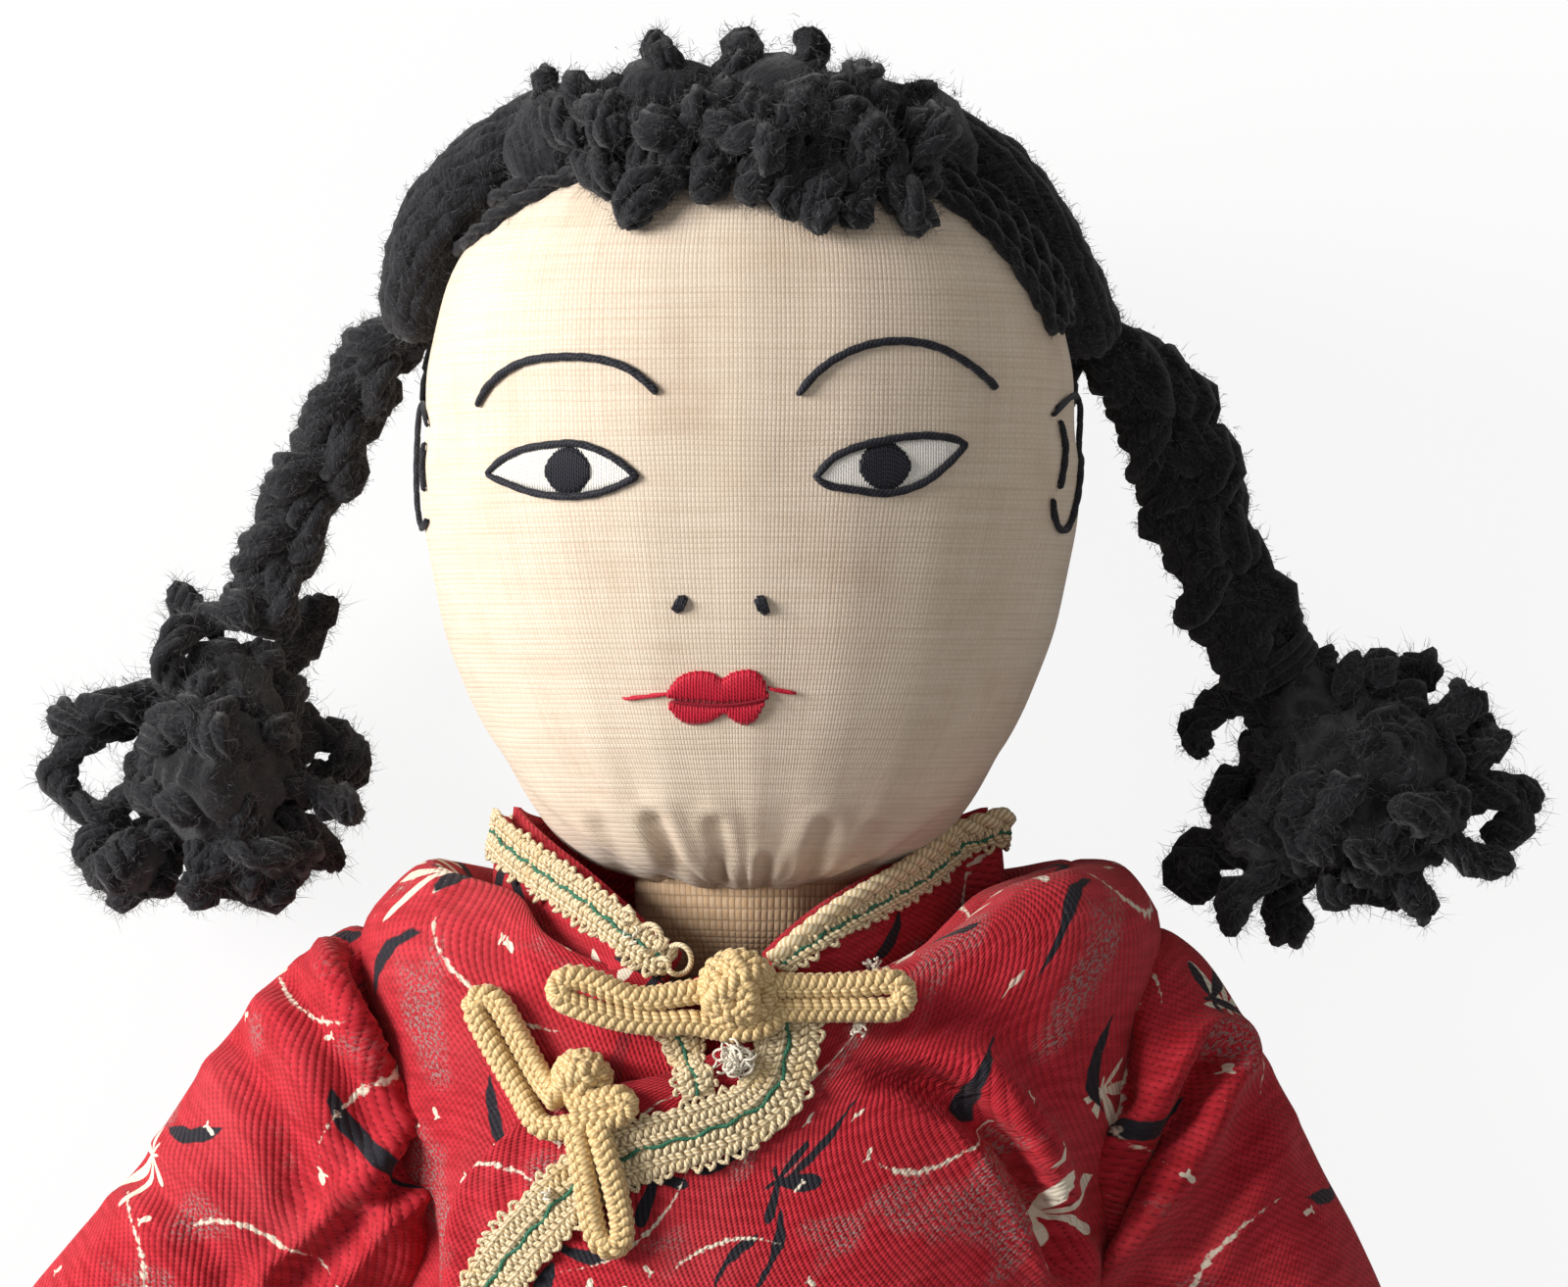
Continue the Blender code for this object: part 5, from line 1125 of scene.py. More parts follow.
# %% Shoes
for side in ("right", "left"):
    for part, look, slot_name in (("_shoe", SHOE_CLOTH, "black_shoe_cloth"),
            ("_shoe_sole", SOLE_CLOTH, "cream_cotton")):
        shoe = drawn_sphere(side + part + "_cloth", side + part, 48, 36, relax=3)
        apply(shoe, "SUBSURF", levels=1, render_levels=1)
        ripple(shoe, 0.00015, 200, (1, 1, 1), 1.0)
        keep_above_floor(shoe, 0.0)
        finish_piece(shoe, look, slot_name, side + "_leg", (side + part,))

# %% [markdown]
# ## Round threads, cords and yarns
# Stitches, cords and wool are all round things that follow a line. One helper sweeps a ring along
# many lines at once and keeps the rings from twisting; its UV map runs round and along in metres.

# %% Lines and round threads
def across_of(paths):
    """Two directions across each path at every point, carried along without twist."""
    along = np.gradient(paths, axis=1)
    along /= np.linalg.norm(along, axis=2, keepdims=True) + 1e-12
    first = np.cross(along[:, 0], (0.31, 0.53, 0.79))
    carried = [first / np.linalg.norm(first, axis=1, keepdims=True)]
    for i in range(1, paths.shape[1]):
        side = carried[-1] - along[:, i] * (carried[-1] * along[:, i]).sum(1, keepdims=True)
        carried.append(side / (np.linalg.norm(side, axis=1, keepdims=True) + 1e-12))
    side = np.stack(carried, 1)
    return along, side, np.cross(along, side)


class Threads:
    """Gathers round threads, and makes them one mesh."""

    def __init__(self, sides=8):
        self.sides, self.points, self.faces, self.uvs, self.count = sides, [], [], [], 0

    def add(self, paths, radii):
        paths = np.asarray(paths, float)
        if paths.ndim == 2:
            paths = paths[None]
        many, length = paths.shape[:2]
        radii = np.broadcast_to(np.asarray(radii, float), (many, length))
        _, side, other = across_of(paths)
        turns = np.linspace(0, 2 * math.pi, self.sides, endpoint=False)
        ring = side[:, :, None] * np.cos(turns)[:, None] + other[:, :, None] * np.sin(turns)[:,
            None]
        points = paths[:, :, None] + ring * radii[:, :, None, None]
        self.points.append(points.reshape(-1, 3))
        index = np.arange(many * length * self.sides).reshape(many, length, self.sides) + self.count
        self.count += index.size
        near, far = index[:, :-1], index[:, 1:]
        quads = np.stack([near, np.roll(near, -1, 2), np.roll(far, -1, 2), far], -1).reshape(-1, 4)
        runs = np.concatenate([np.zeros((many, 1)),
            np.cumsum(np.linalg.norm(np.diff(paths, axis=1), axis=2), axis=1)], 1)
        round_share = np.arange(self.sides) / self.sides
        u = np.broadcast_to(round_share, (many, length - 1, self.sides))
        v0 = np.broadcast_to(runs[:, :-1, None], u.shape)
        v1 = np.broadcast_to(runs[:, 1:, None], u.shape)
        step = 1 / self.sides
        uv = np.stack([np.stack(p, -1) for p in ((u, v0), (u + step, v0), (u + step, v1), (u, v1))],
            -2)
        self.faces += quads.tolist()
        self.uvs.append(uv.reshape(-1, 2))
        caps = np.concatenate([index[:, 0, ::-1], index[:, -1]], 0)
        self.faces += caps.tolist()
        self.uvs.append(np.zeros((caps.size, 2)))
        return self

    def make(self, name, rough=0.0):
        mesh = bpy.data.meshes.new(name)
        points = np.concatenate(self.points)
        if rough:
            points += np.array([noise.noise_vector(Vector(p) * 1300) for p in points]) * rough
            points[:, 2] = np.maximum(points[:, 2], 0.0)
        mesh.from_pydata(points.tolist(), [], self.faces)
        layer = mesh.uv_layers.new(name="UVMap")
        layer.data.foreach_set("uv", np.concatenate(self.uvs).ravel())
        made = bpy.data.objects.new(name, mesh)
        bpy.context.collection.objects.link(made)
        return made


def plies(path, count, off, pitch):
    """Lines that wind round a path, as the plies of a yarn do."""
    path = np.asarray(path, float)
    _, side, other = across_of(path[None])
    runs = run_along(path)
    wound = []
    for k in range(count):
        turn = 2 * math.pi * runs / pitch + 2 * math.pi * k / count
        wound.append(path + off * (np.cos(turn)[:, None] * side[0]
            + np.sin(turn)[:, None] * other[0]))
    return wound


def on_ground(places, ground, lift, step=0.0006, otherwise=FACE_Z):
    """A line through pixels, laid on the ground."""
    pixel_line = line_through(places, step / PIXEL)
    laid = [spot(px, py, ground, lift, otherwise) for px, py in pixel_line]
    points = np.array([tuple(place) for place, _ in laid])
    normals = np.array([tuple(normal) for _, normal in laid])
    for _ in range(3):
        even(points)
        even(normals)
    return points, normals / np.linalg.norm(normals, axis=1, keepdims=True)


print("thread helpers ready")

# %% [markdown]
# ## The embroidered face
# The brows, eyes and ears are lines of stem stitch: short slanted stitches that overlap like a
# rope. The pupils and lips are satin stitch, close threads side by side. Each is laid where the
# photograph shows it, on the rounded cloth of the head.

# %% Stem stitch and satin stitch
def stem_stitch(name, lines, nodes, look=BLACK_THREAD, slot_name="black_thread", wide=0.00080):
    """Short slanted stitches that overlap along some lines."""
    threads = Threads(8)
    for line in lines:
        points, normals = on_ground(line, on_head, 0.0, 0.00035)
        along, _, _ = across_of(points[None])
        side = np.cross(along[0], normals)
        stitch, start = 7, -3
        while start < len(points) - 3:
            span = np.clip(np.arange(start, start + stitch + 4), 0, len(points) - 1)
            if len(set(span)) > 3:
                share = np.linspace(-1, 1, len(span))
                lift = 0.00016 + 0.00020 * (1 - share**2)
                place = points[span] + normals[span] * lift[:,
                    None] + side[span] * (share * wide * 0.20)[:, None]
                thread_path = line_through(place, 0.0004)
                taper = np.sin(np.linspace(0.35, math.pi - 0.35,
                    len(thread_path))) ** 0.4 * wide * 0.44
                threads.add(thread_path, taper)
            start += stitch - 2
    finish_piece(threads.make(name), look, slot_name, "head", nodes)


def satin_stitch(
    name, outlines, nodes, look=BLACK_THREAD, slot_name="black_thread",
    gap=2.3, radius=0.00017, slant=0.0, height=0.00042,
):
    """Close threads side by side that fill some outlines."""
    threads = Threads(6)
    for outline in outlines:
        edge = line_through(outline, 1.5, True)
        low, high = edge[:, 0].min(), edge[:, 0].max()
        for i, px in enumerate(np.arange(low + 1.0, high - 0.5, gap)):
            crossing = []
            for a, b in zip(edge, edge[1:]):
                if (a[0] - px) * (b[0] - px) <= 0 and a[0] != b[0]:
                    crossing.append(a[1] + (b[1] - a[1]) * (px - a[0]) / (b[0] - a[0]))
            if len(crossing) < 2:
                continue
            ends = (min(crossing) - 0.7 * (i % 2), max(crossing) + 0.7 * ((i + 1) % 2))
            path = []
            for share in np.linspace(0, 1, 7):
                py = ends[0] + (ends[1] - ends[0]) * share
                lift = 0.00005 + height * math.sin(math.pi * share) ** 0.45
                path.append(spot(px + slant * (share - 0.5), py, on_head, lift)[0])
            threads.add(np.array([tuple(p) for p in path]), radius)
    finish_piece(threads.make(name), look, slot_name, "head", nodes)


EYE_WHITE = thread("white_embroidery", (0.88, 0.86, 0.82), (0.74, 0.70, 0.64), 0.7, 0.1)
RIGHT_EYE = ((501, 484), (514, 472), (537, 461), (565, 456), (590, 455), (613, 463), (632, 474),
    (646, 486), (628, 494), (604, 501), (575, 503), (546, 499), (521, 491))
LEFT_EYE = ((835, 487), (850, 471), (872, 460), (901, 452), (940, 447), (968, 449), (981, 454),
    (963, 472), (939, 490), (905, 500), (871, 497), (847, 493))
satin_stitch("right_eye_white", [RIGHT_EYE], (), EYE_WHITE, "cream_cotton", gap=2.6, height=0.00012)
satin_stitch("left_eye_white", [LEFT_EYE], (), EYE_WHITE, "cream_cotton", gap=2.6, height=0.00012)
stem_stitch("right_brow_stitches", [((490, 414), (497, 398), (515, 380), (540, 368), (575, 364),
    (610, 366), (640, 375), (658, 388), (670, 400))], ("right_brow",))
stem_stitch("left_brow_stitches", [((815, 403), (828, 385), (852, 366), (885, 352), (920, 348),
    (955, 354), (985, 370), (1002, 383), (1014, 395))], ("left_brow",))
stem_stitch("right_eye_stitches", [((499, 484), (512, 470), (535, 458), (565, 453), (590, 452),
    (615, 460), (635, 472), (650, 486)), ((499, 484), (520, 493), (545, 502), (575, 506),
    (605, 504), (630, 496), (650, 486))], ("right_eye_outline",), wide=0.00072)
stem_stitch("left_eye_stitches", [((832, 487), (848, 468), (870, 457), (900, 449), (940, 444),
    (970, 447), (984, 453)), ((832, 487), (845, 495), (870, 499), (905, 503), (940, 493),
    (965, 474), (984, 453))], ("left_eye_outline",), wide=0.00076)
stem_stitch("right_ear_stitches", [((439, 434), (436, 420), (432, 408), (428, 420), (426, 450),
    (425, 480), (426, 515), (430, 538), (434, 541), (438, 530)),
    ((436, 452), (434, 470), (434, 485), (436, 500))], ("right_ear_outline",), wide=0.00060)
stem_stitch("left_ear_stitches", [((1072, 424), (1083, 410), (1097, 402), (1102, 415), (1101, 450),
    (1099, 490), (1095, 515), (1089, 535), (1083, 543), (1075, 533), (1072, 510)),
    ((1079, 430), (1084, 450), (1084, 470), (1079, 498))], ("left_ear_outline",), wide=0.00066)


def pupil_outline(px, py, wide, tall):
    return [(px + wide * math.sin(t), py - tall * math.cos(t))
        for t in np.linspace(0, 2 * math.pi, 14, endpoint=False)]


satin_stitch("right_pupil_stitches", [pupil_outline(581, 480, 22, 25)], ("right_pupil",))
satin_stitch("left_pupil_stitches", [pupil_outline(902, 475, 25, 25)], ("left_pupil",))
satin_stitch("right_nostril_stitches", [pupil_outline(694, 616, 6, 8)], ("right_nostril",),
    slant=-5)
satin_stitch("left_nostril_stitches", [pupil_outline(778, 617, 6, 9)], ("left_nostril",), slant=4)
UPPER_LIP = ((686, 711), (687, 699), (697, 689), (712, 685), (727, 687), (737, 693), (749, 686),
    (767, 684), (778, 692), (781, 703), (779, 713), (735, 716))
LOWER_LIP = ((687, 716), (690, 729), (703, 737), (721, 736), (733, 730), (740, 726), (748, 733),
    (760, 738), (771, 733), (776, 722), (777, 715), (735, 718))
satin_stitch("lip_stitches", [UPPER_LIP, LOWER_LIP], ("lips",), RED_THREAD, "red_thread", gap=3.0,
    radius=0.00020)
stem_stitch("mouth_line_stitches", [((637, 712), (655, 710), (672, 708), (686, 706)),
    ((784, 701), (797, 704), (812, 706))], ("mouth_line",), RED_THREAD, "red_thread", wide=0.00042)
# Painted shade: a dark red thread lies in the crease where the two lip fills meet.
parting_shade = on_ground(((685, 713), (710, 716), (738, 717), (765, 714), (784, 709)), on_head,
    0.00066)[0]
finish_piece(Threads(6).add(parting_shade, 0.00014).make("lip_shade_line"), LIP_SHADE_THREAD, "red_thread",
    "head")

# %% [markdown]
# ## The standing collar
# A band of the red twill, lined in plain red, stands round the neck: high at the sides and low at
# the front, where it is open. It leans out on the doll's right, so more of it shows there. It is
# a grid bent round the neck, given thickness, with its lining as a second sheet inside.

# %% Collar
def collar_point(turn, up, inset=0.0):
    """A place on the collar; up is 0 at the seam and 1 at the edge.

    The turn is 0 at the front and positive to the doll's left.
    """
    way = 1 if turn > 0 else -1
    bottom = seam_point(turn, 0.0003 - inset)
    if abs(turn) >= math.pi / 2:
        back = (abs(turn) - math.pi / 2) / (math.pi / 2)
        wide, deep = COLLAR_WIDE - inset, COLLAR_BACK - inset
        top = Vector((wide * math.sin(turn), 0.0522 - 0.0044 * back,
            NECK_AXIS_Z + deep * math.cos(turn)))
        return bottom.lerp(top, up)
    px, py = along_edge(COLLAR_EDGES[way][0], (abs(turn) - OPENING) / (math.pi / 2 - OPENING))
    top = at_height(px - way * inset / PIXEL, py,
        NECK_AXIS_Z + (COLLAR_FRONT - inset) * math.cos(turn))
    bulge = Vector((way * math.sin(abs(turn)), 0, math.cos(turn))) * 0.0007 * math.sin(math.pi * up)
    return bottom.lerp(top, up) + bulge


def collar_sheet(across, up):
    turn = OPENING + (2 * math.pi - 2 * OPENING) * across
    return collar_point(turn if turn <= math.pi else turn - 2 * math.pi, up)


def lining_sheet(across, up):
    turn = OPENING + (2 * math.pi - 2 * OPENING) * across
    place = collar_point(turn if turn <= math.pi else turn - 2 * math.pi, up, 0.0011)
    return place + Vector((0, 0.0009 * up, -0.0008))


COLLAR_FLAT = (0.118, 0.011)
for name, place, look, nodes in (
    ("collar_band", collar_sheet, PRINTED_TWILL, ("collar",)),
    ("collar_lining", lining_sheet, PLAIN_TWILL, ()),
):
    band = laid_grid(name, 150, 12, place, COLLAR_FLAT)
    face_out(band)
    apply(band, "SMOOTH", factor=0.5, iterations=2)
    ripple(band, 0.0005, 110, (1, 1, 1), 8.0)
    apply(band, "SOLIDIFY", thickness=CLOTH_THICKNESS, offset=0)
    finish_piece(band, look, "red_twill", "torso", nodes)
    if name == "collar_band":
        collar = band
on_cloth = surface(jacket, flap, collar)

# %% [markdown]
# ## Braided trim
# The trim is a flat braid. Each side of its middle has columns of short slanted stitches, which
# lean the other way in each next column, and small loops stand out unevenly along both edges. A
# green thread wanders down the middle. One helper works the braid along any line on the cloth.

# %% Trim
STITCH_PITCH = 0.00076


def braid_band(name, points, normals, half, columns, nodes, picot=(0.0006, 0.0006), seed=1,
        ground=None):
    """A flat braid along a line; picot is how tall its edge loops are on either side."""
    along = across_of(points[None])[0][0]
    side = np.cross(along, normals)
    runs = run_along(points)
    chance = np.random.default_rng(seed)
    offs = np.linspace(-half, half, 7)
    rise = np.zeros((len(points), len(offs)))
    if ground is not None:
        for i, point in enumerate(points):
            for j, off in enumerate(offs):
                here = Vector(point + side[i] * off)
                hit = ground.ray_cast(here + Vector((0, 0, 0.01)), (0, 0, -1), 0.02)[0]
                rise[i, j] = 0 if hit is None else np.clip(hit.z + 0.0003 - here.z, -0.0004, 0.0022)
        for _ in range(4):
            even(rise)
            even(rise.T)

    def at(run, off, up):
        run, off, up = np.broadcast_arrays(np.asarray(run, float), off, up)
        mixed_in = lambda table: np.stack([np.interp(run, runs, table[:, k]) for k in range(3)], -1)
        place = mixed_in(points) + mixed_in(side) * off[..., None] + mixed_in(normals) * up[...,
            None]
        column = np.clip((off / half + 1) / 2 * (len(offs) - 1), 0, len(offs) - 1.001)
        levels = np.stack([np.interp(run, runs, rise[:, j]) for j in range(len(offs))], -1)
        first = column.astype(int)
        share = column - first
        low = np.take_along_axis(levels, first[..., None], -1)[..., 0]
        high = np.take_along_axis(levels, first[..., None] + 1, -1)[..., 0]
        place[..., 2] += low * (1 - share) + high * share
        return place

    rows = max(12, len(points) // 2)
    grid = at(np.linspace(0, runs[-1], rows + 1)[:, None], np.linspace(-half, half, 9)[None] * 0.96,
        0.00012)
    tape = laid_grid(name + "_tape", 8, rows, lambda u,
        v: Vector(grid[int(round(v * rows)), int(round(u * 8))]), (2 * half, runs[-1]))
    face_out(tape)
    apply(tape, "SOLIDIFY", thickness=0.0005, offset=0)
    finish_piece(tape, TRIM_THREAD, "cream_braid", "torso")
    threads = Threads(6)
    share = np.linspace(-1, 1, 5)
    for way in (-1, 1):
        for column in range(columns):
            middle = half * (0.09 + (column + 0.5) * 0.90 / columns)
            starts = np.arange(STITCH_PITCH * (0.3 + 0.5 * (column % 2)),
                runs[-1] - STITCH_PITCH * 0.5, STITCH_PITCH)
            starts = starts + chance.normal(0, STITCH_PITCH * 0.06, len(starts))
            lean = (-1) ** column * STITCH_PITCH * 0.42
            run = starts[:, None] + lean * share[None]
            off = way * (middle + share[None] * half * 0.50 / columns) + chance.normal(0, 0.00004,
                (len(starts), 1))
            up = 0.00028 + 0.00026 * np.sqrt(1 - 0.85 * share**2)[None]
            threads.add(at(run, off, up), 0.00034 * (1 - 0.42 * share**2))
        path, run = [], 0.0002
        while run < runs[-1] - 0.001:
            tall = picot[0 if way < 0 else 1] * chance.uniform(0.15, 1.5)
            wide = chance.uniform(0.0007, 0.0012)
            lean = chance.uniform(-0.0003, 0.0003)
            for ahead, out, up in ((0, -0.0001, 0.0003), (0.22, 0.6, 0.0005), (0.5, 1.0, 0.0006),
                    (0.78, 0.6, 0.0004)):
                reach = half * 0.97 + (out if ahead == 0 else out * tall)
                path.append(at(run + ahead * wide + (lean if ahead == 0.5 else 0), way * reach, up))
            run += wide + chance.uniform(0.0001, 0.0005)
        threads.add(line_through(path, 0.0003), 0.00023)
    finish_piece(threads.make(name + "_threads"), TRIM_THREAD, "cream_braid", "torso", nodes)
    run = np.arange(0.0004, runs[-1], 0.0008)
    sway = 0.00020 * np.sin(run * 1900) + 0.0001 * np.sin(run * 700)
    wave = at(run, sway, 0.00058 + 0.0001 * np.sin(run * 2700))
    green = Threads(6).add(line_through(wave, 0.0004), 0.00020).make(name + "_green")
    finish_piece(green, GREEN_THREAD, "cream_braid", "torso")
    return tape


points, normals = on_ground(((690, 1045), (697, 1070), (706, 1092), (714, 1120)), on_cloth, 0.0003,
    0.0005)
inner_tape = braid_band("inner_trim", points, normals, 0.0016, 2, ("inner_trim",), seed=2,
    ground=on_cloth)
main_line = ((806, 1036), (804, 1070), (792, 1108), (765, 1136), (720, 1154), (672, 1168),
    (628, 1184), (590, 1210), (555, 1245), (525, 1280), (498, 1325), (486, 1400), (480, 1500),
    (481, 1600), (485, 1700), (491, 1800), (495, 1836))
points, normals = on_ground(main_line, on_cloth, 0.0003, 0.0005)
main_tape = braid_band("flap_trim", points, normals, 0.0027, 3, ("flap_trim",), seed=3,
    ground=on_cloth)


def along_collar(way, up, first=17, last=178):
    """A line round the collar at a share of its height, and the way out from the cloth there."""
    turns = np.radians(np.linspace(first, last, 60)) * way
    line = line_through([collar_point(turn, up) for turn in turns], 0.0005)
    upper = line_through([collar_point(turn, min(1.0, up + 0.15)) for turn in turns], 0.0005)
    upper = upper[np.linspace(0, len(upper) - 1, len(line)).round().astype(int)]
    out = np.cross(np.gradient(line, axis=0), upper - line)
    out /= np.linalg.norm(out, axis=1, keepdims=True) + 1e-12
    away = line - np.array((0, 0.045, NECK_AXIS_Z))
    out *= np.sign((out * away).sum(1, keepdims=True))
    for _ in range(6):
        out[1:-1] = (out[:-2] + out[1:-1] + out[2:]) / 3
    return line + out * 0.0005, out / np.linalg.norm(out, axis=1, keepdims=True)


points, normals = along_collar(-1, 0.84)
braid_band("collar_trim_right", points, normals, 0.0016, 2, ("collar_trim",),
    picot=(0.0008, 0.0005), seed=4)
points, normals = along_collar(1, 0.80)
braid_band("collar_trim_left", points, normals, 0.0008, 1, (), picot=(0.0003, 0.0006), seed=5)
points, normals = along_collar(1, 0.97)
threads = Threads(8)
for wound in plies(points + normals * 0.0002, 2, 0.00050, 0.0036):
    threads.add(line_through(wound, 0.0004), 0.00062)
finish_piece(threads.make("collar_edge_rope"), TRIM_THREAD, "cream_braid", "torso")
threads = Threads(8)
for px, py, size in ((663, 957, 0.0011), (692, 979, 0.0012), (640, 935, 0.0006),
        (676, 985, 0.0006)):
    middle = at_height(px, py, 0.0412)
    loop = [middle + Vector((math.cos(t) * size, math.sin(t) * size * 1.15,
        0.0004 * math.sin(2 * t))) for t in np.linspace(-2.4, 2.2, 16)]
    threads.add(line_through(loop, 0.0003), 0.00026)
finish_piece(threads.make("collar_big_loops"), TRIM_THREAD, "cream_braid", "torso")

# %% [markdown]
# ## Knotted frog fastenings
# Each frog is a doubled braided cord: one half folds back on itself, the other ends in a loop
# that goes round a knotted button. The cord shows four columns of slanted stitches, as a plaited
# cord does, and the knot shows as coils of it that lie round a ball, each tilted its own way.

# %% Frog cords
on_front = surface(jacket, flap, collar, main_tape, inner_tape)


def braided_cord(threads, path, radius, pitch=0.00088):
    """Four columns of slanted stitches round a core, as on a plaited cord."""
    _, side, other = across_of(path[None])
    runs = run_along(path)
    share = np.linspace(-1, 1, 5)
    for column in range(4):
        starts = np.arange(pitch * (0.25 + 0.5 * (column % 2)), runs[-1], pitch)
        run = starts[:, None] + (-1) ** column * pitch * 0.50 * share[None]
        turn = column * math.pi / 2 + share * math.pi / 4 * 1.1
        read = lambda table: np.stack([np.interp(run, runs, table[:, k]) for k in range(3)], -1)
        round_it = np.cos(turn)[None, :, None] * read(side[0]) + np.sin(turn)[None, :,
            None] * read(other[0])
        threads.add(read(path) + round_it * radius * 0.66, radius * 0.40 * (1 - 0.35 * share**2))
    threads.add(path, radius * 0.74)


def laid_cord(places, radius, lift, low):
    """A cord's path on the cloth, at an even height that is nowhere under low."""
    line = line_through(places, 0.0004 / PIXEL)
    heights = np.array([max(spot(px, py, on_front, 0.0, low)[0].z, low) for px,
        py in line]) + radius * 1.12 + lift
    for _ in range(40):
        even(heights)
    return np.array([tuple(at_height(px, py, z)) for (px, py), z in zip(line, heights)])


def knot_rings(centre, up, size, cord):
    """The coils that show on a button knot: rings round a ball, each tilted its own way."""
    up = Vector(up).normalized()
    side = up.cross(Vector((0.2, 1, 0))).normalized()
    other = up.cross(side)
    rings = []
    for tilt, turn, share in ((0.10, 0.3, 1.0), (1.15, 0.5, 0.93), (1.20, 2.3, 0.97),
            (0.62, 4.1, 0.90)):
        axis = up * math.cos(tilt) + (side * math.cos(turn)
            + other * math.sin(turn)) * math.sin(tilt)
        first = axis.cross(Vector((0.6, 0.3, 0.74))).normalized()
        second = axis.cross(first)
        reach, off = (size - cord) * share, (size - cord) * 0.10
        rings.append(np.array([tuple(centre + axis * off
            + (first * math.cos(t) + second * math.sin(t)) * reach)
            for t in np.linspace(0, 2 * math.pi, 50)]))
    return rings


def frog(name, halves, knot, knot_size, cord, low, nodes):
    for part, routes, node_name in halves:
        threads = Threads(6)
        for route, lift in routes:
            braided_cord(threads, laid_cord(route, cord, lift, low), cord)
        finish_piece(threads.make(name + part), GOLD_CORD, "gold_cord", "torso", (node_name,))
    centre, normal = spot(*knot, on_front, knot_size * 0.62)
    if centre.z < low + knot_size * 0.5:
        centre, normal = at_height(*knot, low + knot_size * 0.5), Vector((0, 0, 1))
    threads = Threads(6)
    for ring in knot_rings(centre, normal, knot_size, cord):
        braided_cord(threads, ring, cord)
    finish_piece(threads.make(name + "_knot"), GOLD_CORD, "gold_cord", "torso", nodes)
    deselect()
    bpy.ops.mesh.primitive_uv_sphere_add(segments=24, ring_count=16, radius=knot_size - cord * 1.25,
        location=centre)
    ball = bpy.context.object
    ball.name = name + "_knot_core"
    pick(ball)
    bpy.ops.object.transform_apply(location=True, rotation=True, scale=True)
    ripple(ball, 0.0003, 300)
    finish_piece(ball, GOLD_CORD, "gold_cord", "torso")


frog(
    "collar_frog",
    (
        ("_loop_cord", (
            (((724, 1010), (693, 1014), (664, 1019), (641, 1017), (620, 1008), (601, 1000),
            (584, 997), (573, 1001), (569, 1010), (573, 1019), (588, 1026), (612, 1034),
            (642, 1041), (672, 1044), (705, 1043), (730, 1048), (752, 1051), (778, 1046),
            (796, 1030)), 0.0),
        ), "collar_frog_loop"),
        ("_bar_cord", (
            (((785, 1005), (827, 1006), (868, 1005), (896, 1002), (911, 1001), (920, 1006),
            (923, 1015), (920, 1025), (910, 1030), (893, 1030), (865, 1030), (827, 1030),
            (785, 1029)), 0.0),
        ), "collar_frog_bar"),
    ),
    (753, 1009), 0.0039, 0.00128, 0.0412, ("collar_knot",),
)
frog(
    "chest_frog",
    (
        ("_loop_cord", (
            (((570, 1124), (556, 1106), (543, 1084), (531, 1062), (519, 1040), (510, 1025),
            (501, 1017), (490, 1017), (484, 1025), (488, 1039), (502, 1065), (518, 1093),
            (533, 1119), (544, 1140), (557, 1151), (582, 1149), (610, 1143), (632, 1138),
            (640, 1128), (634, 1119), (618, 1121), (600, 1129), (585, 1132)), 0.0003),
        ), "chest_frog_loop"),
        ("_bar_cord", (
            (((586, 1150), (593, 1182), (600, 1220), (606, 1252), (613, 1268), (624, 1273),
            (634, 1265), (634, 1243), (627, 1210), (618, 1178), (610, 1150)), 0.0004),
        ), "chest_frog_bar"),
    ),
    (599, 1101), 0.0031, 0.00125, 0.0300, ("chest_knot",),
)

# %% Loose sewing threads
threads = Threads(5)
chooser = random.Random(11)
for px, py, size, count in ((883, 984, 9, 9), (877, 1049, 9, 9), (752, 1082, 19, 46),
        (648, 962, 10, 3), (560, 1218, 8, 4), (640, 1262, 8, 5)):
    base, normal = spot(px, py, on_front)
    for _ in range(count):
        here = base + Vector((chooser.gauss(0, 0.3), chooser.gauss(0, 0.3),
            0)) * size * PIXEL + normal * 0.0004
        heading = Vector((chooser.gauss(0, 1), chooser.gauss(0, 1), 0.5)).normalized()
        walk = []
        for step in range(9):
            walk.append(tuple(here))
            heading = (heading + Vector((chooser.gauss(0, 0.55), chooser.gauss(0, 0.55),
                chooser.gauss(0, 0.30)))).normalized()
            pull = (base + normal * 0.0011 - here) / (size * PIXEL)
            heading = (heading + pull * 0.55).normalized()
            here = here + heading * size * PIXEL * 0.30
        threads.add(line_through(walk, 0.0003), 0.00012)
finish_piece(threads.make("loose_threads"), WHITE_THREAD, "cream_braid", "torso")

# %% [markdown]
# ## Black wool hair
# The hair is thick, soft wool. A roll of yarns lies over the forehead, yarns cover the back of
# the head, short cut ends stand up and fall forward as a fringe, and two braids end in bushy
# tassels. What makes it wool is its halo, so thousands of fine curled fibres, each with only a
# few faces, stand out from every yarn.

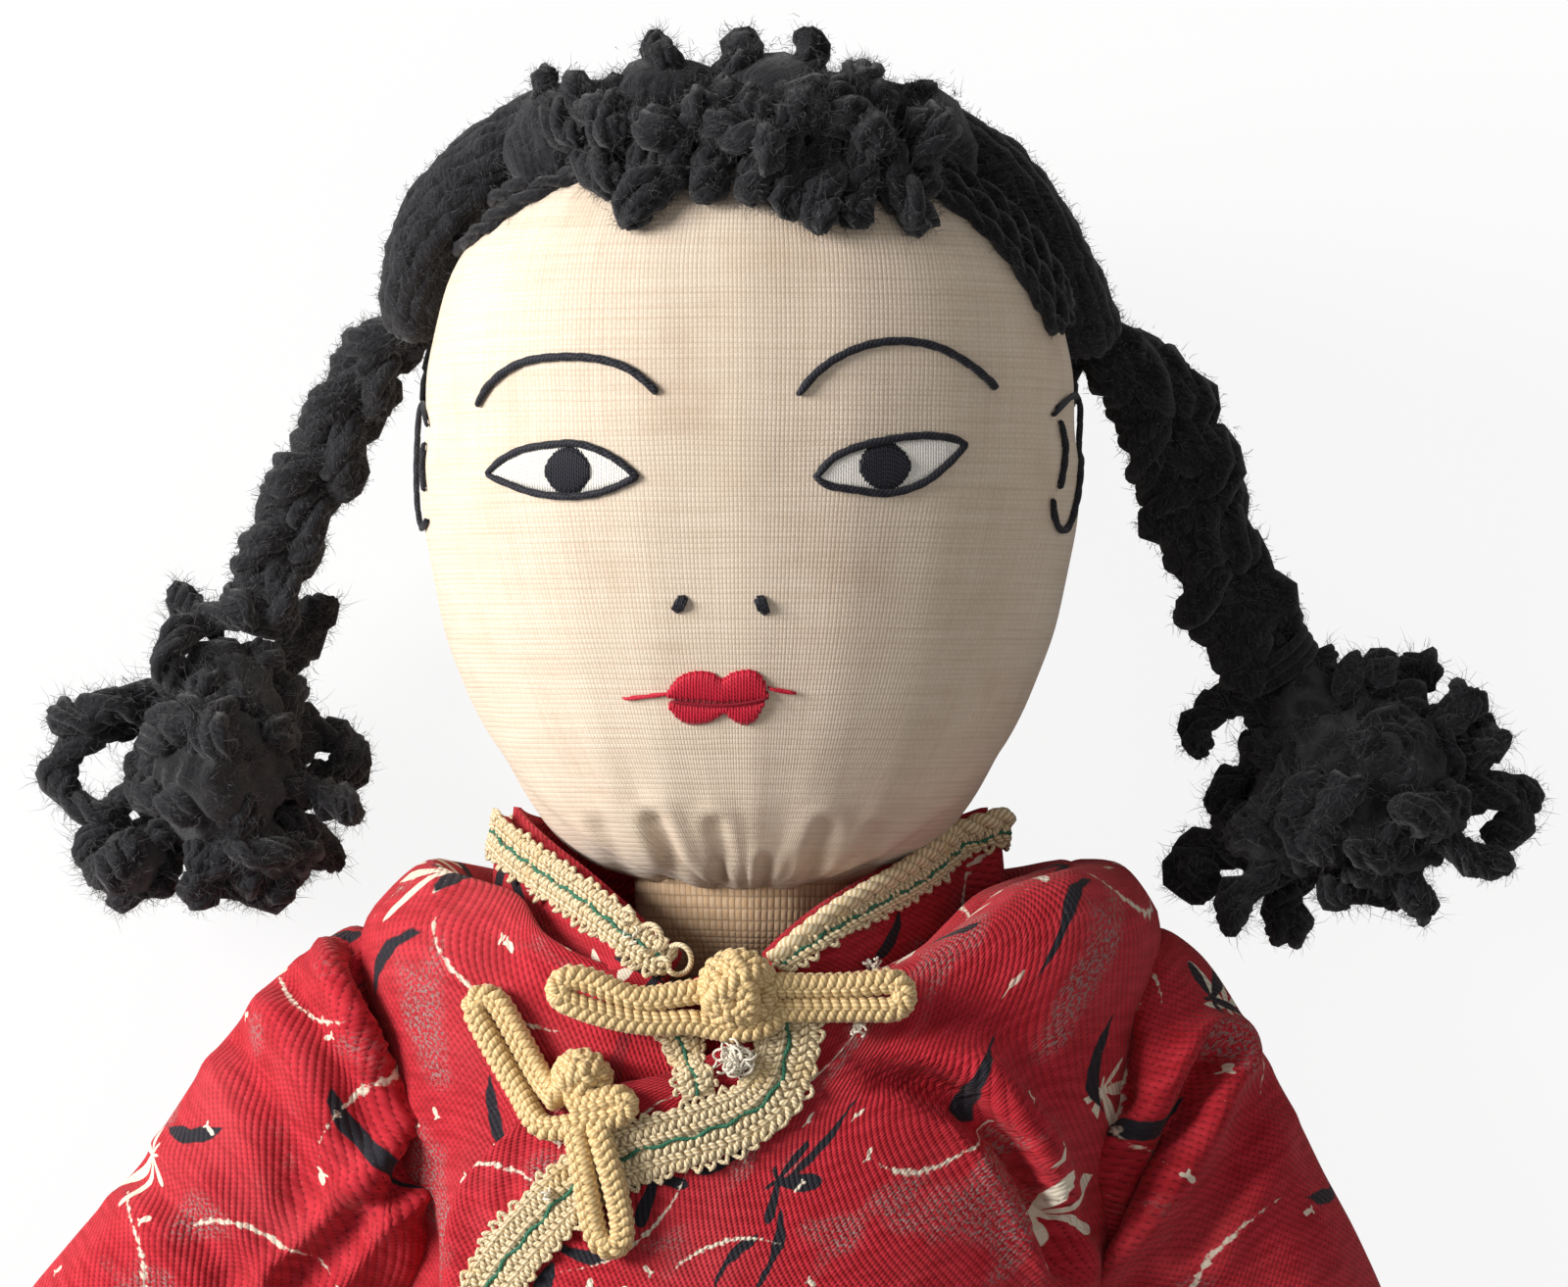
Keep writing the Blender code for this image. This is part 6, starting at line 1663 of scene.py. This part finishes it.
# %% Wool helpers
def wool_yarn(threads, places, radius, seed, step=0.0009, strands=6):
    """One soft yarn, uneven in thickness, with blunt rounded ends."""
    path = line_through(places, step)
    count = len(path)
    share = np.linspace(0, 1, count)
    lump = np.array([noise.noise(Vector((p[0] * 520 + seed, p[1] * 520, p[2] * 520)))
        for p in path])
    wobble = np.array([[noise.noise(Vector((s * 9 + seed, k * 7.7, seed))) for k in range(3)]
        for s in share])
    path = path + wobble * radius * 0.5 * np.sin(math.pi * share)[:, None]
    size = radius * (1 + 0.30 * lump)
    ends = radius * 1.1 / step
    from_end = np.minimum(np.arange(count), count - 1 - np.arange(count)) / ends
    size = size * np.minimum(1, from_end + 0.10) ** 0.55
    path[:, 2] = np.maximum(path[:, 2], size * 0.9 + 0.0001)
    threads.add(path, size * (0.80 if strands else 1.0))
    if strands:
        _, side, other = across_of(path[None])
        runs = np.arange(count) * step
        for k in range(strands):
            turn = 2 * math.pi * (runs / 0.011 + k / strands) + seed
            sway = np.array([noise.noise(Vector((r * 260, k * 3.3, seed * 1.7))) for r in runs])
            off = size * (0.66 + 0.45 * sway)
            place = path + side[0] * (np.cos(turn + sway) * off)[:,
                None] + other[0] * (np.sin(turn + sway) * off)[:, None]
            thin = size * (0.40 + 0.12 * sway)
            place[:, 2] = np.maximum(place[:, 2], thin)
            threads.add(place, thin)


def fuzz(name, masses, count, length, body, thick=0.000028, seed=1):
    """Fine curled fibres that stand out from some wool, wherever its faces lie open to the air."""
    cover = surface(*masses)
    chance = np.random.default_rng(seed)
    centres, normals, areas = [], [], []
    for item in masses:
        for face in sorted(item.data.polygons, key=lambda face: sorted(face.vertices)):
            centres.append(face.center)
            normals.append(face.normal)
            areas.append(face.area)
    centres, normals, areas = np.array(centres), np.array(normals), np.array(areas)
    drawn = chance.choice(len(areas), count * 3, p=areas / areas.sum())
    start, out = centres[drawn], normals[drawn]
    start = start + chance.normal(0, 0.30, start.shape) * np.sqrt(areas[drawn])[:,
        None] - out * 0.0001
    clear = start + out * 0.0005
    open_air = [i for i in range(len(start)) if cover.ray_cast(clear[i], out[i], 0.005)[0] is None]
    chosen = np.array(open_air[:count])
    start, out = start[chosen], out[chosen]
    many = len(start)
    heading = out * 0.34 + chance.normal(0, 0.66, (many, 3))
    heading /= np.linalg.norm(heading, axis=1, keepdims=True)
    turned = heading * 0.8 + chance.normal(0, 0.8, (many, 3))
    turned /= np.linalg.norm(turned, axis=1, keepdims=True)
    long = length * chance.uniform(0.3, 1.0, (many, 1)) ** 1.2
    bend = start + heading * long * 0.5
    tip = bend + turned * long * 0.6
    side = np.cross(heading, (0.31, 0.53, 0.79))
    side /= np.linalg.norm(side, axis=1, keepdims=True) + 1e-12
    other = np.cross(heading, side)
    turns = np.arange(3) * 2 * math.pi / 3
    ring = side[:, None] * np.cos(turns)[:, None] + other[:, None] * np.sin(turns)[:, None]
    points = np.concatenate([start[:, None] + ring * thick, bend[:, None] + ring * thick * 0.8,
        tip[:, None]], 1)
    points[:, :, 2] = np.maximum(points[:, :, 2], 0.00005 + 0.00002 * np.arange(7))
    base = 7 * np.arange(many)[:, None]
    faces = []
    for k in range(3):
        n = (k + 1) % 3
        faces += (base + np.array([k, n, 3 + n, 3 + k])).tolist()
        faces += (base + np.array([3 + k, 3 + n, 6])).tolist()
    faces += (base + np.array([2, 1, 0])).tolist()
    mesh = bpy.data.meshes.new(name)
    mesh.from_pydata(points.reshape(-1, 3).tolist(), [], faces)
    mesh.uv_layers.new(name="UVMap")
    made = bpy.data.objects.new(name, mesh)
    bpy.context.collection.objects.link(made)
    # The fibres wear the lighter wool colour: painted sheen.
    return finish_piece(made, WOOL_FIBRE_SHEEN, "black_wool", body, smooth=False)


# %% Roll over the forehead
ROLL = ((424, 330), (428, 272), (450, 218), (494, 168), (555, 132), (640, 116), (765, 112),
    (880, 116), (958, 142), (1012, 176), (1054, 226), (1086, 284), (1112, 345))
roll_line = line_through(ROLL, 8)
shares = np.linspace(0, 1, len(roll_line))
roll_places = np.array([tuple(at_height(px, py, 0.0250 + 0.0150 * math.sin(math.pi * s) ** 0.8))
    for (px, py), s in zip(roll_line, shares)])
roll_path = line_through(roll_places, 0.0011)
threads = Threads(9)
for i, wound in enumerate(plies(roll_path, 13, 0.0023, 0.110)):
    wool_yarn(threads, wound, 0.00120, i * 3.1, strands=0)
wool_yarn(threads, roll_path, 0.0026, 5.7, strands=0)
BAND = ((440, 330), (450, 292), (478, 254), (520, 220), (568, 192), (640, 172), (765, 162),
    (880, 172), (945, 196), (998, 232), (1040, 282), (1074, 342))
for k, off in enumerate((0, -10, -19)):
    band_line = [(px + (off if px < 700 else -off) * 0.6, py + off * 0.8) for px, py in BAND]
    path = on_ground(band_line, on_head, 0.0007 + 0.0004 * k, 0.0011, 0.026)[0]
    for i, wound in enumerate(plies(path, 2, 0.00042, 0.0062)):
        wool_yarn(threads, wound, 0.00056, 40 + 2 * k + i, strands=0)
roll = finish_piece(threads.make("hair_roll_yarns", rough=0.00020), WOOL, "black_wool", "head",
    ("hair_roll",))
fuzz("hair_roll_fuzz", [roll], 13000, 0.0015, "head", seed=3)

# %% Yarns over the back of the head
head_middle = Vector((0, 0.0850, 0.0268))
threads = Threads(8)
for k, lean in enumerate(np.linspace(math.radians(-88), math.radians(88), 46)):
    last = math.radians(58 + 74 * math.cos(lean) ** 0.8)
    places = []
    for tilt in np.linspace(math.radians(4), last, 24):
        way = Vector((math.sin(lean) * math.sin(tilt), math.cos(tilt),
            -math.cos(lean) * math.sin(tilt)))
        hit = on_head.ray_cast(head_middle + way * 0.08, -way, 0.08)[0]
        far = (hit - head_middle).length + 0.0012 + 0.0004 * math.sin(k * 2.4)
        place = head_middle + way * far
        place.z = max(place.z, 0.0016)
        places.append(tuple(place))
    wool_yarn(threads, places, 0.00150, k * 1.7, step=0.0016, strands=0)
cap = finish_piece(threads.make("hair_cap_yarns", rough=0.00020), WOOL, "black_wool", "head",
    ("hair_cap",))
fuzz("hair_cap_fuzz", [cap], 4500, 0.0018, "head", seed=4)

# %% Cut ends of the fringe
chooser = random.Random(21)
UPS = (
    (((690, 112), (684, 82), (678, 60), (668, 46), (674, 34)), 1.95),
    (((752, 104), (752, 74), (758, 50), (768, 30)), 2.35),
    (((812, 112), (822, 82), (826, 54), (826, 28)), 1.80),
    (((868, 120), (880, 100), (888, 88)), 2.0),
    (((905, 140), (925, 118), (942, 98), (952, 86)), 1.85),
    (((560, 120), (556, 100), (552, 84), (566, 74)), 1.5),
    (((725, 105), (716, 84), (700, 66)), 1.7),
    (((610, 110), (620, 92), (640, 84)), 1.7),
    (((850, 130), (862, 112), (850, 96)), 1.8),
)
DOWNS = (
    (((660, 150), (668, 180), (662, 205), (648, 226), (640, 238)), 2.05),
    (((720, 150), (728, 178), (722, 200), (708, 210)), 2.0),
    (((770, 160), (778, 185), (768, 205), (752, 208)), 1.9),
    (((830, 160), (838, 195), (832, 225), (836, 245)), 2.15),
    (((880, 160), (898, 190), (914, 212), (932, 232), (920, 240)), 2.0),
    (((600, 140), (608, 165), (618, 190), (640, 205)), 1.9),
    (((905, 150), (925, 172), (938, 200), (930, 215)), 1.8),
    (((800, 165), (806, 190), (800, 215), (812, 230)), 1.9),
    (((862, 170), (872, 200), (868, 225), (884, 236)), 1.8),
    (((700, 165), (694, 188), (676, 200), (684, 214)), 1.7),
)
threads = Threads(7)
for i, (line, size) in enumerate(UPS):
    places = [tuple(at_height(px, py, 0.0415 + 0.0015 * math.sin(i * 2 + k))) for k,
        (px, py) in enumerate(line)]
    wool_yarn(threads, places, size * 0.00086, 60 + i)
for i, (line, size) in enumerate(DOWNS):
    places = [tuple(spot(px, py, on_head, 0.0026 - 0.0004 * k + 0.0012 * (k == 0), 0.041)[0]) for k,
        (px, py) in enumerate(line)]
    wool_yarn(threads, places, size * 0.00090, 80 + i)
for i in range(34):
    px, py = chooser.uniform(590, 925), chooser.uniform(112, 188)
    turn, bend = chooser.uniform(0, 6.28), chooser.choice((-1, 1)) * chooser.uniform(1.2, 3.0)
    places = []
    for share in np.linspace(0, 1, 6):
        angle = turn + bend * share
        here = (px + 34 * (share - 0.3) * math.cos(angle),
            py + 26 * (share - 0.3) * math.sin(angle))
        rise = 0.0030 + 0.0022 * math.sin(math.pi * share) + chooser.uniform(0, 0.0006)
        places.append(tuple(spot(*here, on_head, rise, 0.0400)[0] + Vector((0, 0, 0.0008))))
    wool_yarn(threads, places, chooser.uniform(0.0015, 0.0019), 100 + i, strands=5)
FRINGE_CORE = ((520, 172), (566, 146), (640, 130), (765, 124), (880, 132), (948, 154), (990, 184))
core_places = [tuple(at_height(px, py, 0.0385 + 0.0016 * math.sin(k * 0.5))) for k,
    (px, py) in enumerate(FRINGE_CORE)]
wool_yarn(threads, core_places, 0.0050, 7.7, strands=0)
fringe = finish_piece(threads.make("hair_fringe_ends", rough=0.00016), WOOL, "black_wool", "head",
    ("hair_fringe",))
fuzz("hair_fringe_fuzz", [fringe], 16000, 0.0019, "head", seed=5)
fuzz("hair_fringe_halo", [fringe], 5000, 0.0027, "head", seed=15, thick=0.000020)

# %% [markdown]
# The braids are plaited from three yarns. Across the braid each yarn swings with a sine wave and
# dips with one of twice the pace, a third of a turn apart, which is how a plait passes over and
# under itself.

# %% Braids
BRAIDS = {
    "right": (((428, 330), (392, 352), (362, 400), (335, 455), (305, 515), (280, 575), (255, 640)),
    0.0021, 0.00185),
    "left": (((1112, 362), (1154, 376), (1188, 430), (1212, 490), (1235, 560), (1266, 625),
    (1305, 690)), 0.0028, 0.00245),
}
ROOT_Z, TASSEL_Z = 0.0240, 0.0130
for side, (line, swing, size) in BRAIDS.items():
    flat_line = line_through(line, 6)
    places = [tuple(at_height(px, py, ROOT_Z + (TASSEL_Z - ROOT_Z) * s)) for (px, py),
        s in zip(flat_line, np.linspace(0, 1, len(flat_line)))]
    path = line_through(places, 0.0007)
    along = across_of(path[None])[0][0]
    over = np.cross(along, (0, 0, 1))
    over /= np.linalg.norm(over, axis=1, keepdims=True)
    up = np.cross(over, along)
    up *= np.sign(up[:, 2:3])
    runs = np.linspace(0, 1, len(path)) * np.linalg.norm(np.diff(path, axis=0), axis=1).sum()
    threads = Threads(12)
    for k in range(3):
        turn = 2 * math.pi * (runs / 0.0235 + k / 3)
        start_small = np.minimum(1, 0.25 + runs / 0.012)
        strand = path + over * (start_small * swing * np.sin(turn))[:,
            None] + up * (0.0011 * np.sin(2 * turn))[:, None]
        wool_yarn(threads, strand, size, 200 + k, step=0.0010, strands=7)
    braid = finish_piece(threads.make(side + "_braid_yarns", rough=0.00020), WOOL, "black_wool",
        side + "_braid", (side + "_braid",))
    fuzz(side + "_braid_fuzz", [braid], 8000, 0.0016, side + "_braid", seed=6)
    threads = Threads(8)
    tie = path[int(len(path) * 0.93)]
    for turn_at in (-0.0007, 0.0003, 0.0013):
        middle = tie + along[int(len(path) * 0.93)] * turn_at
        ring = [middle + over[-4] * math.cos(t) * size * 1.75 + up[-4] * math.sin(t) * size * 1.45
            for t in np.linspace(0, 2 * math.pi, 22)]
        threads.add(np.array(ring), 0.00055)
    finish_piece(threads.make(side + "_braid_tie"), WOOL, "black_wool", side + "_braid",
        (side + "_braid_binding",))

# %% Tassels of cut ends
TASSELS = {
    "right": {
        "body": ((230, 792, 84, 92, 42), (240, 708, 56, 58, 13), (142, 872, 44, 44, 11),
        (266, 868, 66, 46, 13)),
        "ends": (
            ((225, 650), (205, 630), (186, 612), (184, 594)),
            ((262, 640), (236, 622), (208, 632), (180, 652), (172, 680), (190, 706), (222, 706),
            (244, 690)),
            ((290, 690), (305, 655), (322, 630), (340, 612)),
            ((186, 722), (150, 716), (112, 724), (82, 732), (52, 735)),
            ((150, 736), (110, 742), (76, 756), (62, 786), (70, 815), (98, 828), (128, 822)),
            ((170, 850), (150, 880), (128, 905), (118, 922)),
            ((205, 850), (205, 890), (196, 925)),
            ((270, 850), (290, 880), (305, 902)),
            ((290, 770), (322, 752), (348, 752), (360, 770), (345, 790), (316, 784)),
            ((290, 800), (325, 806), (356, 824), (362, 840)),
            ((280, 830), (312, 850), (336, 872), (344, 884)),
            ((140, 800), (112, 830), (92, 860), (88, 886)),
            ((240, 860), (256, 895), (262, 908)),
            ((300, 720), (312, 740), (318, 760)),
            ((150, 860), (112, 880), (96, 905)),
        ),
    },
    "left": {
        "body": ((1384, 800, 116, 106, 58), (1330, 722, 48, 44, 8), (1300, 850, 48, 40, 8)),
        "ends": (
            ((1300, 735), (1270, 715), (1240, 718), (1222, 745), (1224, 772)),
            ((1370, 720), (1375, 690), (1384, 666)),
            ((1420, 720), (1440, 690), (1450, 682), (1462, 700)),
            ((1460, 750), (1490, 720), (1505, 708)),
            ((1480, 780), (1515, 765), (1540, 750)),
            ((1480, 810), (1520, 800), (1552, 808), (1560, 824)),
            ((1460, 850), (1490, 868), (1520, 880), (1545, 880)),
            ((1480, 820), (1520, 808), (1548, 822), (1540, 846), (1512, 852)),
            ((1290, 860), (1245, 862), (1212, 880), (1216, 900), (1245, 900)),
            ((1300, 880), (1270, 910), (1258, 935), (1256, 955)),
            ((1340, 890), (1315, 905), (1305, 930), (1318, 945), (1338, 940)),
            ((1380, 890), (1385, 910), (1390, 922)),
            ((1430, 880), (1440, 905), (1450, 922), (1462, 912)),
            ((1340, 700), (1345, 680), (1356, 668)),
            ((1400, 700), (1410, 678), (1425, 672)),
            ((1270, 790), (1248, 806), (1238, 830)),
            ((1470, 770), (1500, 745), (1522, 735)),
            ((1350, 890), (1362, 915), (1375, 925)),
            ((1410, 890), (1420, 912), (1424, 926)),
            ((1290, 830), (1262, 840), (1240, 850)),
        ),
    },
}
for side, tassel in TASSELS.items():
    chooser = random.Random(31 if side == "right" else 32)
    cores, threads = [], Threads(8)
    for i, line in enumerate(tassel["ends"]):
        rise = 0.0125 + 0.0040 * math.sin(i * 2.3)
        places = [tuple(at_height(px, py, rise + 0.0012 * math.sin(k * 1.9 + i))) for k,
            (px, py) in enumerate(line)]
        wool_yarn(threads, places, chooser.uniform(0.00155, 0.00190), 300 + i, step=0.0008)
    for n, (px0, py0, wide, tall, number) in enumerate(tassel["body"]):
        middle = at_height(px0, py0, 0.0122)
        reach = Vector((wide * PIXEL, tall * PIXEL, 0.0108 if number > 20 else 0.0070))
        for i in range(number):
            turn, height = chooser.uniform(0, 6.28), chooser.uniform(-0.9, 1)
            ring = math.sqrt(1 - height * height)
            way = Vector((ring * math.cos(turn), ring * math.sin(turn), height))
            tangent = way.cross(Vector((chooser.gauss(0, 1), chooser.gauss(0, 1),
                chooser.gauss(0, 1)))).normalized()
            half, far = chooser.uniform(0.40, 0.85), chooser.uniform(0.74, 0.98)
            places = []
            for share in np.linspace(-1, 1, 6):
                here = way * math.cos(half * share) + tangent * math.sin(half * share)
                here = here * (far + 0.10 * share * chooser.uniform(0.5, 1.5))
                places.append((middle.x + here.x * reach.x, middle.y + here.y * reach.y,
                    middle.z + here.z * reach.z))
            wool_yarn(threads, places, chooser.uniform(0.0015, 0.0019), 400 + i, strands=4)
        deselect()
        bpy.ops.mesh.primitive_uv_sphere_add(segments=72, ring_count=48, radius=1)
        core = bpy.context.object
        core.name = f"{side}_tassel_core_{n}"
        core.data.transform(Matrix.Translation(middle) @ Matrix.Diagonal((*(reach * 0.88), 1)))
        ripple(core, 0.0014, 190, seed=n)
        ripple(core, 0.0009, 480, seed=n + 5)
        keep_above_floor(core, 0.0002)
        cores.append(finish_piece(core, WOOL, "black_wool", side + "_braid"))
    mass = finish_piece(threads.make(side + "_tassel_ends", rough=0.00016), WOOL, "black_wool",
        side + "_braid", (side + "_pompom",))
    fuzz(side + "_tassel_fuzz", [mass, *cores], 15500, 0.0023, side + "_braid", seed=7)
    fuzz(side + "_tassel_halo", [mass, *cores], 6000, 0.0034, side + "_braid", seed=17,
        thick=0.000022)
